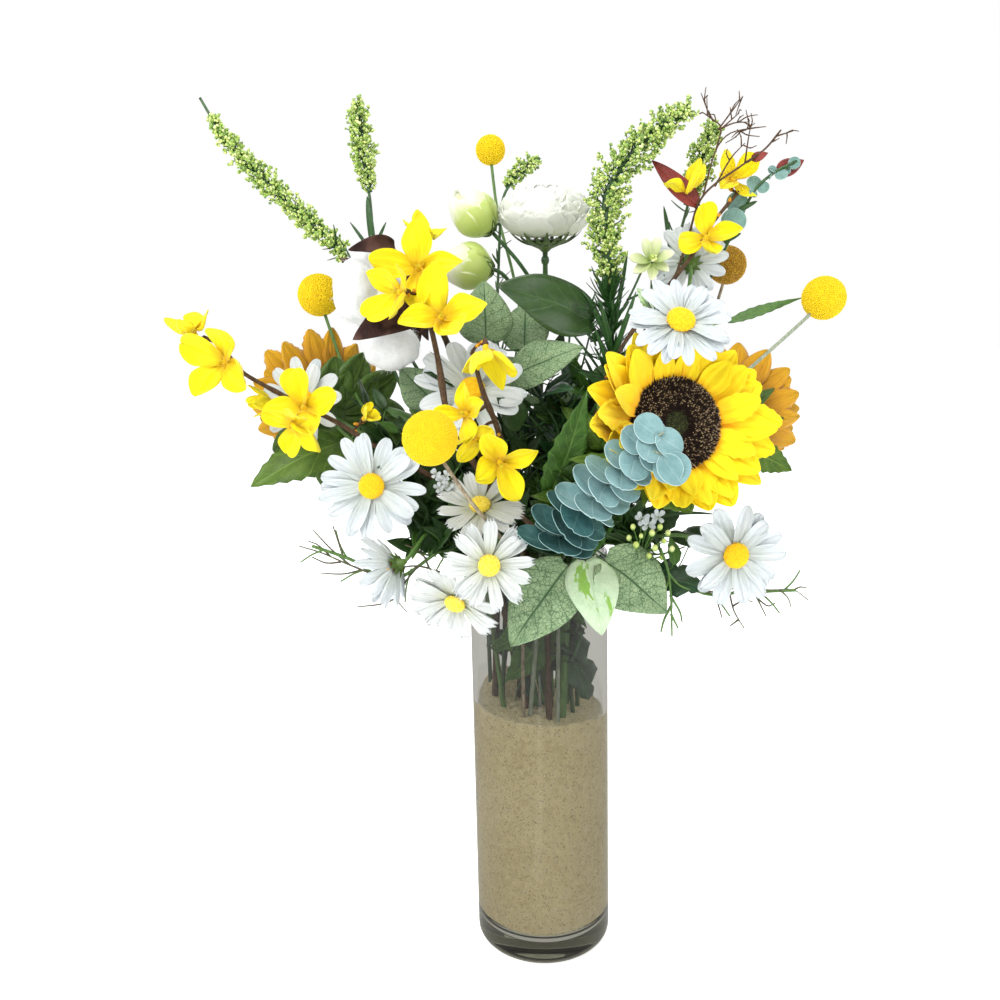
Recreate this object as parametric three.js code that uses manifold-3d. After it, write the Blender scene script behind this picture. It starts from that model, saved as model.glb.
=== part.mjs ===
// A mixed arrangement of sunflowers and other flowers, standing in a glass
// cylinder vase filled with sand. Millimetres, +Z up, origin at the centre of
// the underside of the vase.
import * as THREE from "three";
import { mergeVertices } from "three/addons/utils/BufferGeometryUtils.js";
import Module from "manifold-3d";

const wasm = await Module();
wasm.setup();

// ---------------------------------------------------------------- dimensions
const VASE_R = 50.8; // outer radius of the cylinder
const VASE_H = 304.8; // height of the cylinder
const VASE_WALL = 3.2; // glass wall
const VASE_BASE = 15; // thickness of the glass under the sand
const VASE_FOOT_R = 14; // outer round at the foot
const VASE_WELL_R = 20; // inner round at the bottom of the well
const SAND_TOP = 188; // mean level of the sand above the table
const GAP = 0.3; // clearance between neighbouring pieces
const SUN_DISC_R = 29; // seed disc of a sunflower
const SUN_PETALS = 18;
const DAISY_PETALS = 14;
const DAISY_EYE_R = 8.6;
const LEAF_T = 0.9; // thickness of a leaf blade
const PETIOLE_R = 0.75; // half the width of a leaf stalk

// --------------------------------------------------------------- placements
// Stems: piece, radius at the foot and at the end, points from the foot upwards.
const STEMS = [
  ["sunflower_front_stem", 3.2, 2.6, [[11.7, 36.7, 105.0], [21.5, 18.3, 296.0], [22.9, 16.0, 312.0], [26.7, 10.5, 332.6], [30.1, 5.6, 344.2], [36.3, -3.1, 358.7], [40.9, -9.7, 366.6], [48.1, -20.2, 376.2], [57.6, -34.8, 385.3], [67.9, -52.0, 392.1], [74.1, -66.1, 395.8], [77.1, -79.8, 399.0]]],
  ["sunflower_left_stem", 3.2, 2.6, [[13.2, -11.2, 105.0], [-24.8, -6.5, 296.0], [-26.0, -6.3, 300.6], [-30.1, -5.9, 310.0], [-39.9, -4.7, 324.1], [-57.9, -2.5, 342.4], [-79.1, 0.5, 359.6], [-106.2, 5.2, 378.0], [-125.0, 9.7, 389.4], [-138.4, 14.5, 396.9], [-143.4, 18.5, 399.5], [-149.2, 28.6, 402.4]]],
  ["sunflower_right_stem", 3.2, 2.6, [[9.4, -34.5, 105.0], [20.7, -20.9, 296.0], [22.3, -20.6, 308.9], [23.8, -20.9, 314.9], [27.8, -22.4, 326.1], [33.1, -24.6, 336.1], [39.5, -27.3, 345.0], [46.9, -30.3, 353.0], [55.0, -33.1, 360.0], [63.6, -35.5, 366.2], [72.5, -37.3, 371.6], [81.6, -38.1, 376.3], [90.7, -37.7, 380.3], [103.7, -34.0, 385.3], [111.8, -29.2, 387.9], [115.5, -26.0, 389.1], [122.4, -17.6, 391.2], [131.1, -2.0, 393.8]]],
  ["daisy_spray_left_stem", 1.9, 1.5, [[-19.7, -21.6, 120.0], [-38.8, -13.2, 296.0], [-40.2, -13.5, 306.6], [-41.3, -15.0, 311.4], [-43.2, -17.9, 314.1], [-48.4, -23.9, 315.5], [-53.8, -27.9, 317.5], [-74.0, -37.0, 331.0]]],
  ["daisy_spray_centre_stem", 1.9, 1.5, [[11.0, 15.4, 120.0], [6.1, -10.3, 296.0], [4.4, -11.4, 298.4], [0.2, -14.1, 301.7], [-16.9, -25.8, 313.0], [-24.0, -38.0, 322.0]]],
  ["daisy_spray_right_stem", 1.8, 1.5, [[12.6, 26.3, 120.0], [40.7, 7.1, 296.0], [41.7, 5.5, 302.5], [42.5, 1.6, 308.8], [43.2, -5.3, 313.4], [44.0, -16.0, 315.7], [46.4, -25.4, 315.9], [48.0, -27.0, 316.0], [72.0, -38.0, 320.0]]],
  ["daisy_spray_upper_stem", 1.9, 1.5, [[-9.1, 25.0, 120.0], [0.6, 3.9, 296.0], [2.3, 2.7, 306.0], [6.0, 1.9, 314.1], [13.3, 1.2, 322.6], [22.3, 0.9, 329.4], [39.1, 1.6, 340.7], [49.5, 2.7, 350.9], [55.3, 4.0, 361.9], [67.5, 8.0, 397.9]]],
  ["daisy_8_stem", 1.6, 1.4, [[7.6, 3.2, 125.0], [-3.3, -4.6, 303.5], [-5.0, -5.1, 317.6], [-8.9, -5.7, 336.5], [-13.8, -6.3, 353.0], [-21.3, -7.4, 371.5], [-29.2, -9.1, 386.3], [-37.8, -12.7, 400.3], [-41.6, -16.0, 406.7], [-43.9, -20.3, 411.6], [-44.3, -34.1, 420.6]]],
  ["craspedia_1", 1.4, 1.2, [[-8.3, 31.1, 125.0], [-31.8, 22.5, 296.0], [-32.9, 22.2, 302.4], [-36.3, 21.9, 313.7], [-44.2, 21.8, 327.9], [-54.6, 22.2, 339.7], [-67.0, 23.2, 350.2], [-99.8, 27.5, 375.8], [-114.0, 30.1, 389.9], [-123.0, 32.1, 401.2], [-131.4, 34.2, 414.5], [-139.0, 36.5, 429.9], [-145.7, 39.0, 447.9], [-157.7, 44.0, 485.9]]],
  ["craspedia_2", 1.4, 1.2, [[2.4, 17.9, 125.0], [-3.5, 17.4, 312.4], [-4.7, 20.4, 355.3], [-5.5, 26.5, 390.1], [-6.0, 35.0, 418.0], [-6.2, 41.6, 433.4], [-6.5, 48.8, 446.6], [-7.3, 64.0, 468.1], [-9.7, 85.4, 493.5], [-11.1, 91.3, 501.7], [-12.8, 96.2, 510.3], [-14.8, 100.0, 519.7], [-23.6, 112.0, 558.0], [-28.6, 120.0, 604.0]]],
  ["craspedia_3", 1.4, 1.2, [[7.1, -22.0, 125.0], [31.5, 26.4, 309.2], [36.5, 32.5, 333.0], [42.8, 37.5, 353.4], [54.1, 43.4, 378.7], [62.6, 46.3, 392.5], [71.5, 48.5, 404.0], [80.7, 50.2, 413.8], [89.9, 51.4, 422.0], [122.7, 53.8, 446.4], [128.8, 54.4, 451.9], [133.5, 55.0, 457.9], [136.8, 56.0, 464.6], [149.8, 62.0, 502.6]]],
  ["craspedia_4", 1.4, 1.2, [[9.8, -39.8, 125.0], [12.5, -34.8, 296.0], [12.9, -34.7, 299.0], [16.1, -34.4, 306.3], [21.9, -34.1, 315.1], [30.0, -33.6, 325.3], [51.3, -32.4, 348.3], [83.2, -30.5, 379.0], [120.9, -27.9, 412.5], [149.9, -24.5, 436.9], [188.5, -12.0, 467.7], [196.1, -10.8, 475.8]]],
  ["craspedia_5", 1.4, 1.2, [[-13.8, -30.5, 125.0], [-12.6, -40.1, 296.0], [-12.5, -41.3, 306.8], [-12.6, -43.3, 313.9], [-12.9, -46.2, 318.0], [-13.5, -49.8, 319.9], [-17.8, -65.9, 320.1], [-20.9, -73.7, 322.1], [-23.9, -79.9, 326.1], [-31.0, -93.0, 339.0], [-43.2, -104.0, 356.0], [-58.9, -119.0, 383.2], [-64.0, -122.2, 393.7]]],
  ["forsythia_left", 2.4, 1.4, [[3.1, -2.1, 115.0], [-32.1, -16.2, 298.7], [-34.7, -17.5, 307.3], [-39.9, -20.0, 319.1], [-52.3, -25.8, 339.5], [-66.6, -31.2, 357.1], [-74.5, -33.2, 364.7], [-80.1, -33.9, 368.9], [-118.8, -34.0, 391.6], [-135.3, -34.0, 402.9], [-163.6, -26.0, 416.7], [-188.9, -26.0, 430.9], [-202.8, -28.0, 440.8], [-215.3, -28.0, 457.9], [-226.4, -28.0, 463.6]]],
  ["forsythia_upper", 2.6, 1.6, [[-15.7, -14.1, 115.0], [-6.3, -24.9, 297.6], [-8.6, -26.6, 305.2], [-15.3, -31.0, 320.3], [-50.8, -52.2, 388.6], [-58.1, -55.8, 403.5], [-61.0, -56.6, 410.8], [-65.9, -50.0, 444.9], [-71.9, -45.0, 474.3], [-77.3, -34.0, 494.5], [-78.8, -26.0, 510.1]]],
  ["forsythia_centre", 2.3, 1.5, [[4.4, -40.8, 115.0], [4.9, -28.9, 296.0], [4.5, -29.3, 308.1], [3.6, -30.9, 314.1], [1.7, -34.8, 321.0], [-0.9, -40.2, 326.0], [-11.2, -59.7, 339.0], [-14.9, -65.6, 345.8], [-18.5, -70.4, 355.3], [-21.8, -73.4, 368.6], [-27.4, -76.0, 400.2], [-35.8, -76.0, 422.6], [-42.8, -74.0, 449.8]]],
  ["forsythia_right", 2.0, 1.2, [[18.7, 32.7, 115.0], [37.9, 14.8, 318.0], [39.8, 9.9, 354.0], [41.7, 2.4, 393.2], [43.7, -0.7, 408.8], [47.5, -3.1, 423.2], [53.8, -4.2, 437.7], [59.7, -4.3, 447.9], [67.3, -3.5, 459.0], [76.7, -2.0, 471.4], [111.0, 6.0, 511.6], [127.5, 12.0, 535.2], [147.6, 20.0, 557.9]]],
  ["cotton_stem_husk", 2.4, 2.2, [[-37.4, -16.9, 110.0], [-30.0, 8.7, 296.0], [-30.5, 10.3, 309.0], [-32.6, 12.1, 327.1], [-37.6, 14.6, 356.7], [-44.3, 16.8, 389.2], [-52.1, 18.2, 421.0], [-60.4, 18.5, 448.5], [-66.5, 17.7, 464.2], [-72.2, 15.7, 474.0], [-75.7, 13.7, 476.5], [-85.4, 6.9, 478.6]]],
  ["ranunculus_stem", 2.2, 2.0, [[22.3, 8.1, 115.0], [9.1, 16.3, 312.7], [6.8, 20.8, 355.0], [5.6, 27.3, 387.1], [5.4, 35.2, 411.1], [5.9, 43.7, 429.0], [8.7, 61.5, 458.8], [10.1, 66.4, 471.4], [10.8, 68.3, 481.3], [11.4, 68.7, 493.0], [11.7, 67.5, 507.3], [11.7, 64.2, 527.4]]],
  ["berry_spike_left", 1.7, 1.0, [[-36.8, 9.5, 120.0], [-40.2, 14.0, 309.8], [-42.6, 13.6, 329.4], [-45.9, 13.2, 345.2], [-50.6, 12.9, 362.1], [-57.1, 13.0, 380.4], [-68.9, 14.3, 407.2], [-84.9, 17.2, 437.0], [-105.4, 22.4, 470.3], [-137.0, 32.0, 516.4], [-143.9, 33.0, 528.7], [-168.9, 36.0, 550.9], [-197.3, 40.0, 580.2], [-217.4, 44.0, 602.4], [-231.8, 48.0, 622.4], [-240.1, 50.0, 636.9]]],
  ["berry_spike_small", 1.7, 1.0, [[10.3, -2.8, 120.0], [-10.8, -8.9, 299.6], [-13.9, -7.8, 307.2], [-22.5, -4.2, 319.9], [-64.1, 16.7, 368.8], [-84.4, 27.9, 396.6], [-97.9, 36.1, 420.3], [-108.8, 43.3, 446.7], [-113.9, 47.4, 465.9], [-115.7, 49.2, 475.9], [-117.6, 52.0, 497.1], [-118.8, 56.0, 534.3], [-120.0, 58.0, 563.7], [-124.6, 60.0, 600.1], [-125.9, 60.0, 637.0]]],
  ["berry_spike_tall", 2.0, 1.2, [[-2.3, 6.5, 115.0], [11.4, 5.9, 296.0], [16.4, 5.7, 337.7], [21.3, 5.5, 360.6], [26.9, 5.2, 377.8], [32.9, 5.0, 390.6], [46.0, 4.4, 411.6], [50.5, 4.2, 420.0], [53.7, 4.1, 430.1], [55.0, 4.0, 438.5], [55.5, 4.0, 494.0], [50.8, 5.0, 531.9], [53.1, 6.0, 559.0], [72.2, 8.0, 585.7], [93.3, 10.0, 605.5], [110.6, 10.0, 613.1]]],
  ["berry_spike_right", 1.6, 1.0, [[27.3, -21.7, 120.0], [15.2, -9.3, 310.4], [15.2, -6.9, 335.5], [15.8, -5.5, 346.4], [18.3, -2.4, 365.2], [20.0, -0.7, 373.3], [24.5, 2.9, 387.1], [33.2, 8.5, 403.1], [43.7, 14.3, 415.4], [63.2, 23.6, 433.1], [71.1, 26.9, 440.9], [82.4, 31.3, 455.3], [89.2, 33.6, 467.6], [95.3, 35.3, 482.7], [116.0, 40.0, 552.5], [120.9, 40.0, 570.0], [128.0, 40.0, 590.9], [135.0, 40.0, 608.0]]],
  ["berry_spike_back", 1.6, 1.0, [[-31.4, -24.2, 120.0], [-22.9, 15.3, 314.9], [-21.6, 27.2, 360.5], [-21.4, 35.0, 383.2], [-21.9, 46.3, 407.8], [-22.9, 57.0, 424.2], [-25.6, 75.1, 445.6], [-26.2, 80.0, 453.0], [-26.5, 85.9, 467.7], [-26.2, 88.8, 481.3], [-24.5, 91.5, 510.1], [-20.4, 92.0, 562.9], [-13.8, 92.0, 577.9], [10.2, 94.0, 598.0]]],
  ["eucalyptus_front", 1.8, 1.2, [[-14.6, -25.1, 120.0], [0.8, -39.0, 297.0], [0.9, -38.4, 304.1], [-0.0, -35.8, 312.8], [3.0, -56.0, 320.0], [9.3, -108.0, 331.1], [25.7, -131.0, 354.9], [30.1, -134.5, 360.2], [39.2, -137.0, 371.1], [53.8, -140.0, 386.3], [73.9, -142.0, 401.6]]],
  ["eucalyptus_back", 1.7, 1.0, [[-38.0, -1.7, 120.0], [-16.3, 19.6, 296.0], [-13.7, 20.9, 306.4], [-8.6, 22.3, 317.9], [-1.2, 23.7, 330.4], [7.9, 25.3, 343.6], [30.1, 28.3, 371.0], [54.8, 31.0, 398.6], [84.6, 33.6, 430.3], [110.9, 34.6, 459.7], [117.2, 34.0, 469.1], [136.0, 28.0, 510.2], [148.6, 25.0, 535.7], [159.7, 20.0, 559.0], [173.0, 18.0, 570.6], [187.8, 16.0, 577.4]]],
  ["twig_branch", 2.0, 1.1, [[-20.0, -7.0, 120.0], [-10.6, 2.5, 296.0], [-8.7, 3.3, 309.1], [-1.8, 5.2, 330.3], [9.0, 7.5, 352.7], [27.4, 10.9, 383.2], [47.9, 14.5, 412.8], [81.0, 19.2, 457.0], [95.7, 20.3, 478.3], [98.2, 20.0, 483.5], [111.0, 14.0, 526.2], [120.0, 8.0, 553.9], [148.5, 6.0, 575.0], [162.2, 6.0, 584.1], [173.0, 6.0, 596.4]]],
  ["leaf_spray_front", 1.8, 1.4, [[29.1, 8.5, 125.0], [24.4, -30.6, 296.0], [21.6, -30.8, 305.3], [21.8, -32.5, 307.7], [27.0, -47.0, 318.0], [30.0, -60.0, 322.0]]],
  ["leaf_spray_upper", 1.8, 1.4, [[-18.0, 10.2, 125.0], [-5.3, 8.5, 303.1], [-2.9, 7.8, 314.4], [0.3, 6.7, 322.7], [3.9, 5.4, 328.5], [12.0, 2.5, 336.8], [13.8, 2.0, 340.2], [16.1, 4.0, 392.1], [-3.7, 4.0, 425.0], [-10.3, 8.0, 450.0]]],
  ["fern_left", 1.5, 1.1, [[17.6, -4.4, 130.0], [-23.5, -21.5, 296.0], [-26.0, -21.2, 307.3], [-27.9, -21.1, 311.2], [-30.3, -21.9, 313.0], [-33.1, -23.5, 313.9], [-62.0, -42.0, 318.0], [-102.3, -50.0, 296.6], [-128.1, -56.0, 312.6], [-153.7, -60.0, 323.7]]],
  ["fern_right", 1.5, 1.1, [[11.8, 4.3, 130.0], [35.8, -18.3, 297.3], [35.3, -18.9, 303.8], [31.9, -19.3, 311.4], [31.5, -20.2, 313.4], [34.0, -22.0, 314.0], [66.0, -40.0, 313.0], [109.0, -50.0, 283.3], [138.9, -54.0, 283.7], [171.8, -60.0, 285.9]]],
  ["daisy_spray_left_stem", 1.3, 1.3, [[-74.0, -37.0, 331.0], [-86.3, -36.0, 342.0], [-96.8, -37.5, 350.6], [-107.7, -42.2, 358.5], [-111.2, -45.3, 361.0], [-112.5, -48.0, 362.0]]],
  ["daisy_spray_left_stem", 1.3, 1.3, [[-74.0, -37.0, 331.0], [-79.3, -55.4, 327.3], [-84.1, -70.7, 322.2], [-88.0, -78.9, 318.1], [-91.3, -80.4, 315.8]]],
  ["daisy_spray_left_stem", 1.3, 1.3, [[-74.0, -37.0, 331.0], [-82.8, -34.2, 341.5], [-94.5, -27.3, 353.4], [-131.6, -1.1, 386.7], [-148.5, 9.2, 400.9], [-155.3, 12.0, 406.5], [-160.6, 12.7, 410.9], [-164.0, 10.7, 413.9], [-164.9, 8.6, 414.8]]],
  ["daisy_spray_centre_stem", 1.3, 1.3, [[-24.0, -38.0, 322.0], [-23.7, -47.9, 325.3], [-25.2, -58.4, 326.4], [-28.1, -67.0, 324.8], [-34.6, -84.9, 318.6], [-35.3, -98.1, 318.0]]],
  ["daisy_spray_centre_stem", 1.3, 1.3, [[-24.0, -38.0, 322.0], [-29.4, -45.3, 324.1], [-33.9, -52.3, 328.6], [-38.4, -60.8, 336.6], [-40.3, -67.5, 344.4]]],
  ["daisy_spray_centre_stem", 1.3, 1.3, [[-24.0, -38.0, 322.0], [-36.5, -45.1, 317.3], [-43.2, -49.9, 312.3], [-48.7, -58.2, 304.6], [-55.3, -74.4, 292.8]]],
  ["daisy_spray_right_stem", 1.3, 1.3, [[72.0, -38.0, 320.0], [91.6, -43.0, 322.1], [106.7, -47.9, 320.7], [120.7, -54.8, 316.2], [125.0, -58.9, 314.0], [126.7, -63.0, 313.2]]],
  ["daisy_spray_upper_stem", 1.3, 1.3, [[67.5, 8.0, 397.9], [63.2, 7.0, 404.4], [62.1, 3.7, 408.1], [62.0, -1.5, 411.5], [63.6, -12.4, 416.6], [72.1, -49.2, 431.1], [76.2, -68.3, 440.0], [79.8, -88.6, 451.4], [81.6, -102.4, 460.8]]],
  ["daisy_spray_upper_stem", 1.3, 1.3, [[67.5, 8.0, 397.9], [85.0, 14.3, 427.2], [100.4, 17.1, 457.2], [110.1, 15.3, 482.4], [112.8, 11.2, 501.0], [112.7, 11.7, 504.9], [113.0, 15.1, 507.5]]],
  ["ranunculus_stem", 1.5, 1.5, [[11.1, 68.7, 486.9], [3.5, 60.6, 498.0], [-4.6, 55.2, 509.3], [-11.8, 53.3, 518.8], [-28.9, 52.3, 538.1]]],
  ["ranunculus_stem", 1.5, 1.5, [[8.7, 61.5, 458.8], [1.0, 61.9, 468.2], [-5.0, 58.8, 478.5], [-11.2, 52.2, 491.1], [-17.4, 44.8, 501.7], [-23.5, 40.2, 507.4], [-29.1, 38.4, 509.5]]],
];
// Small stalks: piece, radius at both ends, points.
const STALKS = [
  ["twig_branch", 0.8, 0.55, [[169.4, 6.0, 592.3], [180.1, 2.0, 594.7]]],
  ["twig_branch", 0.8, 0.55, [[148.5, 6.0, 575.0], [149.2, 2.0, 588.8], [150.0, -2.0, 599.0]]],
  ["twig_branch", 0.8, 0.55, [[128.1, 7.4, 559.9], [137.7, 2.0, 577.8], [145.6, -4.0, 586.3]]],
  ["twig_branch", 0.8, 0.55, [[120.0, 8.0, 553.9], [127.7, 4.0, 583.7], [136.0, 2.0, 593.7], [149.9, 0.0, 596.5], [159.7, -4.0, 596.7]]],
  ["twig_branch", 0.8, 0.55, [[127.7, 4.0, 583.7], [131.4, 6.0, 599.2], [126.2, 14.0, 607.1], [120.2, 20.0, 625.2]]],
  ["twig_branch", 0.8, 0.55, [[132.1, 6.0, 598.5], [139.3, 2.0, 600.8], [147.4, -4.0, 599.9]]],
  ["twig_branch", 0.8, 0.55, [[130.7, 6.0, 597.3], [145.2, 12.0, 609.5]]],
  ["twig_branch", 0.8, 0.55, [[129.3, 6.0, 597.3], [149.3, 18.0, 622.1]]],
  ["twig_branch", 0.8, 0.55, [[126.2, 14.0, 607.1], [120.7, 18.0, 612.1]]],
  ["fern_left", 0.75, 0.5, [[-59.9, -40.7, 317.7], [-68.4, -46.2, 308.0], [-74.8, -51.3, 296.6]]],
  ["fern_left", 0.75, 0.5, [[-74.4, -44.5, 311.4], [-86.3, -43.1, 314.5], [-97.5, -41.5, 319.8]]],
  ["fern_left", 0.75, 0.5, [[-88.9, -47.3, 303.7], [-92.3, -51.3, 293.0], [-93.5, -55.0, 281.7]]],
  ["fern_left", 0.75, 0.5, [[-103.3, -50.2, 297.2], [-106.6, -51.8, 308.8], [-107.5, -52.5, 320.9]]],
  ["fern_left", 0.75, 0.5, [[-117.2, -53.5, 305.8], [-126.4, -58.6, 303.8], [-135.3, -63.1, 299.6]]],
  ["fern_left", 0.75, 0.5, [[-131.3, -56.5, 314.0], [-135.6, -56.8, 323.4], [-137.9, -56.6, 333.5]]],
  ["fern_left", 0.75, 0.5, [[-146.5, -58.9, 320.6], [-154.5, -60.4, 317.6], [-161.7, -62.1, 313.1]]],
  ["fern_right", 0.75, 0.5, [[73.2, -41.7, 308.0], [86.4, -44.1, 309.8], [99.1, -45.4, 314.3]]],
  ["fern_right", 0.75, 0.5, [[86.7, -44.8, 298.7], [89.1, -50.9, 286.6], [88.7, -56.4, 273.9]]],
  ["fern_right", 0.75, 0.5, [[100.1, -47.9, 289.4], [112.6, -48.0, 291.1], [124.4, -47.5, 295.2]]],
  ["fern_right", 0.75, 0.5, [[114.6, -50.8, 283.4], [121.8, -55.6, 276.7], [127.4, -60.0, 268.5]]],
  ["fern_right", 0.75, 0.5, [[131.2, -53.0, 283.6], [138.6, -52.6, 290.5], [144.6, -51.8, 298.8]]],
  ["fern_right", 0.75, 0.5, [[147.6, -55.6, 284.3], [154.4, -60.0, 278.5], [159.9, -64.0, 271.3]]],
  ["fern_right", 0.75, 0.5, [[164.0, -58.6, 285.4], [170.1, -58.5, 291.8], [174.9, -58.0, 299.2]]],
  ["berry_spike_tall", 0.9, 0.8, [[55.2, 4.0, 464.4], [69.4, 12.0, 486.5], [80.6, 18.2, 508.4]]],
  ["berry_spike_tall", 0.9, 0.8, [[67.1, 11.0, 483.7], [76.3, 6.6, 487.7]]],
  ["forsythia_left", 1.1, 1.0, [[-226.4, -28.0, 463.6], [-227.9, -28.1, 461.4], [-230.7, -30.4, 464.1]]],
  ["forsythia_left", 1.1, 1.0, [[-205.9, -28.0, 445.1], [-206.2, -27.7, 445.2], [-208.7, -32.4, 446.0]]],
  ["forsythia_left", 1.1, 1.0, [[-154.2, -28.7, 412.1], [-155.5, -30.0, 411.6], [-157.5, -36.3, 413.2]]],
  ["forsythia_left", 1.1, 1.0, [[-154.2, -28.7, 412.1], [-157.8, -35.5, 410.8], [-162.5, -46.8, 406.4]]],
  ["forsythia_left", 1.1, 1.0, [[-173.7, -26.0, 422.4], [-174.2, -22.8, 419.9], [-179.9, -21.0, 417.9]]],
  ["forsythia_left", 1.1, 1.0, [[-127.0, -34.0, 397.2], [-124.8, -30.8, 399.9], [-119.6, -31.3, 405.3]]],
  ["forsythia_upper", 1.1, 1.0, [[-77.8, -31.3, 499.7], [-76.8, -31.0, 501.5], [-76.6, -36.1, 504.3]]],
  ["forsythia_upper", 1.1, 1.0, [[-74.6, -39.5, 484.4], [-78.0, -45.6, 487.1], [-85.5, -55.3, 489.2]]],
  ["forsythia_upper", 1.1, 1.0, [[-69.9, -46.7, 464.5], [-66.7, -50.2, 465.9], [-62.9, -58.5, 469.8]]],
  ["forsythia_upper", 1.1, 1.0, [[-78.8, -26.0, 510.1], [-77.2, -22.5, 513.7], [-75.0, -20.7, 522.4]]],
  ["forsythia_centre", 1.1, 1.0, [[-42.8, -74.0, 449.8], [-38.6, -75.8, 454.5], [-34.0, -80.1, 454.4]]],
  ["forsythia_centre", 1.1, 1.0, [[-33.7, -76.0, 417.0], [-38.0, -79.9, 413.7], [-45.1, -88.6, 411.3]]],
  ["forsythia_centre", 1.1, 1.0, [[-29.5, -76.0, 405.8], [-34.1, -79.5, 404.4], [-39.5, -87.1, 399.4]]],
  ["forsythia_centre", 1.1, 1.0, [[-24.6, -74.7, 384.5], [-26.4, -81.9, 384.5], [-27.3, -94.2, 383.2]]],
  ["forsythia_right", 1.1, 1.0, [[130.9, 13.3, 539.0], [120.7, 15.7, 544.0], [109.9, 16.3, 554.1]]],
  ["forsythia_right", 1.1, 1.0, [[147.6, 20.0, 557.9], [145.6, 26.6, 560.0], [144.5, 28.4, 565.0]]],
  ["forsythia_right", 1.1, 1.0, [[120.9, 9.6, 525.8], [120.9, 13.1, 523.7], [121.9, 11.7, 523.8]]],
];
// Flower heads: name, kind, centre, direction it faces, radius, turn in degrees.
const HEADS = [
  ["sunflower_front", "sun", [80.4, -95.0, 402.6], [0.203, -0.953, 0.225], 66.0, 4],
  ["sunflower_left", "sun", [-157.0, 42.0, 406.3], [-0.485, 0.84, 0.242], 62.0, 0],
  ["sunflower_right", "sun", [138.5, 12.0, 396.0], [0.465, 0.874, 0.139], 58.0, 0],
  ["daisy_1", "daisy", [-112.5, -55.0, 362.7], [0.0, -0.995, 0.105], 37.0, 0],
  ["daisy_2", "daisy", [127.4, -70.0, 313.5], [0.104, -0.994, 0.035], 35.0, 0],
  ["daisy_3", "daisy", [-34.9, -105.0, 318.7], [0.069, -0.992, 0.105], 30.0, 0],
  ["daisy_4", "daisy", [-40.3, -72.0, 349.8], [0.0, -0.643, 0.766], 30.0, 0],
  ["daisy_5", "daisy", [-57.4, -80.0, 289.0], [-0.29, -0.797, -0.53], 32.0, 0],
  ["daisy_6", "daisy", [82.2, -108.0, 464.9], [0.085, -0.805, 0.588], 33.0, 0],
  ["daisy_7", "daisy", [-97.2, -78.0, 313.0], [-0.847, 0.342, -0.407], 27.0, 0],
  ["daisy_8", "daisy", [-44.3, -40.0, 424.3], [0.0, -0.848, 0.53], 40.0, 22],
  ["daisy_9", "daisy", [114.2, 21.5, 510.1], [0.161, 0.913, 0.375], 30.0, 22],
  ["daisy_10", "daisy", [-166.6, 2.0, 416.5], [-0.235, -0.941, 0.242], 33.0, 0],
  ["craspedia_1", "ball", [-159.7, 45.0, 493.9], [0.0, 0.0, 1.0], 15.8, 0],
  ["craspedia_2", "ball", [-28.6, 120.0, 610.0], [0.0, 0.0, 1.0], 11.8, 0],
  ["craspedia_3", "ball", [150.8, 62.0, 510.6], [0.0, 0.0, 1.0], 14.6, 0],
  ["craspedia_4", "ball", [201.2, -10.0, 481.2], [0.0, 0.0, 1.0], 15.0, 0],
  ["craspedia_5", "ball", [-67.4, -125.0, 400.7], [0.0, 0.0, 1.0], 16.5, 0],
  ["ranunculus_bloom", "ranun", [11.7, 60.0, 551.0], [0.0, -0.174, 0.985], 36.0, 0],
  ["ranunculus_bud_1", "bud", [-40.3, 50.0, 550.0], [-0.687, -0.136, 0.713], 16.0, 0],
  ["ranunculus_bud_2", "bud", [-45.5, 36.0, 511.9], [-0.979, -0.143, 0.146], 16.0, 0],
];
// Four-petalled blossoms: piece, centre, direction, petal length, turn, how far open.
const BLOOMS = [
  ["forsythia_left", [-231.6, -32.0, 467.6], [-0.235, -0.407, 0.883], 20, 20, 0.75],
  ["forsythia_left", [-210.3, -36.0, 446.5], [-0.403, -0.905, 0.139], 31, 65, 0.9],
  ["forsythia_left", [-158.1, -40.0, 414.7], [-0.129, -0.918, 0.375], 29, 15, 0.85],
  ["forsythia_left", [-163.3, -50.0, 404.2], [-0.201, -0.804, -0.559], 25, 60, 0.85],
  ["forsythia_left", [-183.8, -22.0, 418.3], [-0.962, -0.258, 0.087], 17, 0, 0.35],
  ["forsythia_left", [-117.4, -34.0, 407.3], [0.557, -0.663, 0.5], 13, 0, 0.3],
  ["forsythia_upper", [-77.1, -40.0, 505.0], [-0.137, -0.975, 0.174], 34, 0, 0.85],
  ["forsythia_upper", [-88.5, -58.0, 488.8], [-0.739, -0.665, -0.105], 28, 45, 0.8],
  ["forsythia_upper", [-62.4, -62.0, 471.7], [0.123, -0.874, 0.469], 33, 20, 0.85],
  ["forsythia_upper", [-74.5, -22.0, 526.1], [0.117, -0.321, 0.94], 20, 30, 0.6],
  ["forsythia_centre", [-33.8, -82.0, 450.9], [0.065, -0.465, -0.883], 24, 30, 0.55],
  ["forsythia_centre", [-47.0, -92.0, 412.0], [-0.492, -0.853, 0.174], 22, 15, 0.85],
  ["forsythia_centre", [-40.0, -90.0, 396.7], [-0.129, -0.732, -0.669], 21, 50, 0.8],
  ["forsythia_centre", [-26.6, -98.0, 382.3], [0.168, -0.956, -0.242], 25, 20, 0.95],
  ["forsythia_right", [109.4, 15.0, 557.9], [-0.117, -0.321, 0.94], 24, 30, 0.5],
  ["forsythia_right", [145.1, 25.0, 567.0], [0.15, -0.853, 0.5], 24, 35, 0.85],
  ["forsythia_right", [122.5, 8.0, 525.3], [0.161, -0.913, 0.375], 26, 10, 0.9],
  ["berry_spike_tall", [81.4, 16.0, 510.3], [0.262, -0.72, 0.643], 13, 0, 0.6],
  ["berry_spike_tall", [75.4, 4.0, 488.7], [-0.321, -0.883, 0.342], 11, 30, 0.6],
];
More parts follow.
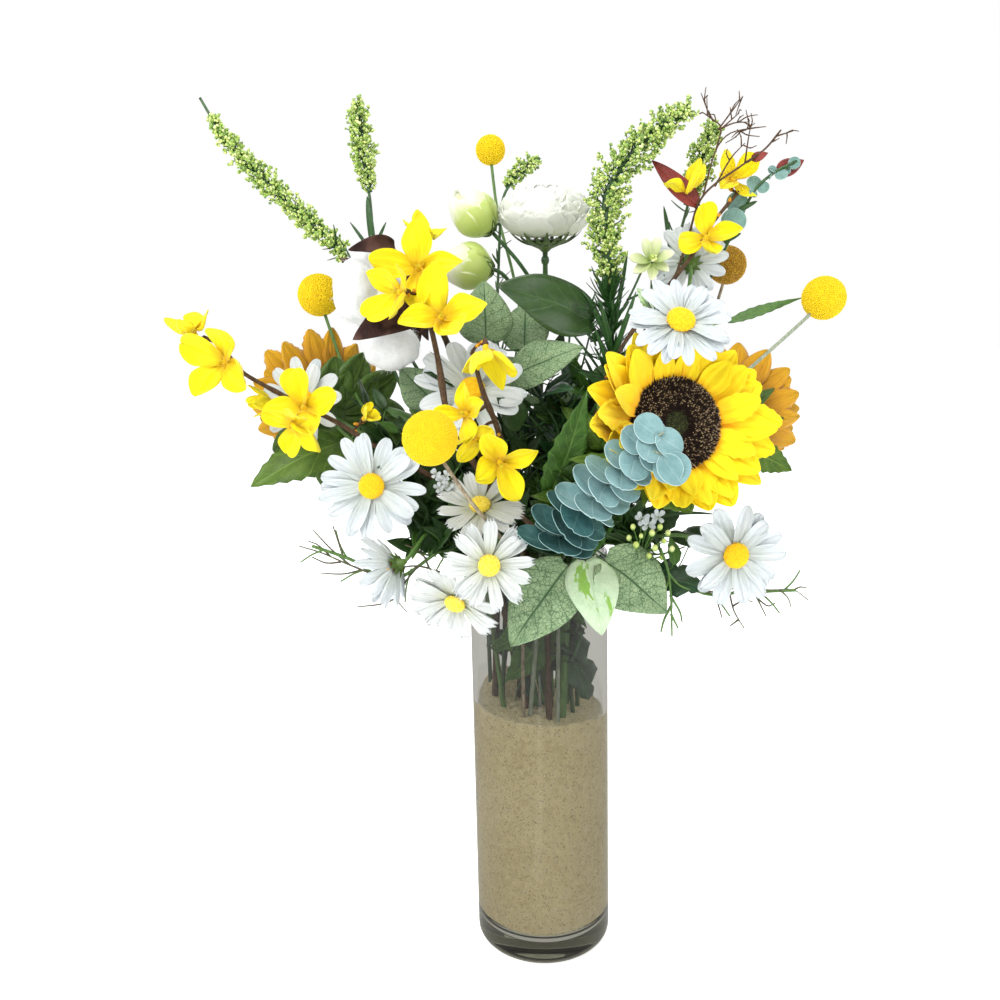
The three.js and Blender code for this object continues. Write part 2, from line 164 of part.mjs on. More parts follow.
// Berry spikes: piece, radius, points along the spike.
const SPIKES = [
  ["berry_spike_left", 8.2, [[-137.0, 32.0, 516.4], [-143.9, 33.0, 528.7], [-168.9, 36.0, 550.9], [-197.3, 40.0, 580.2], [-217.4, 44.0, 602.4], [-231.8, 48.0, 622.4]]],
  ["berry_spike_small", 8.4, [[-119.8, 58.0, 569.5], [-122.2, 59.0, 585.6], [-124.6, 60.0, 600.1], [-126.1, 60.0, 632.8]]],
  ["berry_spike_tall", 12.5, [[55.5, 4.0, 490.6], [52.7, 4.0, 509.9], [50.8, 5.0, 531.9], [53.1, 6.0, 559.0], [72.2, 8.0, 585.7], [93.3, 10.0, 602.9], [107.8, 10.0, 611.8]]],
  ["berry_spike_right", 7.6, [[114.5, 40.0, 552.5], [120.9, 40.0, 570.0], [128.0, 40.0, 590.9], [134.3, 40.0, 606.7]]],
  ["berry_spike_back", 6.6, [[-17.7, 92.0, 577.2], [-5.7, 92.5, 587.6], [7.8, 94.0, 596.6]]],
];
// Leaves: piece, kind, base, tip, width, side that faces out, fold, bend, where the stalk starts.
const LEAVES = [
  ["leaf_spray_upper", "broad", [42.8, 6.0, 468.6], [-25.2, -12.0, 496.1], 40.0, [0.0, -0.857, 0.514], 0.05, 0.1, [16.1, 4.0, 392.1]],
  ["leaf_spray_upper", "veined", [-16.6, 2.0, 430.3], [31.6, -22.0, 451.9], 30.0, [0.082, -0.816, 0.572], 0.12, 0.12, [-5.0, 4.8, 430.0]],
  ["leaf_spray_upper", "veined", [-34.6, 4.0, 456.2], [-34.9, -8.0, 497.9], 33.0, [0.0, -0.958, 0.287], 0.12, 0.12, [-10.3, 8.0, 450.0]],
  ["leaf_spray_upper", "veined", [-72.8, -2.0, 414.6], [-94.9, -14.0, 439.5], 26.0, [-0.188, -0.941, 0.282], 0.12, 0.12, [2.0, 4.0, 415.6]],
  ["leaf_spray_upper", "serrate", [6.8, -22.0, 345.1], [33.8, -40.0, 421.3], 26.0, [0.286, -0.953, 0.095], 0.18, 0.1, [14.1, 2.2, 346.1]],
  ["leaf_spray_upper", "serrate", [17.3, -10.0, 328.2], [23.8, -28.0, 401.7], 22.0, [-0.286, -0.953, 0.095], 0.18, 0.1, [6.8, 4.4, 331.5]],
  ["leaf_spray_upper", "broad", [-10.8, -30.0, 399.2], [-26.9, -50.0, 419.1], 18.0, [0.0, -0.928, 0.371], 0.12, 0.12, [10.5, 4.0, 401.5]],
  ["leaf_spray_front", "pale", [29.0, -62.0, 310.4], [37.9, -88.0, 267.0], 35.0, [0.045, -0.894, 0.447], 0.1, 0.16, [30.0, -60.0, 322.0]],
  ["leaf_spray_front", "veined", [17.4, -64.0, 307.0], [-22.6, -82.0, 258.2], 39.0, [-0.179, -0.897, 0.404], 0.1, 0.14, [30.0, -60.0, 322.0]],
  ["berry_spike_right", "blue", [11.2, -26.0, 256.8], [-22.7, -27.0, 214.4], 26.0, [-0.098, -0.976, 0.195], 0.1, 0.1, [18.7, -12.9, 255.1]],
  ["leaf_spray_front", "veined", [41.7, -62.0, 310.1], [82.3, -76.0, 277.2], 40.0, [0.226, -0.904, 0.362], 0.1, 0.14, [30.0, -60.0, 322.0]],
  ["sunflower_left_stem", "sunleaf", [-140.4, 14.0, 387.2], [-206.6, -8.0, 358.5], 34.0, [-0.089, -0.891, 0.445], 0.1, 0.12, [-125.0, 9.7, 389.4]],
  ["sunflower_right_stem", "sunleaf", [146.9, -8.0, 377.4], [178.7, -22.0, 362.6], 24.0, [0.188, -0.941, 0.282], 0.1, 0.12, [131.1, -2.0, 393.8]],
  ["sunflower_front_stem", "sunleaf", [76.2, -66.0, 368.1], [94.5, -90.0, 346.7], 34.0, [0.0, -0.894, 0.447], 0.1, 0.12, [71.9, -61.2, 394.5]],
  ["sunflower_left_stem", "sunleaf", [-78.4, 4.8, 353.7], [-131.0, 35.1, 366.6], 36.0, [0.244, -0.141, 0.96], 0.12, 0.14, [-68.5, -1.0, 351.0]],
  ["sunflower_left_stem", "sunleaf", [-96.5, 14.1, 376.2], [-100.9, 64.6, 399.9], 32.0, [0.023, -0.261, 0.965], 0.12, 0.14, [-95.7, 3.4, 370.9]],
  ["sunflower_right_stem", "sunleaf", [52.8, -22.0, 350.8], [104.8, 14.4, 359.7], 36.0, [-0.233, -0.163, 0.959], 0.12, 0.14, [43.2, -28.8, 349.0]],
  ["sunflower_right_stem", "sunleaf", [68.4, -25.4, 373.5], [70.2, 26.5, 394.5], 32.0, [-0.009, -0.268, 0.963], 0.12, 0.14, [68.1, -36.4, 368.9]],
  ["leaf_spray_upper", "veined", [21.0, 12.5, 399.0], [41.5, 48.0, 427.6], 30.0, [-0.156, -0.27, 0.95], 0.12, 0.14, [16.1, 4.0, 392.1]],
  ["leaf_spray_upper", "veined", [-7.5, 12.0, 426.3], [-33.1, 42.5, 449.3], 28.0, [0.21, -0.251, 0.945], 0.12, 0.14, [-0.9, 4.0, 420.3]],
  ["leaf_spray_upper", "veined", [-7.0, 14.1, 449.2], [-4.3, 44.8, 485.9], 30.0, [-0.022, -0.248, 0.968], 0.12, 0.14, [-7.7, 6.4, 440.0]],
  ["leaf_spray_upper", "veined", [4.0, 6.2, 374.7], [-38.9, 17.7, 386.6], 28.0, [0.348, -0.093, 0.933], 0.12, 0.14, [15.2, 3.2, 371.6]],
  ["leaf_spray_upper", "veined", [-1.8, -1.4, 411.2], [-33.2, -19.6, 428.1], 24.0, [0.295, 0.17, 0.94], 0.12, 0.14, [7.6, 4.0, 406.2]],
  ["sunflower_right_stem", "ivy", [18.5, -22.0, 241.9], [34.0, -24.0, 196.7], 30.0, [0.0, -0.981, 0.196], 0.1, 0.08, [17.8, -24.4, 247.1]],
  ["berry_spike_small", "ivy", [-3.7, -18.0, 248.7], [-35.3, -22.0, 237.1], 24.0, [0.0, -0.958, 0.287], 0.1, 0.08, [-5.6, -7.4, 255.0]],
  ["leaf_spray_front", "ivy", [81.4, -50.0, 295.9], [107.7, -62.0, 289.3], 28.0, [0.183, -0.913, 0.365], 0.1, 0.08, [30.0, -60.0, 322.0]],
  ["berry_spike_tall", "grass", [55.2, 2.0, 447.2], [37.5, -6.0, 486.3], 5.0, [0.0, -0.958, 0.287], 0.3, 0.1, [55.0, 4.0, 443.3]],
  ["berry_spike_tall", "grass", [54.9, 0.0, 444.4], [45.0, -14.0, 483.0], 5.5, [0.0, -0.958, 0.287], 0.3, 0.1, [55.0, 4.0, 438.5]],
  ["berry_spike_tall", "grass", [54.9, 0.0, 441.6], [70.5, -10.0, 488.1], 5.0, [0.0, -0.958, 0.287], 0.3, 0.1, [55.0, 4.0, 438.5]],
  ["berry_spike_tall", "grass", [54.6, -2.0, 427.5], [41.3, -22.0, 462.5], 5.0, [0.0, -0.958, 0.287], 0.3, 0.1, [51.5, 4.2, 423.2]],
  ["berry_spike_tall", "grass", [55.7, 6.0, 458.5], [69.1, 20.0, 519.4], 4.5, [0.0, -0.958, 0.287], 0.3, 0.1, [55.1, 4.0, 453.8]],
  ["berry_spike_tall", "grass", [54.9, 0.0, 418.9], [30.3, -20.0, 434.2], 5.0, [0.0, -0.958, 0.287], 0.3, 0.1, [49.0, 4.3, 417.2]],
  ["berry_spike_small", "grass", [-118.4, 56.0, 525.4], [-121.9, 56.0, 566.3], 7.0, [0.0, -0.981, 0.196], 0.3, 0.06, [-118.3, 54.3, 518.3]],
  ["berry_spike_small", "grass", [-118.5, 57.0, 527.0], [-108.2, 54.0, 546.9], 3.5, [0.0, -0.981, 0.196], 0.3, 0.06, [-118.5, 54.9, 523.6]],
  ["berry_spike_small", "grass", [-118.4, 55.0, 523.1], [-135.8, 58.0, 548.0], 3.5, [0.0, -0.981, 0.196], 0.3, 0.06, [-118.3, 54.3, 518.3]],
  ["berry_spike_right", "grass", [103.8, 36.0, 511.6], [97.3, 34.0, 551.3], 5.0, [0.0, -0.981, 0.196], 0.3, 0.08, [102.7, 37.0, 507.7]],
  ["berry_spike_right", "grass", [105.2, 36.0, 518.7], [118.4, 44.0, 540.8], 4.5, [0.0, -0.981, 0.196], 0.3, 0.08, [104.3, 37.3, 513.0]],
  ["daisy_spray_upper_stem", "serrate", [141.6, 18.0, 466.8], [192.4, 8.0, 483.0], 8.0, [0.0, -0.894, 0.447], 0.1, 0.06, [104.9, 16.3, 468.9]],
  ["daisy_8_stem", "serrate", [-59.4, -20.0, 402.9], [-74.9, -30.0, 419.1], 9.0, [0.0, -0.928, 0.371], 0.1, 0.1, [-41.6, -16.0, 406.7]],
  ["eucalyptus_front", "round", [1.7, -101.3, 319.3], [-2.7, -125.4, 315.1], 27.0, [0.558, -0.299, 0.774], 0.0, 0.06, [2.2, -100.0, 319.9]],
  ["eucalyptus_front", "round", [2.7, -98.7, 320.5], [15.0, -83.6, 335.9], 27.0, [0.368, -0.751, 0.549], 0.0, 0.06, [2.2, -100.0, 319.9]],
  ["eucalyptus_front", "round", [13.1, -111.1, 332.8], [34.3, -117.8, 325.4], 25.5, [0.199, -0.531, 0.824], 0.0, 0.06, [11.4, -110.9, 334.1]],
  ["eucalyptus_front", "round", [10.7, -110.9, 334.6], [-2.7, -114.1, 353.6], 25.5, [0.672, -0.579, 0.461], 0.0, 0.06, [11.4, -110.9, 334.1]],
  ["eucalyptus_front", "round", [20.0, -124.7, 346.4], [16.6, -146.4, 343.9], 24.0, [0.568, -0.256, 0.782], 0.0, 0.06, [20.3, -123.5, 347.1]],
  ["eucalyptus_front", "round", [21.2, -122.2, 347.6], [32.8, -110.3, 362.1], 24.0, [0.324, -0.798, 0.507], 0.0, 0.06, [20.3, -123.5, 347.1]],
  ["eucalyptus_front", "round", [31.9, -133.0, 360.1], [52.2, -133.1, 356.0], 22.5, [0.257, -0.403, 0.879], 0.0, 0.06, [30.5, -134.6, 360.7]],
  ["eucalyptus_front", "round", [29.5, -133.5, 361.7], [19.5, -139.9, 378.7], 22.5, [0.832, -0.283, 0.478], 0.0, 0.06, [30.5, -134.6, 360.7]],
  ["eucalyptus_front", "round", [43.9, -139.3, 375.1], [53.1, -156.2, 374.6], 21.0, [0.549, 0.179, 0.816], 0.0, 0.06, [43.6, -137.9, 375.7]],
  ["eucalyptus_front", "round", [43.3, -136.6, 376.3], [46.0, -122.7, 389.5], 21.0, [0.695, -0.506, 0.511], 0.0, 0.06, [43.6, -137.9, 375.7]],
  ["eucalyptus_front", "round", [58.6, -139.6, 388.8], [74.7, -132.7, 384.7], 19.5, [0.445, -0.296, 0.845], 0.0, 0.06, [58.0, -140.4, 389.5]],
  ["eucalyptus_front", "round", [56.8, -141.1, 390.7], [54.0, -149.8, 406.1], 19.5, [0.936, 0.11, 0.335], 0.0, 0.06, [58.0, -140.4, 389.5]],
  ["eucalyptus_front", "round", [74.3, -143.3, 400.9], [84.7, -156.1, 399.3], 18.0, [0.617, 0.292, 0.731], 0.0, 0.06, [73.9, -142.0, 401.6]],
  ["eucalyptus_front", "round", [73.5, -140.7, 402.3], [76.8, -129.4, 413.9], 18.0, [0.834, -0.443, 0.329], 0.0, 0.06, [73.9, -142.0, 401.6]],
  ["eucalyptus_front", "round", [62.2, -141.0, 391.4], [70.9, -147.0, 377.0], 16.0, [0.188, -0.941, 0.282], 0.1, 0.05, [43.6, -137.9, 375.7]],
  ["eucalyptus_back", "round", [141.2, 24.0, 530.8], [151.5, 18.0, 549.9], 17.0, [0.0, -0.958, 0.287], 0.0, 0.06, [143.6, 26.2, 525.5]],
  ["eucalyptus_back", "round", [143.8, 24.0, 544.7], [154.5, 22.0, 560.8], 11.0, [0.0, -0.958, 0.287], 0.0, 0.06, [148.6, 25.0, 535.7]],
  ["eucalyptus_back", "grass", [147.4, 24.0, 544.6], [160.7, 18.0, 551.1], 5.0, [0.0, -0.958, 0.287], 0.0, 0.06, [148.6, 25.0, 535.7]],
  ["eucalyptus_back", "grass", [138.2, 26.0, 523.4], [150.8, 22.0, 529.7], 5.0, [0.0, -0.958, 0.287], 0.0, 0.06, [138.5, 27.4, 515.3]],
  ["eucalyptus_back", "round", [159.7, 20.0, 559.0], [159.0, 24.0, 572.0], 6.0, [0.0, -0.958, 0.287], 0.0, 0.06, [157.5, 21.0, 554.3]],
  ["eucalyptus_back", "round", [161.1, 20.0, 560.3], [171.3, 16.0, 560.8], 7.0, [0.0, -0.958, 0.287], 0.0, 0.06, [159.7, 20.0, 559.0]],
  ["eucalyptus_back", "round", [171.0, 18.0, 569.3], [172.0, 20.0, 577.1], 4.0, [0.0, -0.958, 0.287], 0.0, 0.06, [168.6, 18.7, 566.8]],
  ["eucalyptus_back", "round", [173.8, 18.0, 570.6], [182.0, 12.0, 565.4], 10.0, [0.0, -0.958, 0.287], 0.0, 0.06, [168.6, 18.7, 566.8]],
  ["eucalyptus_back", "round", [183.3, 17.0, 573.0], [189.9, 14.0, 581.0], 10.0, [0.0, -0.958, 0.287], 0.0, 0.06, [178.0, 17.3, 572.9]],
  ["eucalyptus_back", "maroon", [175.8, 20.0, 570.9], [194.7, 22.0, 579.1], 11.0, [0.0, -0.958, 0.287], 0.0, 0.06, [173.1, 18.0, 570.6]],
  ["twig_branch", "maroon", [116.3, 10.0, 548.2], [85.7, 18.0, 580.6], 15.0, [0.0, -0.981, 0.196], 0.1, 0.05, [118.2, 9.2, 548.3]],
  ["twig_branch", "maroon", [153.9, 8.0, 578.0], [163.8, 4.0, 581.0], 7.0, [0.0, -0.981, 0.196], 0.1, 0.05, [148.5, 6.0, 575.0]],
  ["cotton_stem_husk", "husk", [-84.8, 3.5, 475.0], [-122.8, -48.1, 460.6], 22.0, [0.12, -0.684, -0.72], 0.15, 0.62, [-82.9, 8.6, 478.1]],
  ["cotton_stem_husk", "husk", [-85.2, 6.5, 483.6], [-126.0, -25.7, 528.5], 20.0, [0.032, -0.079, 0.996], 0.15, 0.62, [-82.9, 8.6, 478.1]],
  ["cotton_stem_husk", "husk", [-81.0, 8.0, 476.4], [-76.8, -10.0, 463.2], 20.0, [0.879, 0.216, -0.425], 0.15, 0.62, [-82.9, 8.6, 478.1]],
  ["cotton_stem_husk", "husk", [-84.8, 11.2, 476.0], [-120.1, 30.3, 455.0], 20.0, [0.116, 0.845, -0.522], 0.15, 0.62, [-82.9, 8.6, 478.1]],
  ["cotton_stem_husk", "husk", [-85.9, 11.2, 481.1], [-133.8, 32.6, 519.8], 20.0, [-0.102, 0.859, 0.502], 0.15, 0.62, [-82.9, 8.6, 478.1]],
];
// Cotton lobes: centre, half sizes.
const COTTON_LOBES = [
  [[-122.3, -20.0, 491.7], [16.5, 18, 22]],
  [[-99.9, -20.0, 454.8], [20.5, 18, 17]],
  [[-111.9, -4.0, 511.4], [16, 17, 17]],
  [[-106.5, 6.0, 485.8], [18, 18, 22]],
  [[-109.4, -12.0, 482.3], [17, 17, 20]],
];
// Daisies seen from the side or back, each one piece.
const DAISY_HEADS = ["daisy_7", "daisy_9", "daisy_10"];
// Which spray carries each daisy.
const DAISY_STEM = {"daisy_1": "daisy_spray_left_stem", "daisy_7": "daisy_spray_left_stem", "daisy_10": "daisy_spray_left_stem", "daisy_3": "daisy_spray_centre_stem", "daisy_4": "daisy_spray_centre_stem", "daisy_5": "daisy_spray_centre_stem", "daisy_2": "daisy_spray_right_stem", "daisy_6": "daisy_spray_upper_stem", "daisy_9": "daisy_spray_upper_stem", "daisy_8": "daisy_8_stem"};
// How far each daisy's petal tips stand forward.
const DAISY_CUP = {"daisy_7": 9, "daisy_10": 6, "daisy_9": 5, "daisy_4": 5, "daisy_5": 1, "daisy_1": 2.5, "daisy_2": 2.5, "daisy_3": 2, "daisy_6": 1, "daisy_8": 4};

// ------------------------------------------------------------------ helpers
const v3 = (a) => new THREE.Vector3(a[0], a[1], a[2]);

function solid(geometry) {
  const g = geometry.index ? geometry.toNonIndexed() : geometry.clone();
  for (const k of Object.keys(g.attributes))
    if (k !== "position") g.deleteAttribute(k);
  const m = mergeVertices(g, 1e-3);
  const src = m.index.array;
  // faces whose corners have merged are dropped
  const keep = [];
  for (let i = 0; i < src.length; i += 3) {
    const [a, b, c] = [src[i], src[i + 1], src[i + 2]];
    if (a !== b && b !== c && a !== c) keep.push(a, b, c);
  }
  const make = (tri) =>
    new wasm.Manifold(
      new wasm.Mesh({
        numProp: 3,
        vertProperties: new Float32Array(m.attributes.position.array),
        triVerts: new Uint32Array(tri),
      }),
    );
  let s = make(keep);
  if (s.volume() < 0) {
    const flip = keep.slice();
    for (let i = 0; i < flip.length; i += 3)
      [flip[i + 1], flip[i + 2]] = [flip[i + 2], flip[i + 1]];
    s = make(flip);
  }
  return s;
}

function toGeometry(s) {
  const m = s.getMesh();
  const pos = new Float32Array(m.numVert * 3);
  for (let i = 0; i < m.numVert; i++)
    pos.set(m.vertProperties.subarray(i * m.numProp, i * m.numProp + 3), i * 3);
  const g = new THREE.BufferGeometry();
  g.setAttribute("position", new THREE.BufferAttribute(pos, 3));
  g.setIndex(new THREE.BufferAttribute(new Uint32Array(m.triVerts), 1));
  g.computeVertexNormals();
  return g;
}

// Every vertex of a geometry goes through f(Vector3).
function mapped(geometry, f) {
  const p = geometry.attributes.position;
  const v = new THREE.Vector3();
  for (let i = 0; i < p.count; i++) {
    v.fromBufferAttribute(p, i);
    const w = f(v.clone());
    p.setXYZ(i, w.x, w.y, w.z);
  }
  return geometry;
}

// The two directions across a normal n.
function across(n) {
  const a = Math.abs(n.z) < 0.9 ? new THREE.Vector3(0, 0, 1) : new THREE.Vector3(0, 1, 0);
  const u = new THREE.Vector3().crossVectors(a, n).normalize();
  const w = new THREE.Vector3().crossVectors(n, u);
  return [u, w];
}

// A round stem through a list of points, tapering from r0 to r1.
function stem(points, r0, r1, sides = 5, swell = null) {
  const P = points.map(v3);
  const n = P.length;
  const T = P.map((_, i) =>
    new THREE.Vector3()
      .subVectors(P[Math.min(n - 1, i + 1)], P[Math.max(0, i - 1)])
      .normalize(),
  );
  const len = [0];
  for (let i = 1; i < n; i++) len.push(len[i - 1] + P[i].distanceTo(P[i - 1]));
  const N = [across(T[0])[0]];
  for (let i = 1; i < n; i++)
    N.push(N[i - 1].clone().addScaledVector(T[i], -N[i - 1].dot(T[i])).normalize());
  const B = N.map((u, i) => new THREE.Vector3().crossVectors(u, T[i]));
  const g = new THREE.CylinderGeometry(1, 1, 1, sides, n - 1, false);
  return solid(
    mapped(g, (v) => {
      const i = Math.round((v.y + 0.5) * (n - 1));
      const r = (r0 + ((r1 - r0) * len[i]) / len[n - 1]) * (swell ? swell[i] : 1);
      return P[i].clone().addScaledVector(N[i], v.x * r).addScaledVector(B[i], v.z * r);
    }),
  );
}

// A body of revolution about the axis n at the point c. shape(r, h, k) may move
// a profile point outwards by where it stands round the axis (k counts segments).
function turned(profile, segments, c, n, spin, shape) {
  const nn = v3(n).normalize();
  const [u, w] = across(nn);
  const cc = v3(c);
  const g = new THREE.LatheGeometry(
    profile.map(([r, h]) => new THREE.Vector2(Math.max(0, r), h)),
    segments,
  );
  return solid(
    mapped(g, (v) => {
      let r = Math.hypot(v.x, v.z);
      let h = v.y;
      let a = Math.atan2(v.x, v.z);
      const k = Math.round((((a / (2 * Math.PI)) * segments) % segments) + segments) % segments;
      if (shape && r > 1e-6) [r, h] = shape(r, h, k);
      a += (spin * Math.PI) / 180;
      return cc
        .clone()
        .addScaledVector(u, r * Math.cos(a))
        .addScaledVector(w, r * Math.sin(a))
        .addScaledVector(nn, h);
    }),
  );
}

// A ring of petals: every second segment is a petal tip, the others the notches.
function petalRing(c, n, R, spin, petals, innerR, t, cup, notch, g) {
  const profile = [
    [0, t / 2 + g],
    [innerR, t / 2 + g],
    [R + g, cup],
    [innerR, -t / 2 - g],
    [0, -t / 2 - g],
  ];
  return turned(profile, petals * 2, c, n, spin, (r, h, k) => {
    if (r <= innerR + 1e-6) return [r, h];
    return k % 2 ? [innerR + (r - innerR) * notch, h * (0.25 + 0.75 * notch)] : [r, h];
  });
}

// A leaf: its stalk runs from p to the base b, then the blade runs on to the
// tip t, pointed or round, folded along its midrib and bent along its length.
function leafShape(p, b, t, w, hint, kind, fold, bend, g) {
  const P = v3(p);
  const B = v3(b);
  const T = v3(t);
  const dir = new THREE.Vector3().subVectors(T, B);
  const L = dir.length();
  dir.normalize();
  const side = new THREE.Vector3().crossVectors(dir, v3(hint)).normalize();
  const up = new THREE.Vector3().crossVectors(side, dir).normalize();
  // stations along the leaf: share of the blade's length, share of its half width
  const rows = {
    round: [[0.45, 1], [0.97, 0.45]],
    grass: [[0.5, 0.9], [1, 0.12]],
    husk: [[0.3, 1], [0.75, 0.7], [1, 0.08]],
    maroon: [[0.45, 1], [1, 0.1]],
  }[kind] ?? (w < 23 ? [[0.42, 1], [1, 0.06]] : [[0.3, 0.98], [0.68, 0.82], [1, 0.06]]);
  const n = rows.length + 1;
  const ny = w > 30 && kind !== "husk" && kind !== "round" ? 2 : 1;
  const box = new THREE.BoxGeometry(1, 1, 1, n, ny, 1);
  return solid(
    mapped(box, (v) => {
      const i = Math.round((v.x + 0.5) * n);
      const q = v.y * 2;
      if (i < 2)
        return (i ? B.clone() : P.clone())
          .addScaledVector(side, q * (PETIOLE_R + g))
          .addScaledVector(up, v.z * 2 * (PETIOLE_R * 0.8 + g));
      const [s, f] = rows[i - 2];
      const half = (w / 2) * f + g;
      const lift = bend * L * (Math.sin(Math.PI * s) * 0.5 - 0.35 * s * s) + fold * half * Math.abs(q) * 0.6;
      return B.clone()
        .addScaledVector(dir, s * L + (s === 1 ? g : 0))
        .addScaledVector(side, q * half)
        .addScaledVector(up, lift + v.z * (LEAF_T + 2 * g));
    }),
  );
}

const union = (list) => list.reduce((a, b) => a.add(b));

function boxesMeet(a, b) {
  const p = a.boundingBox();
  const q = b.boundingBox();
  for (let i = 0; i < 3; i++) if (p.min[i] > q.max[i] || q.min[i] > p.max[i]) return false;
  return true;
}

function largest(s) {
  const parts = s.decompose();
  let best = parts[0];
  for (const q of parts) if (q.volume() > best.volume()) best = q;
  return best;
}

// ------------------------------------------------------------- the two kinds
// of piece: firm(g) is stems and heads, soft(g) is blades and small stalks,
// which give way to the firm ones. g is how much larger the piece is made.
const nodes = new Map();
function node(name, color, roughness = 0.6) {
  if (!nodes.has(name)) nodes.set(name, { name, firm: [], soft: [], color, roughness });
  return nodes.get(name);
}

const GREEN = 0x3f6b2a;
const LOOK = {
  sunflower_front_stem: 0x35591f, sunflower_left_stem: 0x35591f, sunflower_right_stem: 0x35591f,
  cotton_stem_husk: 0x2b1712, ranunculus_stem: 0x2f5a2c, forsythia_left: 0xf2e313,
  forsythia_upper: 0xf2e313, forsythia_centre: 0xf2e313, forsythia_right: 0xf2e313,
  eucalyptus_front: 0x8fb9b5, eucalyptus_back: 0x6f9a92, twig_branch: 0x4a3226,
  leaf_spray_front: 0x7d9b73, leaf_spray_upper: 0x6a8a62, berry_spike_left: 0x93b85a,
  berry_spike_small: 0x9fc565, berry_spike_tall: 0x9fc565, berry_spike_right: 0x9fc565,
  berry_spike_back: 0x6d8f45, craspedia_1: 0xd9a90f, craspedia_2: 0xe0b416, craspedia_3: 0xa58118,
  craspedia_4: 0xe6c21b, craspedia_5: 0xeab51a,
};

for (const [name, r0, r1, pts] of STEMS) {
  node(name, LOOK[name] ?? GREEN).firm.push((g) =>
    stem(g ? [extend(pts[1], pts[0], g), ...pts.slice(1)] : pts, r0 + g, r1 + g, r0 < 1.85 ? 4 : 5),
  );
}
function extend(a, b, g) {
  const A = v3(a);
  const B = v3(b);
  const d = B.clone().sub(A).normalize();
  return B.addScaledVector(d, g).toArray();
}
for (const [name, r0, r1, pts] of STALKS)
  node(name, LOOK[name] ?? GREEN).soft.push((g) => stem(pts, r0 + g, r1 + g, 3));
for (const [name, kind, b, t, w, h, fold, bend, p] of LEAVES)
  node(name, LOOK[name] ?? GREEN)[kind === "husk" ? "firm" : "soft"].push((g) => leafShape(p, b, t, w, h, kind, fold, bend, g));
for (const [name, c, n, R, spin, open] of BLOOMS) {
  const q = node(name, LOOK[name]);
  // a four-petalled cup; the narrower it is, the steeper the petals stand
  const rise = R * (1.05 - 0.75 * open);
  const out = R * (0.45 + 0.5 * open);
  q.soft.push((g) =>
    turned(
      [[0, 1.5 + g], [out + g, rise], [3.4 + g, -0.8 - g], [0, -7 - g]],
      8, c, n, spin,
      (r, h, k) => (r > 4.5 && k % 2 ? [3.4 + (r - 3.4) * 0.35, h * 0.5] : [r, h]),
    ),
  );
}
for (const [name, r, pts] of SPIKES)
  node(name, LOOK[name]).soft.push((g) => {
    const n = pts.length;
    const swell = pts.map((_, i) => (i === 0 ? 0.55 : i === n - 1 ? 0.35 : i % 2 ? 1 : 0.86));
    return stem(pts, r + g, r * 0.92 + g, 7, swell);
  });

// ------------------------------------------------------------------- heads
for (const [name, kind, c, n, R, spin] of HEADS) {
  if (kind === "sun") {
    node(name + "_stem", GREEN).firm.push((g) =>
      turned([[0, -3 + g], [20 + g, -3 + g], [8 + g, -14], [0, -18 - g]], 10, c, n, spin),
    );
    node(name + "_stem", GREEN).soft.push((g) =>
      petalRing(along(c, n, -7), n, R * 0.72, spin, 10, 17, 2.2, -3, 0.15, g),
    );
    node(name + "_petals", 0xf5b80c).firm.push((g) =>
      turned(
        [[0, 1.4 + g], [30, 1.4 + g], [R * 0.72, 7 + g], [R + g, R * 0.3], [R * 0.72, 4.8 - g], [30, -1.2 - g], [0, -1.2 - g]],
        SUN_PETALS * 2, c, n, spin,
        (r, h, k) => (k % 2 && r > 31 ? (r > R * 0.9 ? [R * 0.78, h * 0.75] : [r * 0.93, h]) : [r, h]),
      ),
    );
    node(name + "_disc", 0x2b1a12, 0.9).firm.push((g) =>
      turned([[0, 1.8 - g], [26 + g, 1.8 - g], [SUN_DISC_R + g, 4.4], [26 + g, 9.5 + g], [12, 10.6 + g], [0, 9 + g]], 16, c, n, spin),
    );
  } else if (kind === "daisy") {
    const whole = DAISY_HEADS.includes(name);
    const petals = (g) => petalRing(c, n, R, spin, DAISY_PETALS, 8.0, 2, DAISY_CUP[name] ?? 2, 0.3, g);
    const eye = (g) =>
      turned([[0, (whole ? 0.4 : 1.7) - g], [DAISY_EYE_R - 0.6 + g, (whole ? 0.4 : 1.7) - g], [DAISY_EYE_R * 0.86 + g, 3.8], [0, 5.9 + g]], 9, c, n, spin);
    node(DAISY_STEM[name], GREEN).firm.push((g) =>
      turned([[0, -1.4 + g], [4.6 + g, -1.4 + g], [3.6 + g, -4], [1.6 + g, -8], [0, -9 - g]], 8, c, n, spin),
    );
    if (whole) {
      node(name + "_head", 0xe8eae8).firm.push(petals);
      node(name + "_head", 0xe8eae8).firm.push(eye);
    } else {
      node(name + "_petals", 0xeef0ee).firm.push(petals);
      node(name + "_eye", 0xf0b816, 0.9).firm.push(eye);
    }
  } else if (kind === "ball") {
    node(name, LOOK[name]).firm.push((g) => solid(new THREE.SphereGeometry(R + g, 9, 6).translate(...c)));
  } else if (kind === "ranun") {
    node("ranunculus_stem", GREEN).firm.push((g) =>
      turned([[0, -19.5 + g], [7 + g, -19.5 + g], [9 + g, -22], [3 + g, -26], [0, -27 - g]], 8, c, n, spin),
    );
    node(name, 0xf2f2ea).firm.push((g) =>
      turned([[0, -19 - g], [17 + g, -17 - g], [R * 0.93 + g, -6], [R + g, 3], [R * 0.8 + g, 14], [R * 0.42, 20 + g], [0, 21 + g]], 14, c, n, spin),
    );
  } else if (kind === "bud") {
    node(name, 0xb9cf7f).firm.push((g) =>
      turned([[0, -R - g], [R * 0.62 + g, -R * 0.8], [R + g, -R * 0.1], [R * 0.62 + g, R * 0.95], [0, R * 1.5 + g]], 9, c, n, spin),
    );
  }
}
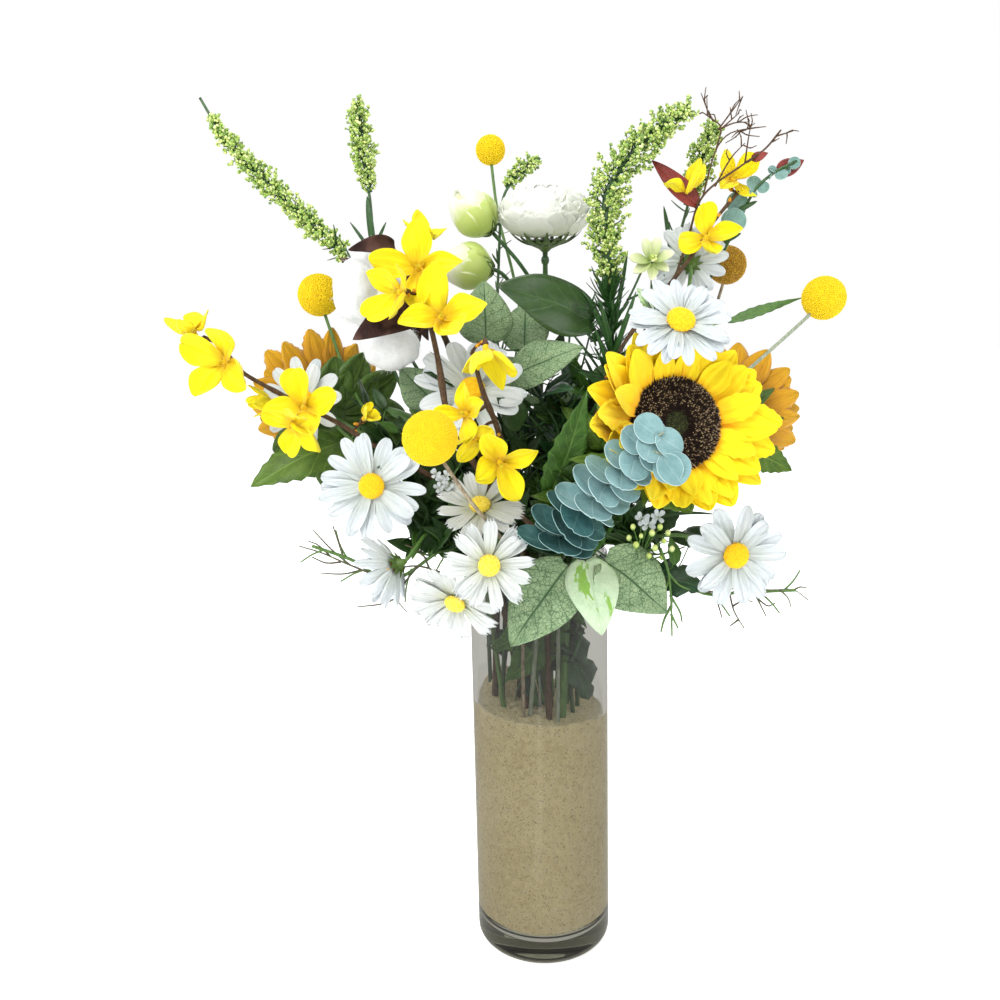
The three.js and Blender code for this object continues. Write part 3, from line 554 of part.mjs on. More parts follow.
function along(c, n, d) {
  return v3(c).addScaledVector(v3(n).normalize(), d).toArray();
}
// The cotton boll: fluffy lobes held by the dry husk.
for (const [c, r] of COTTON_LOBES)
  node("cotton_lint", 0xf1f3f1, 0.95).firm.push((g) =>
    solid(new THREE.SphereGeometry(1, 8, 5).scale(r[0] + g, r[1] + g, r[2] + g).translate(...c)),
  );

// ------------------------------------------------------------ vase and sand
const innerR = VASE_R - VASE_WALL;
// The vase, with a clearance g added all round.
function vaseSolid(g) {
  const R = VASE_R + g;
  const iR = innerR - g;
  const pts = [[0, 0], [R - VASE_FOOT_R, 0]];
  for (const a of [30, 60, 90]) {
    const t = (a * Math.PI) / 180;
    pts.push([R - VASE_FOOT_R + VASE_FOOT_R * Math.sin(t), VASE_FOOT_R * (1 - Math.cos(t))]);
  }
  pts.push([R, VASE_H - 1.2 + g], [VASE_R - 1.6, VASE_H + g], [iR, VASE_H - 1.2 + g]);
  for (const a of [90, 45, 0]) {
    const t = (a * Math.PI) / 180;
    pts.push([iR - VASE_WELL_R + VASE_WELL_R * Math.sin(t), VASE_BASE + g + VASE_WELL_R * (1 - Math.cos(t))]);
  }
  pts.push([0, VASE_BASE + g]);
  const lathe = new THREE.LatheGeometry(pts.map(([r, h]) => new THREE.Vector2(r, h)), 32);
  return solid(lathe.rotateX(Math.PI / 2));
}
// Level of the sand at (x, y): lower to the right, heaped up at the back left.
function sandLevel(x, y) {
  return SAND_TOP - 0.09 * x + 17 * Math.exp(-((x + 24) ** 2 + (y - 20) ** 2) / 420);
}
function sandSolid() {
  const R = innerR - GAP;
  const w = VASE_WELL_R - GAP;
  const b = VASE_BASE + GAP;
  const pts = [[0, b]];
  for (const a of [0, 45, 90]) {
    const t = (a * Math.PI) / 180;
    pts.push([R - w + w * Math.sin(t), b + w * (1 - Math.cos(t))]);
  }
  pts.push([R, SAND_TOP], [R * 0.55, SAND_TOP], [0, SAND_TOP]);
  const g = new THREE.LatheGeometry(pts.map(([r, h]) => new THREE.Vector2(r, h)), 18).rotateX(Math.PI / 2);
  mapped(g, (v) => {
    if (v.z > SAND_TOP - 1) v.z = sandLevel(v.x, v.y);
    return v;
  });
  return solid(g);
}

// ------------------------------------------------------------------ assembly
const glass = vaseSolid(0);
const glassG = vaseSolid(GAP);
const list = [...nodes.values()];
for (const q of list) {
  q.firm0 = q.firm.length ? union(q.firm.map((f) => f(0))) : null;
  q.firmG = q.firm.length ? union(q.firm.map((f) => f(GAP))) : null;
  q.soft0 = q.soft.length ? union(q.soft.map((f) => f(0))) : null;
  q.softG = q.soft.length ? union(q.soft.map((f) => f(GAP))) : null;
}
// Firm pieces give way to the firm pieces before them, soft ones to all firm ones.
list.forEach((q, i) => {
  if (!q.firm0) return;
  for (const p of list.slice(0, i))
    if (p.firmG && boxesMeet(p.firmG, q.firm0)) q.firm0 = q.firm0.subtract(p.firmG);
});
list.forEach((q, i) => {
  let s = q.soft0;
  if (s) {
    for (const p of list) if (p !== q && p.firmG && boxesMeet(p.firmG, s)) s = s.subtract(p.firmG);
    for (const p of list.slice(0, i)) if (p.softG && boxesMeet(p.softG, s)) s = s.subtract(p.softG);
    if (boxesMeet(glassG, s)) s = s.subtract(glassG);
  }
  q.body = largest(q.firm0 && s ? q.firm0.add(s) : (q.firm0 ?? s));
});
// Where two bodies still touch, the later one gives way.
list.forEach((q, i) => {
  for (const p of list.slice(0, i)) {
    if (!boxesMeet(p.body, q.body) || p.body.intersect(q.body).volume() < 0.001) continue;
    for (const d of [[GAP, 0, 0], [-GAP, 0, 0], [0, GAP, 0], [0, -GAP, 0], [0, 0, GAP], [0, 0, -GAP]])
      q.body = q.body.subtract(p.body.translate(d));
    q.body = largest(q.body);
  }
});
let sand = sandSolid();
for (const q of list) {
  if (q.firmG && boxesMeet(q.firmG, sand)) sand = sand.subtract(q.firmG);
  if (q.softG && boxesMeet(q.softG, sand)) sand = sand.subtract(q.softG);
}
sand = largest(sand);

const group = new THREE.Group();
group.name = "arrangement";
function addMesh(name, s, color, roughness, extra = {}) {
  const mesh = new THREE.Mesh(
    toGeometry(s),
    new THREE.MeshStandardMaterial({ color, roughness, metalness: 0, ...extra }),
  );
  mesh.name = name;
  group.add(mesh);
}
addMesh("glass_vase", glass, 0xdfe8e6, 0.05, { transparent: true, opacity: 0.35 });
addMesh("sand_fill", sand, 0xb09a72, 0.95);
for (const q of list) addMesh(q.name, q.body, q.color, q.roughness);

export default group;
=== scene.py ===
# A mixed arrangement of sunflowers and other flowers in a glass cylinder vase
# filled with sand. The tables give places in millimetres; every mesh is made in metres.
import bpy, math, random
import numpy as np
from mathutils import Matrix, Vector


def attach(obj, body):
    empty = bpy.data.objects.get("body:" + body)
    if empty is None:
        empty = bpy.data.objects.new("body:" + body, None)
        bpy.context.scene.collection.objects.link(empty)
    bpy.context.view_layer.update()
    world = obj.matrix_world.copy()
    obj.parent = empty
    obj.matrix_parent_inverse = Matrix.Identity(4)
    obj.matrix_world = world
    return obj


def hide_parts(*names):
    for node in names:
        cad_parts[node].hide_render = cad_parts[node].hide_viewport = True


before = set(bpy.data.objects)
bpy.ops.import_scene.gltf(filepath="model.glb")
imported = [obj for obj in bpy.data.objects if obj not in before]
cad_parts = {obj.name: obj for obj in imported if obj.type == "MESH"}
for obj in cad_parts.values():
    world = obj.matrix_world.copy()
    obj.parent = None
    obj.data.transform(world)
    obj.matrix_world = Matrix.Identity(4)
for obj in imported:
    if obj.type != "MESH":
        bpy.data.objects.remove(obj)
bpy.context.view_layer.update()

# ------------------------------------------------------------------ tables
# main stems: node, radius at the foot and at the end, points
STEMS = [
    ["sunflower_front_stem", 3.2, 2.6, [[11.7, 36.7, 105], [21.5, 18.3, 296], [22.9, 16, 312], [26.7, 10.5, 332.6], [30.1, 5.6, 344.2], [36.3, -3.1, 358.7], [40.9, -9.7, 366.6], [48.1, -20.2, 376.2], [57.6, -34.8, 385.3], [67.9, -52, 392.1], [74.1, -66.1, 395.8], [77.1, -79.8, 399]]],
    ["sunflower_left_stem", 3.2, 2.6, [[13.2, -11.2, 105], [-24.8, -6.5, 296], [-26, -6.3, 300.6], [-30.1, -5.9, 310], [-39.9, -4.7, 324.1], [-57.9, -2.5, 342.4], [-79.1, 0.5, 359.6], [-106.2, 5.2, 378], [-125, 9.7, 389.4], [-138.4, 14.5, 396.9], [-143.4, 18.5, 399.5], [-149.2, 28.6, 402.4]]],
    ["sunflower_right_stem", 3.2, 2.6, [[9.4, -34.5, 105], [20.7, -20.9, 296], [22.3, -20.6, 308.9], [23.8, -20.9, 314.9], [27.8, -22.4, 326.1], [33.1, -24.6, 336.1], [39.5, -27.3, 345], [46.9, -30.3, 353], [55, -33.1, 360], [63.6, -35.5, 366.2], [72.5, -37.3, 371.6], [81.6, -38.1, 376.3], [90.7, -37.7, 380.3], [103.7, -34, 385.3], [111.8, -29.2, 387.9], [115.5, -26, 389.1], [122.4, -17.6, 391.2], [131.1, -2, 393.8]]],
    ["daisy_spray_left_stem", 1.9, 1.5, [[-19.7, -21.6, 120], [-38.8, -13.2, 296], [-40.2, -13.5, 306.6], [-41.3, -15, 311.4], [-43.2, -17.9, 314.1], [-48.4, -23.9, 315.5], [-53.8, -27.9, 317.5], [-74, -37, 331]]],
    ["daisy_spray_centre_stem", 1.9, 1.5, [[11, 15.4, 120], [6.1, -10.3, 296], [4.4, -11.4, 298.4], [0.2, -14.1, 301.7], [-16.9, -25.8, 313], [-24, -38, 322]]],
    ["daisy_spray_right_stem", 1.8, 1.5, [[12.6, 26.3, 120], [40.7, 7.1, 296], [41.7, 5.5, 302.5], [42.5, 1.6, 308.8], [43.2, -5.3, 313.4], [44, -16, 315.7], [46.4, -25.4, 315.9], [48, -27, 316], [72, -38, 320]]],
    ["daisy_spray_upper_stem", 1.9, 1.5, [[-9.1, 25, 120], [0.6, 3.9, 296], [2.3, 2.7, 306], [6, 1.9, 314.1], [13.3, 1.2, 322.6], [22.3, 0.9, 329.4], [39.1, 1.6, 340.7], [49.5, 2.7, 350.9], [55.3, 4, 361.9], [67.5, 8, 397.9]]],
    ["daisy_8_stem", 1.6, 1.4, [[7.6, 3.2, 125], [-3.3, -4.6, 303.5], [-5, -5.1, 317.6], [-8.9, -5.7, 336.5], [-13.8, -6.3, 353], [-21.3, -7.4, 371.5], [-29.2, -9.1, 386.3], [-37.8, -12.7, 400.3], [-41.6, -16, 406.7], [-43.9, -20.3, 411.6], [-44.3, -34.1, 420.6]]],
    ["craspedia_1", 1.4, 1.2, [[-8.3, 31.1, 125], [-31.8, 22.5, 296], [-32.9, 22.2, 302.4], [-36.3, 21.9, 313.7], [-44.2, 21.8, 327.9], [-54.6, 22.2, 339.7], [-67, 23.2, 350.2], [-99.8, 27.5, 375.8], [-114, 30.1, 389.9], [-123, 32.1, 401.2], [-131.4, 34.2, 414.5], [-139, 36.5, 429.9], [-145.7, 39, 447.9], [-157.7, 44, 485.9]]],
    ["craspedia_2", 1.4, 1.2, [[2.4, 17.9, 125], [-3.5, 17.4, 312.4], [-4.7, 20.4, 355.3], [-5.5, 26.5, 390.1], [-6, 35, 418], [-6.2, 41.6, 433.4], [-6.5, 48.8, 446.6], [-7.3, 64, 468.1], [-9.7, 85.4, 493.5], [-11.1, 91.3, 501.7], [-12.8, 96.2, 510.3], [-14.8, 100, 519.7], [-23.6, 112, 558], [-28.6, 120, 604]]],
    ["craspedia_3", 1.4, 1.2, [[7.1, -22, 125], [31.5, 26.4, 309.2], [36.5, 32.5, 333], [42.8, 37.5, 353.4], [54.1, 43.4, 378.7], [62.6, 46.3, 392.5], [71.5, 48.5, 404], [80.7, 50.2, 413.8], [89.9, 51.4, 422], [122.7, 53.8, 446.4], [128.8, 54.4, 451.9], [133.5, 55, 457.9], [136.8, 56, 464.6], [149.8, 62, 502.6]]],
    ["craspedia_4", 1.4, 1.2, [[9.8, -39.8, 125], [12.5, -34.8, 296], [12.9, -34.7, 299], [16.1, -34.4, 306.3], [21.9, -34.1, 315.1], [30, -33.6, 325.3], [51.3, -32.4, 348.3], [83.2, -30.5, 379], [120.9, -27.9, 412.5], [149.9, -24.5, 436.9], [188.5, -12, 467.7], [196.1, -10.8, 475.8]]],
    ["craspedia_5", 1.4, 1.2, [[-13.8, -30.5, 125], [-12.6, -40.1, 296], [-12.5, -41.3, 306.8], [-12.6, -43.3, 313.9], [-12.9, -46.2, 318], [-13.5, -49.8, 319.9], [-17.8, -65.9, 320.1], [-20.9, -73.7, 322.1], [-23.9, -79.9, 326.1], [-31, -93, 339], [-43.2, -104, 356], [-58.9, -119, 383.2], [-64, -122.2, 393.7]]],
    ["forsythia_left", 2.4, 1.4, [[3.1, -2.1, 115], [-32.1, -16.2, 298.7], [-34.7, -17.5, 307.3], [-39.9, -20, 319.1], [-52.3, -25.8, 339.5], [-66.6, -31.2, 357.1], [-74.5, -33.2, 364.7], [-80.1, -33.9, 368.9], [-118.8, -34, 391.6], [-135.3, -34, 402.9], [-163.6, -26, 416.7], [-188.9, -26, 430.9], [-202.8, -28, 440.8], [-215.3, -28, 457.9], [-226.4, -28, 463.6]]],
    ["forsythia_upper", 2.6, 1.6, [[-15.7, -14.1, 115], [-6.3, -24.9, 297.6], [-8.6, -26.6, 305.2], [-15.3, -31, 320.3], [-50.8, -52.2, 388.6], [-58.1, -55.8, 403.5], [-61, -56.6, 410.8], [-65.9, -50, 444.9], [-71.9, -45, 474.3], [-77.3, -34, 494.5], [-78.8, -26, 510.1]]],
    ["forsythia_centre", 2.3, 1.5, [[4.4, -40.8, 115], [4.9, -28.9, 296], [4.5, -29.3, 308.1], [3.6, -30.9, 314.1], [1.7, -34.8, 321], [-0.9, -40.2, 326], [-11.2, -59.7, 339], [-14.9, -65.6, 345.8], [-18.5, -70.4, 355.3], [-21.8, -73.4, 368.6], [-27.4, -76, 400.2], [-35.8, -76, 422.6], [-42.8, -74, 449.8]]],
    ["forsythia_right", 2, 1.2, [[18.7, 32.7, 115], [37.9, 14.8, 318], [39.8, 9.9, 354], [41.7, 2.4, 393.2], [43.7, -0.7, 408.8], [47.5, -3.1, 423.2], [53.8, -4.2, 437.7], [59.7, -4.3, 447.9], [67.3, -3.5, 459], [76.7, -2, 471.4], [111, 6, 511.6], [127.5, 12, 535.2], [147.6, 20, 557.9]]],
    ["cotton_stem_husk", 2.4, 2.2, [[-37.4, -16.9, 110], [-30, 8.7, 296], [-30.5, 10.3, 309], [-32.6, 12.1, 327.1], [-37.6, 14.6, 356.7], [-44.3, 16.8, 389.2], [-52.1, 18.2, 421], [-60.4, 18.5, 448.5], [-66.5, 17.7, 464.2], [-72.2, 15.7, 474], [-75.7, 13.7, 476.5], [-85.4, 6.9, 478.6]]],
    ["ranunculus_stem", 2.2, 2, [[22.3, 8.1, 115], [9.1, 16.3, 312.7], [6.8, 20.8, 355], [5.6, 27.3, 387.1], [5.4, 35.2, 411.1], [5.9, 43.7, 429], [8.7, 61.5, 458.8], [10.1, 66.4, 471.4], [10.8, 68.3, 481.3], [11.4, 68.7, 493], [11.7, 67.5, 507.3], [11.7, 64.2, 527.4]]],
    ["berry_spike_left", 1.7, 1, [[-36.8, 9.5, 120], [-40.2, 14, 309.8], [-42.6, 13.6, 329.4], [-45.9, 13.2, 345.2], [-50.6, 12.9, 362.1], [-57.1, 13, 380.4], [-68.9, 14.3, 407.2], [-84.9, 17.2, 437], [-105.4, 22.4, 470.3], [-137, 32, 516.4], [-143.9, 33, 528.7], [-168.9, 36, 550.9], [-197.3, 40, 580.2], [-217.4, 44, 602.4], [-231.8, 48, 622.4], [-240.1, 50, 636.9]]],
    ["berry_spike_small", 1.7, 1, [[10.3, -2.8, 120], [-10.8, -8.9, 299.6], [-13.9, -7.8, 307.2], [-22.5, -4.2, 319.9], [-64.1, 16.7, 368.8], [-84.4, 27.9, 396.6], [-97.9, 36.1, 420.3], [-108.8, 43.3, 446.7], [-113.9, 47.4, 465.9], [-115.7, 49.2, 475.9], [-117.6, 52, 497.1], [-118.8, 56, 534.3], [-120, 58, 563.7], [-124.6, 60, 600.1], [-125.9, 60, 637]]],
    ["berry_spike_tall", 2, 1.2, [[-2.3, 6.5, 115], [11.4, 5.9, 296], [16.4, 5.7, 337.7], [21.3, 5.5, 360.6], [26.9, 5.2, 377.8], [32.9, 5, 390.6], [46, 4.4, 411.6], [50.5, 4.2, 420], [53.7, 4.1, 430.1], [55, 4, 438.5], [55.5, 4, 494], [50.8, 5, 531.9], [53.1, 6, 559], [72.2, 8, 585.7], [93.3, 10, 605.5], [110.6, 10, 613.1]]],
    ["berry_spike_right", 1.6, 1, [[27.3, -21.7, 120], [15.2, -9.3, 310.4], [15.2, -6.9, 335.5], [15.8, -5.5, 346.4], [18.3, -2.4, 365.2], [20, -0.7, 373.3], [24.5, 2.9, 387.1], [33.2, 8.5, 403.1], [43.7, 14.3, 415.4], [63.2, 23.6, 433.1], [71.1, 26.9, 440.9], [82.4, 31.3, 455.3], [89.2, 33.6, 467.6], [95.3, 35.3, 482.7], [116, 40, 552.5], [120.9, 40, 570], [128, 40, 590.9], [135, 40, 608]]],
    ["berry_spike_back", 1.6, 1, [[-31.4, -24.2, 120], [-22.9, 15.3, 314.9], [-21.6, 27.2, 360.5], [-21.4, 35, 383.2], [-21.9, 46.3, 407.8], [-22.9, 57, 424.2], [-25.6, 75.1, 445.6], [-26.2, 80, 453], [-26.5, 85.9, 467.7], [-26.2, 88.8, 481.3], [-24.5, 91.5, 510.1], [-20.4, 92, 562.9], [-13.8, 92, 577.9], [10.2, 94, 598]]],
    ["eucalyptus_front", 1.8, 1.2, [[-14.6, -25.1, 120], [0.8, -39, 297], [0.9, -38.4, 304.1], [0, -35.8, 312.8], [3, -56, 320], [9.3, -108, 331.1], [25.7, -131, 354.9], [30.1, -134.5, 360.2], [39.2, -137, 371.1], [53.8, -140, 386.3], [73.9, -142, 401.6]]],
    ["eucalyptus_back", 1.7, 1, [[-38, -1.7, 120], [-16.3, 19.6, 296], [-13.7, 20.9, 306.4], [-8.6, 22.3, 317.9], [-1.2, 23.7, 330.4], [7.9, 25.3, 343.6], [30.1, 28.3, 371], [54.8, 31, 398.6], [84.6, 33.6, 430.3], [110.9, 34.6, 459.7], [117.2, 34, 469.1], [136, 28, 510.2], [148.6, 25, 535.7], [159.7, 20, 559], [173, 18, 570.6], [187.8, 16, 577.4]]],
    ["twig_branch", 2, 1.1, [[-20, -7, 120], [-10.6, 2.5, 296], [-8.7, 3.3, 309.1], [-1.8, 5.2, 330.3], [9, 7.5, 352.7], [27.4, 10.9, 383.2], [47.9, 14.5, 412.8], [81, 19.2, 457], [95.7, 20.3, 478.3], [98.2, 20, 483.5], [111, 14, 526.2], [120, 8, 553.9], [148.5, 6, 575], [162.2, 6, 584.1], [173, 6, 596.4]]],
    ["leaf_spray_front", 1.8, 1.4, [[29.1, 8.5, 125], [24.4, -30.6, 296], [21.6, -30.8, 305.3], [21.8, -32.5, 307.7], [27, -47, 318], [30, -60, 322]]],
    ["leaf_spray_upper", 1.8, 1.4, [[-18, 10.2, 125], [-5.3, 8.5, 303.1], [-2.9, 7.8, 314.4], [0.3, 6.7, 322.7], [3.9, 5.4, 328.5], [12, 2.5, 336.8], [13.8, 2, 340.2], [16.1, 4, 392.1], [-3.7, 4, 425], [-10.3, 8, 450]]],
    ["fern_left", 1.5, 1.1, [[17.6, -4.4, 130], [-23.5, -21.5, 296], [-26, -21.2, 307.3], [-27.9, -21.1, 311.2], [-30.3, -21.9, 313], [-33.1, -23.5, 313.9], [-62, -42, 318], [-102.3, -50, 296.6], [-128.1, -56, 312.6], [-153.7, -60, 323.7]]],
    ["fern_right", 1.5, 1.1, [[11.8, 4.3, 130], [35.8, -18.3, 297.3], [35.3, -18.9, 303.8], [31.9, -19.3, 311.4], [31.5, -20.2, 313.4], [34, -22, 314], [66, -40, 313], [109, -50, 283.3], [138.9, -54, 283.7], [171.8, -60, 285.9]]],
    ["daisy_spray_left_stem", 1.3, 1.3, [[-74, -37, 331], [-86.3, -36, 342], [-96.8, -37.5, 350.6], [-107.7, -42.2, 358.5], [-111.2, -45.3, 361], [-112.5, -48, 362]]],
    ["daisy_spray_left_stem", 1.3, 1.3, [[-74, -37, 331], [-79.3, -55.4, 327.3], [-84.1, -70.7, 322.2], [-88, -78.9, 318.1], [-91.3, -80.4, 315.8]]],
    ["daisy_spray_left_stem", 1.3, 1.3, [[-74, -37, 331], [-82.8, -34.2, 341.5], [-94.5, -27.3, 353.4], [-131.6, -1.1, 386.7], [-148.5, 9.2, 400.9], [-155.3, 12, 406.5], [-160.6, 12.7, 410.9], [-164, 10.7, 413.9], [-164.9, 8.6, 414.8]]],
    ["daisy_spray_centre_stem", 1.3, 1.3, [[-24, -38, 322], [-23.7, -47.9, 325.3], [-25.2, -58.4, 326.4], [-28.1, -67, 324.8], [-34.6, -84.9, 318.6], [-35.3, -98.1, 318]]],
    ["daisy_spray_centre_stem", 1.3, 1.3, [[-24, -38, 322], [-29.4, -45.3, 324.1], [-33.9, -52.3, 328.6], [-38.4, -60.8, 336.6], [-40.3, -67.5, 344.4]]],
    ["daisy_spray_centre_stem", 1.3, 1.3, [[-24, -38, 322], [-36.5, -45.1, 317.3], [-43.2, -49.9, 312.3], [-48.7, -58.2, 304.6], [-55.3, -74.4, 292.8]]],
    ["daisy_spray_right_stem", 1.3, 1.3, [[72, -38, 320], [91.6, -43, 322.1], [106.7, -47.9, 320.7], [120.7, -54.8, 316.2], [125, -58.9, 314], [126.7, -63, 313.2]]],
    ["daisy_spray_upper_stem", 1.3, 1.3, [[67.5, 8, 397.9], [63.2, 7, 404.4], [62.1, 3.7, 408.1], [62, -1.5, 411.5], [63.6, -12.4, 416.6], [72.1, -49.2, 431.1], [76.2, -68.3, 440], [79.8, -88.6, 451.4], [81.6, -102.4, 460.8]]],
    ["daisy_spray_upper_stem", 1.3, 1.3, [[67.5, 8, 397.9], [85, 14.3, 427.2], [100.4, 17.1, 457.2], [110.1, 15.3, 482.4], [112.8, 11.2, 501], [112.7, 11.7, 504.9], [113, 15.1, 507.5]]],
    ["ranunculus_stem", 1.5, 1.5, [[11.1, 68.7, 486.9], [3.5, 60.6, 498], [-4.6, 55.2, 509.3], [-11.8, 53.3, 518.8], [-28.9, 52.3, 538.1]]],
    ["ranunculus_stem", 1.5, 1.5, [[8.7, 61.5, 458.8], [1, 61.9, 468.2], [-5, 58.8, 478.5], [-11.2, 52.2, 491.1], [-17.4, 44.8, 501.7], [-23.5, 40.2, 507.4], [-29.1, 38.4, 509.5]]],
]
# side branches, in the same form
STALKS = [
    ["twig_branch", 0.8, 0.55, [[169.4, 6, 592.3], [180.1, 2, 594.7]]],
    ["twig_branch", 0.8, 0.55, [[148.5, 6, 575], [149.2, 2, 588.8], [150, -2, 599]]],
    ["twig_branch", 0.8, 0.55, [[128.1, 7.4, 559.9], [137.7, 2, 577.8], [145.6, -4, 586.3]]],
    ["twig_branch", 0.8, 0.55, [[120, 8, 553.9], [127.7, 4, 583.7], [136, 2, 593.7], [149.9, 0, 596.5], [159.7, -4, 596.7]]],
    ["twig_branch", 0.8, 0.55, [[127.7, 4, 583.7], [131.4, 6, 599.2], [126.2, 14, 607.1], [120.2, 20, 625.2]]],
    ["twig_branch", 0.8, 0.55, [[132.1, 6, 598.5], [139.3, 2, 600.8], [147.4, -4, 599.9]]],
    ["twig_branch", 0.8, 0.55, [[130.7, 6, 597.3], [145.2, 12, 609.5]]],
    ["twig_branch", 0.8, 0.55, [[129.3, 6, 597.3], [149.3, 18, 622.1]]],
    ["twig_branch", 0.8, 0.55, [[126.2, 14, 607.1], [120.7, 18, 612.1]]],
    ["fern_left", 0.75, 0.5, [[-59.9, -40.7, 317.7], [-68.4, -46.2, 308], [-74.8, -51.3, 296.6]]],
    ["fern_left", 0.75, 0.5, [[-74.4, -44.5, 311.4], [-86.3, -43.1, 314.5], [-97.5, -41.5, 319.8]]],
    ["fern_left", 0.75, 0.5, [[-88.9, -47.3, 303.7], [-92.3, -51.3, 293], [-93.5, -55, 281.7]]],
    ["fern_left", 0.75, 0.5, [[-103.3, -50.2, 297.2], [-106.6, -51.8, 308.8], [-107.5, -52.5, 320.9]]],
    ["fern_left", 0.75, 0.5, [[-117.2, -53.5, 305.8], [-126.4, -58.6, 303.8], [-135.3, -63.1, 299.6]]],
    ["fern_left", 0.75, 0.5, [[-131.3, -56.5, 314], [-135.6, -56.8, 323.4], [-137.9, -56.6, 333.5]]],
    ["fern_left", 0.75, 0.5, [[-146.5, -58.9, 320.6], [-154.5, -60.4, 317.6], [-161.7, -62.1, 313.1]]],
    ["fern_right", 0.75, 0.5, [[73.2, -41.7, 308], [86.4, -44.1, 309.8], [99.1, -45.4, 314.3]]],
    ["fern_right", 0.75, 0.5, [[86.7, -44.8, 298.7], [89.1, -50.9, 286.6], [88.7, -56.4, 273.9]]],
    ["fern_right", 0.75, 0.5, [[100.1, -47.9, 289.4], [112.6, -48, 291.1], [124.4, -47.5, 295.2]]],
    ["fern_right", 0.75, 0.5, [[114.6, -50.8, 283.4], [121.8, -55.6, 276.7], [127.4, -60, 268.5]]],
    ["fern_right", 0.75, 0.5, [[131.2, -53, 283.6], [138.6, -52.6, 290.5], [144.6, -51.8, 298.8]]],
    ["fern_right", 0.75, 0.5, [[147.6, -55.6, 284.3], [154.4, -60, 278.5], [159.9, -64, 271.3]]],
    ["fern_right", 0.75, 0.5, [[164, -58.6, 285.4], [170.1, -58.5, 291.8], [174.9, -58, 299.2]]],
    ["berry_spike_tall", 0.9, 0.8, [[55.2, 4, 464.4], [69.4, 12, 486.5], [80.6, 18.2, 508.4]]],
    ["berry_spike_tall", 0.9, 0.8, [[67.1, 11, 483.7], [76.3, 6.6, 487.7]]],
    ["forsythia_left", 1.1, 1, [[-226.4, -28, 463.6], [-227.9, -28.1, 461.4], [-230.7, -30.4, 464.1]]],
    ["forsythia_left", 1.1, 1, [[-205.9, -28, 445.1], [-206.2, -27.7, 445.2], [-208.7, -32.4, 446]]],
    ["forsythia_left", 1.1, 1, [[-154.2, -28.7, 412.1], [-155.5, -30, 411.6], [-157.5, -36.3, 413.2]]],
    ["forsythia_left", 1.1, 1, [[-154.2, -28.7, 412.1], [-157.8, -35.5, 410.8], [-162.5, -46.8, 406.4]]],
    ["forsythia_left", 1.1, 1, [[-173.7, -26, 422.4], [-174.2, -22.8, 419.9], [-179.9, -21, 417.9]]],
    ["forsythia_left", 1.1, 1, [[-127, -34, 397.2], [-124.8, -30.8, 399.9], [-119.6, -31.3, 405.3]]],
    ["forsythia_upper", 1.1, 1, [[-77.8, -31.3, 499.7], [-76.8, -31, 501.5], [-76.6, -36.1, 504.3]]],
    ["forsythia_upper", 1.1, 1, [[-74.6, -39.5, 484.4], [-78, -45.6, 487.1], [-85.5, -55.3, 489.2]]],
    ["forsythia_upper", 1.1, 1, [[-69.9, -46.7, 464.5], [-66.7, -50.2, 465.9], [-62.9, -58.5, 469.8]]],
    ["forsythia_upper", 1.1, 1, [[-78.8, -26, 510.1], [-77.2, -22.5, 513.7], [-75, -20.7, 522.4]]],
    ["forsythia_centre", 1.1, 1, [[-42.8, -74, 449.8], [-38.6, -75.8, 454.5], [-34, -80.1, 454.4]]],
    ["forsythia_centre", 1.1, 1, [[-33.7, -76, 417], [-38, -79.9, 413.7], [-45.1, -88.6, 411.3]]],
    ["forsythia_centre", 1.1, 1, [[-29.5, -76, 405.8], [-34.1, -79.5, 404.4], [-39.5, -87.1, 399.4]]],
    ["forsythia_centre", 1.1, 1, [[-24.6, -74.7, 384.5], [-26.4, -81.9, 384.5], [-27.3, -94.2, 383.2]]],
    ["forsythia_right", 1.1, 1, [[130.9, 13.3, 539], [120.7, 15.7, 544], [109.9, 16.3, 554.1]]],
    ["forsythia_right", 1.1, 1, [[147.6, 20, 557.9], [145.6, 26.6, 560], [144.5, 28.4, 565]]],
    ["forsythia_right", 1.1, 1, [[120.9, 9.6, 525.8], [120.9, 13.1, 523.7], [121.9, 11.7, 523.8]]],
]
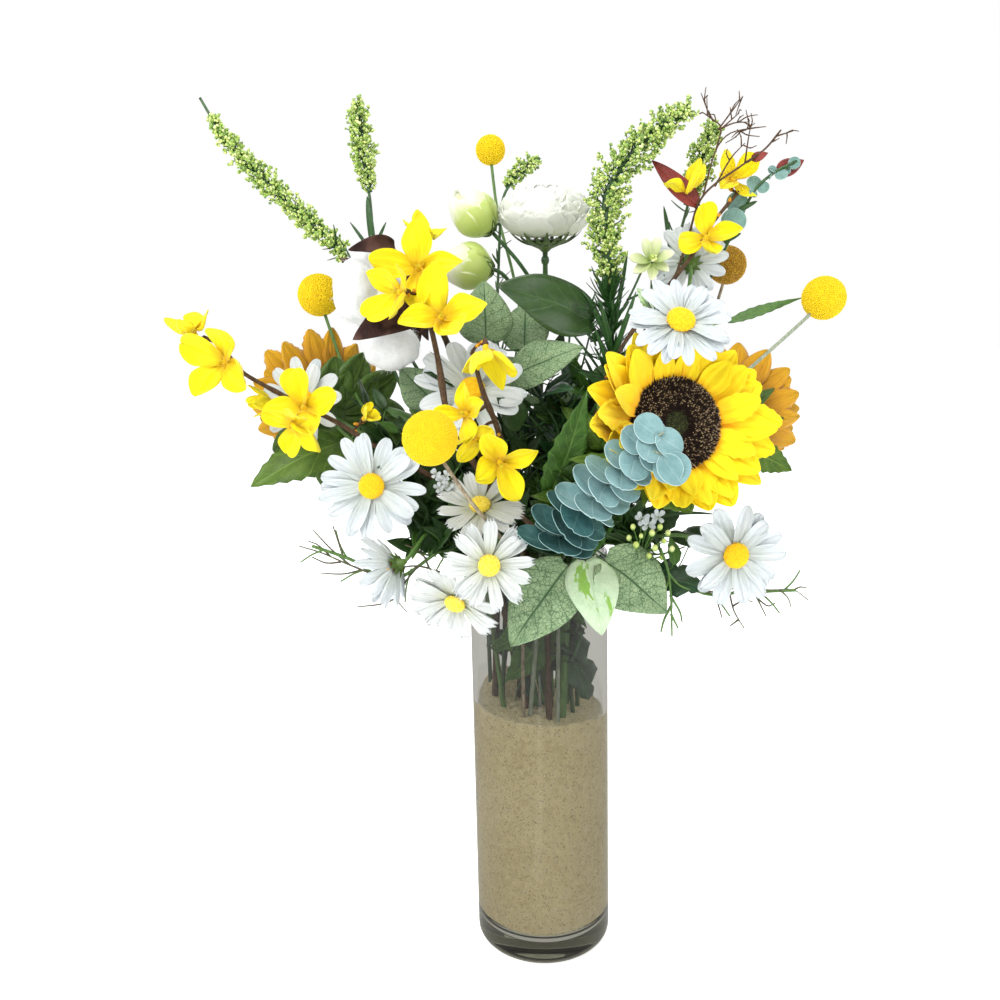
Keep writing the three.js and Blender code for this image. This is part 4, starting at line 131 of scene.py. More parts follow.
# flower heads: name, kind, centre, facing, radius, turn in degrees
HEADS = [
    ["sunflower_front", "sun", [80.4, -95, 402.6], [0.2, -0.95, 0.23], 66, 4],
    ["sunflower_left", "sun", [-157, 42, 406.3], [-0.48, 0.84, 0.24], 62, 0],
    ["sunflower_right", "sun", [138.5, 12, 396], [0.47, 0.87, 0.14], 58, 0],
    ["daisy_1", "daisy", [-112.5, -55, 362.7], [0, -0.99, 0.1], 37, 0],
    ["daisy_2", "daisy", [127.4, -70, 313.5], [0.1, -0.99, 0.04], 35, 0],
    ["daisy_3", "daisy", [-34.9, -105, 318.7], [0.07, -0.99, 0.1], 30, 0],
    ["daisy_4", "daisy", [-40.3, -72, 349.8], [0, -0.64, 0.77], 30, 0],
    ["daisy_5", "daisy", [-57.4, -80, 289], [-0.29, -0.8, -0.53], 32, 0],
    ["daisy_6", "daisy", [82.2, -108, 464.9], [0.09, -0.81, 0.59], 33, 0],
    ["daisy_7", "daisy", [-97.2, -78, 313], [-0.85, 0.34, -0.41], 27, 0],
    ["daisy_8", "daisy", [-44.3, -40, 424.3], [0, -0.85, 0.53], 40, 22],
    ["daisy_9", "daisy", [114.2, 21.5, 510.1], [0.16, 0.91, 0.38], 30, 22],
    ["daisy_10", "daisy", [-166.6, 2, 416.5], [-0.23, -0.94, 0.24], 33, 0],
    ["craspedia_1", "ball", [-159.7, 45, 493.9], [0, 0, 1], 15.8, 0],
    ["craspedia_2", "ball", [-28.6, 120, 610], [0, 0, 1], 11.8, 0],
    ["craspedia_3", "ball", [150.8, 62, 510.6], [0, 0, 1], 14.6, 0],
    ["craspedia_4", "ball", [201.2, -10, 481.2], [0, 0, 1], 15, 0],
    ["craspedia_5", "ball", [-67.4, -125, 400.7], [0, 0, 1], 16.5, 0],
    ["ranunculus_bloom", "ranun", [11.7, 60, 551], [0, -0.17, 0.98], 36, 0],
    ["ranunculus_bud_1", "bud", [-40.3, 50, 550], [-0.69, -0.14, 0.71], 16, 0],
    ["ranunculus_bud_2", "bud", [-45.5, 36, 511.9], [-0.98, -0.14, 0.15], 16, 0],
]
# forsythia blossoms: node, centre, facing, size, turn, how open
BLOOMS = [
    ["forsythia_left", [-231.6, -32, 467.6], [-0.23, -0.41, 0.88], 20, 20, 0.75],
    ["forsythia_left", [-210.3, -36, 446.5], [-0.4, -0.91, 0.14], 31, 65, 0.9],
    ["forsythia_left", [-158.1, -40, 414.7], [-0.13, -0.92, 0.38], 29, 15, 0.85],
    ["forsythia_left", [-163.3, -50, 404.2], [-0.2, -0.8, -0.56], 25, 60, 0.85],
    ["forsythia_left", [-183.8, -22, 418.3], [-0.96, -0.26, 0.09], 17, 0, 0.35],
    ["forsythia_left", [-117.4, -34, 407.3], [0.56, -0.66, 0.5], 13, 0, 0.3],
    ["forsythia_upper", [-77.1, -40, 505], [-0.14, -0.97, 0.17], 34, 0, 0.85],
    ["forsythia_upper", [-88.5, -58, 488.8], [-0.74, -0.67, -0.1], 28, 45, 0.8],
    ["forsythia_upper", [-62.4, -62, 471.7], [0.12, -0.87, 0.47], 33, 20, 0.85],
    ["forsythia_upper", [-74.5, -22, 526.1], [0.12, -0.32, 0.94], 20, 30, 0.6],
    ["forsythia_centre", [-33.8, -82, 450.9], [0.07, -0.47, -0.88], 24, 30, 0.55],
    ["forsythia_centre", [-47, -92, 412], [-0.49, -0.85, 0.17], 22, 15, 0.85],
    ["forsythia_centre", [-40, -90, 396.7], [-0.13, -0.73, -0.67], 21, 50, 0.8],
    ["forsythia_centre", [-26.6, -98, 382.3], [0.17, -0.96, -0.24], 25, 20, 0.95],
    ["forsythia_right", [109.4, 15, 557.9], [-0.12, -0.32, 0.94], 24, 30, 0.5],
    ["forsythia_right", [145.1, 25, 567], [0.15, -0.85, 0.5], 24, 35, 0.85],
    ["forsythia_right", [122.5, 8, 525.3], [0.16, -0.91, 0.38], 26, 10, 0.9],
    ["berry_spike_tall", [81.4, 16, 510.3], [0.26, -0.72, 0.64], 13, 0, 0.6],
    ["berry_spike_tall", [75.4, 4, 488.7], [-0.32, -0.88, 0.34], 11, 30, 0.6],
]
# berry spikes: node, radius, points
SPIKES = [
    ["berry_spike_left", 8.2, [[-137, 32, 516.4], [-143.9, 33, 528.7], [-168.9, 36, 550.9], [-197.3, 40, 580.2], [-217.4, 44, 602.4], [-231.8, 48, 622.4]]],
    ["berry_spike_small", 8.4, [[-119.8, 58, 569.5], [-122.2, 59, 585.6], [-124.6, 60, 600.1], [-126.1, 60, 632.8]]],
    ["berry_spike_tall", 12.5, [[55.5, 4, 490.6], [52.7, 4, 509.9], [50.8, 5, 531.9], [53.1, 6, 559], [72.2, 8, 585.7], [93.3, 10, 602.9], [107.8, 10, 611.8]]],
    ["berry_spike_right", 7.6, [[114.5, 40, 552.5], [120.9, 40, 570], [128, 40, 590.9], [134.3, 40, 606.7]]],
    ["berry_spike_back", 6.6, [[-17.7, 92, 577.2], [-5.7, 92.5, 587.6], [7.8, 94, 596.6]]],
]
# leaves: node, kind, base, tip, width, hint for the upper side, fold, bend, start of the stalk
LEAVES = [
    ["leaf_spray_upper", "broad", [42.8, 6, 468.6], [-25.2, -12, 496.1], 40, [0, -0.86, 0.51], 0.05, 0.1, [16.1, 4, 392.1]],
    ["leaf_spray_upper", "veined", [-16.6, 2, 430.3], [31.6, -22, 451.9], 30, [0.08, -0.82, 0.57], 0.12, 0.12, [-5, 4.8, 430]],
    ["leaf_spray_upper", "veined", [-34.6, 4, 456.2], [-34.9, -8, 497.9], 33, [0, -0.96, 0.29], 0.12, 0.12, [-10.3, 8, 450]],
    ["leaf_spray_upper", "veined", [-72.8, -2, 414.6], [-94.9, -14, 439.5], 26, [-0.19, -0.94, 0.28], 0.12, 0.12, [2, 4, 415.6]],
    ["leaf_spray_upper", "serrate", [6.8, -22, 345.1], [33.8, -40, 421.3], 26, [0.29, -0.95, 0.1], 0.18, 0.1, [14.1, 2.2, 346.1]],
    ["leaf_spray_upper", "serrate", [17.3, -10, 328.2], [23.8, -28, 401.7], 22, [-0.29, -0.95, 0.1], 0.18, 0.1, [6.8, 4.4, 331.5]],
    ["leaf_spray_upper", "broad", [-10.8, -30, 399.2], [-26.9, -50, 419.1], 18, [0, -0.93, 0.37], 0.12, 0.12, [10.5, 4, 401.5]],
    ["leaf_spray_front", "pale", [29, -62, 310.4], [37.9, -88, 267], 35, [0.04, -0.89, 0.45], 0.1, 0.16, [30, -60, 322]],
    ["leaf_spray_front", "veined", [17.4, -64, 307], [-22.6, -82, 258.2], 39, [-0.18, -0.9, 0.4], 0.1, 0.14, [30, -60, 322]],
    ["berry_spike_right", "blue", [11.2, -26, 256.8], [-22.7, -27, 214.4], 26, [-0.1, -0.98, 0.2], 0.1, 0.1, [18.7, -12.9, 255.1]],
    ["leaf_spray_front", "veined", [41.7, -62, 310.1], [82.3, -76, 277.2], 40, [0.23, -0.9, 0.36], 0.1, 0.14, [30, -60, 322]],
    ["sunflower_left_stem", "sunleaf", [-140.4, 14, 387.2], [-206.6, -8, 358.5], 34, [-0.09, -0.89, 0.45], 0.1, 0.12, [-125, 9.7, 389.4]],
    ["sunflower_right_stem", "sunleaf", [146.9, -8, 377.4], [178.7, -22, 362.6], 24, [0.19, -0.94, 0.28], 0.1, 0.12, [131.1, -2, 393.8]],
    ["sunflower_front_stem", "sunleaf", [76.2, -66, 368.1], [94.5, -90, 346.7], 34, [0, -0.89, 0.45], 0.1, 0.12, [71.9, -61.2, 394.5]],
    ["sunflower_left_stem", "sunleaf", [-78.4, 4.8, 353.7], [-131, 35.1, 366.6], 36, [0.24, -0.14, 0.96], 0.12, 0.14, [-68.5, -1, 351]],
    ["sunflower_left_stem", "sunleaf", [-96.5, 14.1, 376.2], [-100.9, 64.6, 399.9], 32, [0.02, -0.26, 0.96], 0.12, 0.14, [-95.7, 3.4, 370.9]],
    ["sunflower_right_stem", "sunleaf", [52.8, -22, 350.8], [104.8, 14.4, 359.7], 36, [-0.23, -0.16, 0.96], 0.12, 0.14, [43.2, -28.8, 349]],
    ["sunflower_right_stem", "sunleaf", [68.4, -25.4, 373.5], [70.2, 26.5, 394.5], 32, [-0.01, -0.27, 0.96], 0.12, 0.14, [68.1, -36.4, 368.9]],
    ["leaf_spray_upper", "veined", [21, 12.5, 399], [41.5, 48, 427.6], 30, [-0.16, -0.27, 0.95], 0.12, 0.14, [16.1, 4, 392.1]],
    ["leaf_spray_upper", "veined", [-7.5, 12, 426.3], [-33.1, 42.5, 449.3], 28, [0.21, -0.25, 0.94], 0.12, 0.14, [-0.9, 4, 420.3]],
    ["leaf_spray_upper", "veined", [-7, 14.1, 449.2], [-4.3, 44.8, 485.9], 30, [-0.02, -0.25, 0.97], 0.12, 0.14, [-7.7, 6.4, 440]],
    ["leaf_spray_upper", "veined", [4, 6.2, 374.7], [-38.9, 17.7, 386.6], 28, [0.35, -0.09, 0.93], 0.12, 0.14, [15.2, 3.2, 371.6]],
    ["leaf_spray_upper", "veined", [-1.8, -1.4, 411.2], [-33.2, -19.6, 428.1], 24, [0.29, 0.17, 0.94], 0.12, 0.14, [7.6, 4, 406.2]],
    ["sunflower_right_stem", "ivy", [18.5, -22, 241.9], [34, -24, 196.7], 30, [0, -0.98, 0.2], 0.1, 0.08, [17.8, -24.4, 247.1]],
    ["berry_spike_small", "ivy", [-3.7, -18, 248.7], [-35.3, -22, 237.1], 24, [0, -0.96, 0.29], 0.1, 0.08, [-5.6, -7.4, 255]],
    ["leaf_spray_front", "ivy", [81.4, -50, 295.9], [107.7, -62, 289.3], 28, [0.18, -0.91, 0.36], 0.1, 0.08, [30, -60, 322]],
    ["berry_spike_tall", "grass", [55.2, 2, 447.2], [37.5, -6, 486.3], 5, [0, -0.96, 0.29], 0.3, 0.1, [55, 4, 443.3]],
    ["berry_spike_tall", "grass", [54.9, 0, 444.4], [45, -14, 483], 5.5, [0, -0.96, 0.29], 0.3, 0.1, [55, 4, 438.5]],
    ["berry_spike_tall", "grass", [54.9, 0, 441.6], [70.5, -10, 488.1], 5, [0, -0.96, 0.29], 0.3, 0.1, [55, 4, 438.5]],
    ["berry_spike_tall", "grass", [54.6, -2, 427.5], [41.3, -22, 462.5], 5, [0, -0.96, 0.29], 0.3, 0.1, [51.5, 4.2, 423.2]],
    ["berry_spike_tall", "grass", [55.7, 6, 458.5], [69.1, 20, 519.4], 4.5, [0, -0.96, 0.29], 0.3, 0.1, [55.1, 4, 453.8]],
    ["berry_spike_tall", "grass", [54.9, 0, 418.9], [30.3, -20, 434.2], 5, [0, -0.96, 0.29], 0.3, 0.1, [49, 4.3, 417.2]],
    ["berry_spike_small", "grass", [-118.4, 56, 525.4], [-121.9, 56, 566.3], 7, [0, -0.98, 0.2], 0.3, 0.06, [-118.3, 54.3, 518.3]],
    ["berry_spike_small", "grass", [-118.5, 57, 527], [-108.2, 54, 546.9], 3.5, [0, -0.98, 0.2], 0.3, 0.06, [-118.5, 54.9, 523.6]],
    ["berry_spike_small", "grass", [-118.4, 55, 523.1], [-135.8, 58, 548], 3.5, [0, -0.98, 0.2], 0.3, 0.06, [-118.3, 54.3, 518.3]],
    ["berry_spike_right", "grass", [103.8, 36, 511.6], [97.3, 34, 551.3], 5, [0, -0.98, 0.2], 0.3, 0.08, [102.7, 37, 507.7]],
    ["berry_spike_right", "grass", [105.2, 36, 518.7], [118.4, 44, 540.8], 4.5, [0, -0.98, 0.2], 0.3, 0.08, [104.3, 37.3, 513]],
    ["daisy_spray_upper_stem", "serrate", [141.6, 18, 466.8], [192.4, 8, 483], 8, [0, -0.89, 0.45], 0.1, 0.06, [104.9, 16.3, 468.9]],
    ["daisy_8_stem", "serrate", [-59.4, -20, 402.9], [-74.9, -30, 419.1], 9, [0, -0.93, 0.37], 0.1, 0.1, [-41.6, -16, 406.7]],
    ["eucalyptus_front", "round", [1.7, -101.3, 319.3], [-2.7, -125.4, 315.1], 27, [0.56, -0.3, 0.77], 0, 0.06, [2.2, -100, 319.9]],
    ["eucalyptus_front", "round", [2.7, -98.7, 320.5], [15, -83.6, 335.9], 27, [0.37, -0.75, 0.55], 0, 0.06, [2.2, -100, 319.9]],
    ["eucalyptus_front", "round", [13.1, -111.1, 332.8], [34.3, -117.8, 325.4], 25.5, [0.2, -0.53, 0.82], 0, 0.06, [11.4, -110.9, 334.1]],
    ["eucalyptus_front", "round", [10.7, -110.9, 334.6], [-2.7, -114.1, 353.6], 25.5, [0.67, -0.58, 0.46], 0, 0.06, [11.4, -110.9, 334.1]],
    ["eucalyptus_front", "round", [20, -124.7, 346.4], [16.6, -146.4, 343.9], 24, [0.57, -0.26, 0.78], 0, 0.06, [20.3, -123.5, 347.1]],
    ["eucalyptus_front", "round", [21.2, -122.2, 347.6], [32.8, -110.3, 362.1], 24, [0.32, -0.8, 0.51], 0, 0.06, [20.3, -123.5, 347.1]],
    ["eucalyptus_front", "round", [31.9, -133, 360.1], [52.2, -133.1, 356], 22.5, [0.26, -0.4, 0.88], 0, 0.06, [30.5, -134.6, 360.7]],
    ["eucalyptus_front", "round", [29.5, -133.5, 361.7], [19.5, -139.9, 378.7], 22.5, [0.83, -0.28, 0.48], 0, 0.06, [30.5, -134.6, 360.7]],
    ["eucalyptus_front", "round", [43.9, -139.3, 375.1], [53.1, -156.2, 374.6], 21, [0.55, 0.18, 0.82], 0, 0.06, [43.6, -137.9, 375.7]],
    ["eucalyptus_front", "round", [43.3, -136.6, 376.3], [46, -122.7, 389.5], 21, [0.69, -0.51, 0.51], 0, 0.06, [43.6, -137.9, 375.7]],
    ["eucalyptus_front", "round", [58.6, -139.6, 388.8], [74.7, -132.7, 384.7], 19.5, [0.45, -0.3, 0.84], 0, 0.06, [58, -140.4, 389.5]],
    ["eucalyptus_front", "round", [56.8, -141.1, 390.7], [54, -149.8, 406.1], 19.5, [0.94, 0.11, 0.34], 0, 0.06, [58, -140.4, 389.5]],
    ["eucalyptus_front", "round", [74.3, -143.3, 400.9], [84.7, -156.1, 399.3], 18, [0.62, 0.29, 0.73], 0, 0.06, [73.9, -142, 401.6]],
    ["eucalyptus_front", "round", [73.5, -140.7, 402.3], [76.8, -129.4, 413.9], 18, [0.83, -0.44, 0.33], 0, 0.06, [73.9, -142, 401.6]],
    ["eucalyptus_front", "round", [62.2, -141, 391.4], [70.9, -147, 377], 16, [0.19, -0.94, 0.28], 0.1, 0.05, [43.6, -137.9, 375.7]],
    ["eucalyptus_back", "round", [141.2, 24, 530.8], [151.5, 18, 549.9], 17, [0, -0.96, 0.29], 0, 0.06, [143.6, 26.2, 525.5]],
    ["eucalyptus_back", "round", [143.8, 24, 544.7], [154.5, 22, 560.8], 11, [0, -0.96, 0.29], 0, 0.06, [148.6, 25, 535.7]],
    ["eucalyptus_back", "grass", [147.4, 24, 544.6], [160.7, 18, 551.1], 5, [0, -0.96, 0.29], 0, 0.06, [148.6, 25, 535.7]],
    ["eucalyptus_back", "grass", [138.2, 26, 523.4], [150.8, 22, 529.7], 5, [0, -0.96, 0.29], 0, 0.06, [138.5, 27.4, 515.3]],
    ["eucalyptus_back", "round", [159.7, 20, 559], [159, 24, 572], 6, [0, -0.96, 0.29], 0, 0.06, [157.5, 21, 554.3]],
    ["eucalyptus_back", "round", [161.1, 20, 560.3], [171.3, 16, 560.8], 7, [0, -0.96, 0.29], 0, 0.06, [159.7, 20, 559]],
    ["eucalyptus_back", "round", [171, 18, 569.3], [172, 20, 577.1], 4, [0, -0.96, 0.29], 0, 0.06, [168.6, 18.7, 566.8]],
    ["eucalyptus_back", "round", [173.8, 18, 570.6], [182, 12, 565.4], 10, [0, -0.96, 0.29], 0, 0.06, [168.6, 18.7, 566.8]],
    ["eucalyptus_back", "round", [183.3, 17, 573], [189.9, 14, 581], 10, [0, -0.96, 0.29], 0, 0.06, [178, 17.3, 572.9]],
    ["eucalyptus_back", "maroon", [175.8, 20, 570.9], [194.7, 22, 579.1], 11, [0, -0.96, 0.29], 0, 0.06, [173.1, 18, 570.6]],
    ["twig_branch", "maroon", [116.3, 10, 548.2], [85.7, 18, 580.6], 15, [0, -0.98, 0.2], 0.1, 0.05, [118.2, 9.2, 548.3]],
    ["twig_branch", "maroon", [153.9, 8, 578], [163.8, 4, 581], 7, [0, -0.98, 0.2], 0.1, 0.05, [148.5, 6, 575]],
    ["cotton_stem_husk", "husk", [-84.8, 3.5, 475], [-122.8, -48.1, 460.6], 22, [0.12, -0.68, -0.72], 0.15, 0.62, [-82.9, 8.6, 478.1]],
    ["cotton_stem_husk", "husk", [-85.2, 6.5, 483.6], [-126, -25.7, 528.5], 20, [0.03, -0.08, 1], 0.15, 0.62, [-82.9, 8.6, 478.1]],
    ["cotton_stem_husk", "husk", [-81, 8, 476.4], [-76.8, -10, 463.2], 20, [0.88, 0.22, -0.42], 0.15, 0.62, [-82.9, 8.6, 478.1]],
    ["cotton_stem_husk", "husk", [-84.8, 11.2, 476], [-120.1, 30.3, 455], 20, [0.12, 0.84, -0.52], 0.15, 0.62, [-82.9, 8.6, 478.1]],
    ["cotton_stem_husk", "husk", [-85.9, 11.2, 481.1], [-133.8, 32.6, 519.8], 20, [-0.1, 0.86, 0.5], 0.15, 0.62, [-82.9, 8.6, 478.1]],
]
# lobes of the boll: centre and radii
COTTON_LOBES = [
    [[-122.3, -20, 491.7], [16.5, 18, 22]],
    [[-99.9, -20, 454.8], [20.5, 18, 17]],
    [[-111.9, -4, 511.4], [16, 17, 17]],
    [[-106.5, 6, 485.8], [18, 18, 22]],
    [[-109.4, -12, 482.3], [17, 17, 20]],
]
DAISY_HEADS = ["daisy_7", "daisy_9", "daisy_10"]
DAISY_STEM = {"daisy_1": "daisy_spray_left_stem", "daisy_7": "daisy_spray_left_stem", "daisy_10": "daisy_spray_left_stem", "daisy_3": "daisy_spray_centre_stem", "daisy_4": "daisy_spray_centre_stem", "daisy_5": "daisy_spray_centre_stem", "daisy_2": "daisy_spray_right_stem", "daisy_6": "daisy_spray_upper_stem", "daisy_9": "daisy_spray_upper_stem", "daisy_8": "daisy_8_stem"}
DAISY_CUP = {"daisy_7": 9, "daisy_10": 6, "daisy_9": 5, "daisy_4": 5, "daisy_5": 1, "daisy_1": 2.5, "daisy_2": 2.5, "daisy_3": 2, "daisy_6": 1, "daisy_8": 4}

MM = 0.001
VASE_R, VASE_H, VASE_WALL, VASE_BASE = 50.8, 304.8, 3.2, 15.0


def V(*a):
    return np.array(a, float)


def unit(v):
    v = np.asarray(v, float)
    return v / max(1e-9, np.linalg.norm(v))


def across(n):
    a = V(0, 0, 1) if abs(n[2]) < 0.9 else V(0, 1, 0)
    u = unit(np.cross(a, n))
    return u, np.cross(n, u)


# ------------------------------------------------------------------ camera
F_PX = 930.0
CAM = V(-27.11, -670.19, 453.23)
PITCH, ROLL = math.radians(9.408), math.radians(-1.2608)
c_, s_ = math.cos(ROLL), math.sin(ROLL)
FWD = V(0, math.cos(PITCH), -math.sin(PITCH))
RGT, UPV = V(1, 0, 0), V(0, math.sin(PITCH), math.cos(PITCH))
RGT2, UPV2 = c_ * RGT + s_ * UPV, -s_ * RGT + c_ * UPV


def at(u, v, y):
    """The point at depth y (mm) that the camera sees at pixel (u, v)."""
    d = FWD + RGT2 * (u - 500) / F_PX - UPV2 * (v - 500) / F_PX
    return CAM + d * ((y - CAM[1]) / d[1])


cam_data = bpy.data.cameras.new("camera")
cam_data.sensor_width = 36.0
cam_data.lens = 36.0 * F_PX / 1000.0
cam_data.clip_start, cam_data.clip_end = 0.01, 50
cam = bpy.data.objects.new("camera", cam_data)
bpy.context.scene.collection.objects.link(cam)
m = Matrix.Identity(4)
for i in range(3):
    m[i][0], m[i][1], m[i][2], m[i][3] = RGT2[i], UPV2[i], -FWD[i], CAM[i] * MM
cam.matrix_world = m
bpy.context.scene.camera = cam


# ------------------------------------------------------------ mesh building
class Mesh:
    """Gathers parts: points (mm), faces, a texture coordinate and two shares for each point."""

    def __init__(self):
        self.v, self.f, self.uv, self.a, self.r, self.m, self.n = [], [], [], [], [], [], 0

    def add(self, v, f, uv=None, a=None, rnd=0.0, mat=0):
        v = np.asarray(v, float).reshape(-1, 3)
        k = len(v)
        self.v.append(v)
        self.f.extend([tuple(int(i) + self.n for i in q) for q in f])
        self.m.extend([mat] * len(f))
        self.uv.append(np.zeros((k, 2)) if uv is None else np.asarray(uv, float).reshape(-1, 2))
        self.a.append(np.zeros(k) if a is None else np.broadcast_to(np.asarray(a, float).ravel(), (k,)).copy())
        self.r.append(np.full(k, float(rnd)))
        self.n += k

    def make(self, name, mats, smooth=True):
        v = np.vstack(self.v) * MM
        me = bpy.data.meshes.new(name)
        me.from_pydata(v.tolist(), [], self.f)
        me.validate()
        loops = np.empty(len(me.loops), dtype=np.int32)
        me.loops.foreach_get("vertex_index", loops)
        uv = np.vstack(self.uv)
        lay = me.uv_layers.new(name="leafmap")
        lay.data.foreach_set("uv", uv[loops].astype(np.float32).ravel())
        for nm, vals in (("share", self.a), ("chance", self.r)):
            at_ = me.attributes.new(nm, "FLOAT", "POINT")
            at_.data.foreach_set("value", np.concatenate(vals).astype(np.float32))
        for mt in mats:
            me.materials.append(mt)
        if len(me.polygons) == len(self.m):
            me.polygons.foreach_set("material_index", np.array(self.m, dtype=np.int32))
        me.polygons.foreach_set("use_smooth", np.full(len(me.polygons), smooth))
        me.update()
        ob = bpy.data.objects.new(name, me)
        bpy.context.scene.collection.objects.link(ob)
        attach(ob, "root")
        return ob


def smooth_line(P, n):
    """n points on a smooth curve through the points P."""
    P = np.asarray(P, float)
    if len(P) < 3:
        t = np.linspace(0, 1, n)[:, None]
        return P[0] + (P[-1] - P[0]) * t
    d = np.r_[0, np.cumsum(np.maximum(1e-6, np.linalg.norm(np.diff(P, axis=0), axis=1)) ** 0.75)]
    T = np.zeros_like(P)
    T[1:-1] = (P[2:] - P[:-2]) / (d[2:] - d[:-2])[:, None]
    T[0], T[-1] = (P[1] - P[0]) / (d[1] - d[0]), (P[-1] - P[-2]) / (d[-1] - d[-2])
    # half way to a finer, even sampling
    ts = np.linspace(0, d[-1], n)
    out = []
    for t in ts:
        i = min(len(P) - 2, max(0, int(np.searchsorted(d, t, side="right")) - 1))
        h = d[i + 1] - d[i]
        s = (t - d[i]) / h
        out.append(
            (2 * s**3 - 3 * s**2 + 1) * P[i] + (s**3 - 2 * s**2 + s) * h * T[i]
            + (-2 * s**3 + 3 * s**2) * P[i + 1] + (s**3 - s**2) * h * T[i + 1]
        )
    return np.array(out)


def frames(P):
    n = len(P)
    T = np.array([unit(P[min(n - 1, i + 1)] - P[max(0, i - 1)]) for i in range(n)])
    N = [across(T[0])[0]]
    for i in range(1, n):
        N.append(unit(N[-1] - T[i] * (N[-1] @ T[i])))
    N = np.array(N)
    return T, N, np.cross(T, N)


def tube(M, P, r, sides=8, mat=0, rnd=0.0, a=None, bump=None):
    """A closed round tube along P; r is one radius for each point."""
    P = np.asarray(P, float)
    n = len(P)
    r = np.broadcast_to(np.asarray(r, float), (n,))
    T, N, B = frames(P)
    ang = np.linspace(0, 2 * np.pi, sides, endpoint=False)
    rr = r[:, None] * (np.ones((n, sides)) if bump is None else bump)
    ring = P[:, None] + (N[:, None] * np.cos(ang)[None, :, None] + B[:, None] * np.sin(ang)[None, :, None]) * rr[:, :, None]
    v = ring.reshape(-1, 3)
    d = np.r_[0, np.cumsum(np.linalg.norm(np.diff(P, axis=0), axis=1))]
    uv = np.stack([np.tile(ang / (2 * np.pi), n), np.repeat(d, sides) / 10.0], 1)
    f = []
    for i in range(n - 1):
        for j in range(sides):
            k = (j + 1) % sides
            f.append((i * sides + j, i * sides + k, (i + 1) * sides + k, (i + 1) * sides + j))
    f.append(tuple(range(sides))[::-1])
    f.append(tuple((n - 1) * sides + j for j in range(sides)))
    M.add(v, f, uv, np.repeat(np.linspace(0, 1, n), sides) if a is None else a, rnd, mat)


def sheet(M, G, t=0.5, mat=0, rnd=0.0, share=None):
    """A closed thin sheet from a grid of points G (rows along, columns across)."""
    G = np.asarray(G, float)
    n, k = G.shape[:2]
    du = np.gradient(G, axis=1)
    dv = np.gradient(G, axis=0)
    nr = np.cross(du, dv)
    ln = np.linalg.norm(nr, axis=2, keepdims=True)
    nr = nr / np.maximum(ln, 1e-9)
    bad = ln[:, :, 0] < 1e-7
    if bad.any():
        mean = unit(nr[~bad].mean(axis=0)) if (~bad).any() else V(0, 0, 1)
        nr[bad] = mean
    tt = np.full((n, k, 1), t / 2)
    tt[:, 0] *= 0.35
    tt[:, -1] *= 0.35
    tt[-1] *= 0.35
    top, bot = G + nr * tt, G - nr * tt
    v = np.vstack([top.reshape(-1, 3), bot.reshape(-1, 3)])
    uu, vv = np.meshgrid(np.linspace(0, 1, k), np.linspace(0, 1, n))
    uv1 = np.stack([uu.ravel(), vv.ravel()], 1)
    f, o = [], n * k
    for i in range(n - 1):
        for j in range(k - 1):
            a_, b_, c, d = i * k + j, i * k + j + 1, (i + 1) * k + j + 1, (i + 1) * k + j
            f.append((a_, b_, c, d))
            f.append((o + a_, o + d, o + c, o + b_))
    for i in range(n - 1):
        f.append((i * k, (i + 1) * k, o + (i + 1) * k, o + i * k))
        a_ = i * k + k - 1
        f.append((a_, o + a_, o + a_ + k, a_ + k))
    for j in range(k - 1):
        f.append((j, o + j, o + j + 1, j + 1))
        a_ = (n - 1) * k + j
        f.append((a_, a_ + 1, o + a_ + 1, o + a_))
    side = np.r_[np.ones(n * k), np.zeros(n * k)] if share is None else np.tile(np.ravel(share), 2)
    M.add(v, f, np.vstack([uv1, uv1]), side, rnd, mat)


def ball_mesh(nu, nv):
    """Unit sphere points and faces."""
    v, f = [(0, 0, -1)], []
    for i in range(1, nv):
        t = math.pi * i / nv
        for j in range(nu):
            a = 2 * math.pi * j / nu
            v.append((math.sin(t) * math.cos(a), math.sin(t) * math.sin(a), -math.cos(t)))
    v.append((0, 0, 1))
    for j in range(nu):
        k = (j + 1) % nu
        f.append((0, 1 + k, 1 + j))
        for i in range(nv - 2):
            a, b = 1 + i * nu, 1 + (i + 1) * nu
            f.append((a + j, a + k, b + k, b + j))
        f.append((1 + (nv - 2) * nu + j, 1 + (nv - 2) * nu + k, len(v) - 1))
    return np.array(v, float), f


BEAD = ball_mesh(6, 4)
BEAD_FINE = ball_mesh(8, 6)


def bead(M, c, r, n=None, long=1.0, mat=0, rnd=0.0, fine=False, a=None):
    v, f = BEAD_FINE if fine else BEAD
    n = V(0, 0, 1) if n is None else unit(n)
    u, w = across(n)
    p = c + (u * v[:, :1] + w * v[:, 1:2]) * r + n * v[:, 2:3] * r * long
    M.add(p, f, np.stack([v[:, 0] * 0.5 + 0.5, v[:, 2] * 0.5 + 0.5], 1), v[:, 2] * 0.5 + 0.5 if a is None else a, rnd, mat)


def cone(M, c, n, r, h, sides=5, mat=0, rnd=0.0, tip=0.25):
    n = unit(n)
    u, w = across(n)
    ang = np.linspace(0, 2 * np.pi, sides, endpoint=False)
    ring = lambda rr, hh: c + (u * np.cos(ang)[:, None] + w * np.sin(ang)[:, None]) * rr + n * hh
    v = np.vstack([ring(r, -h * 0.3), ring(r * 0.95, h * 0.55), ring(r * tip, h), [c + n * h * 1.08]])
    f = []
    for i in range(2):
        for j in range(sides):
            k = (j + 1) % sides
            f.append((i * sides + j, i * sides + k, (i + 1) * sides + k, (i + 1) * sides + j))
    for j in range(sides):
        f.append((2 * sides + j, 2 * sides + (j + 1) % sides, 3 * sides))
    f.append(tuple(range(sides))[::-1])
    M.add(v, f, None, np.r_[np.zeros(sides), np.full(sides, 0.6), np.ones(sides + 1)], rnd, mat)


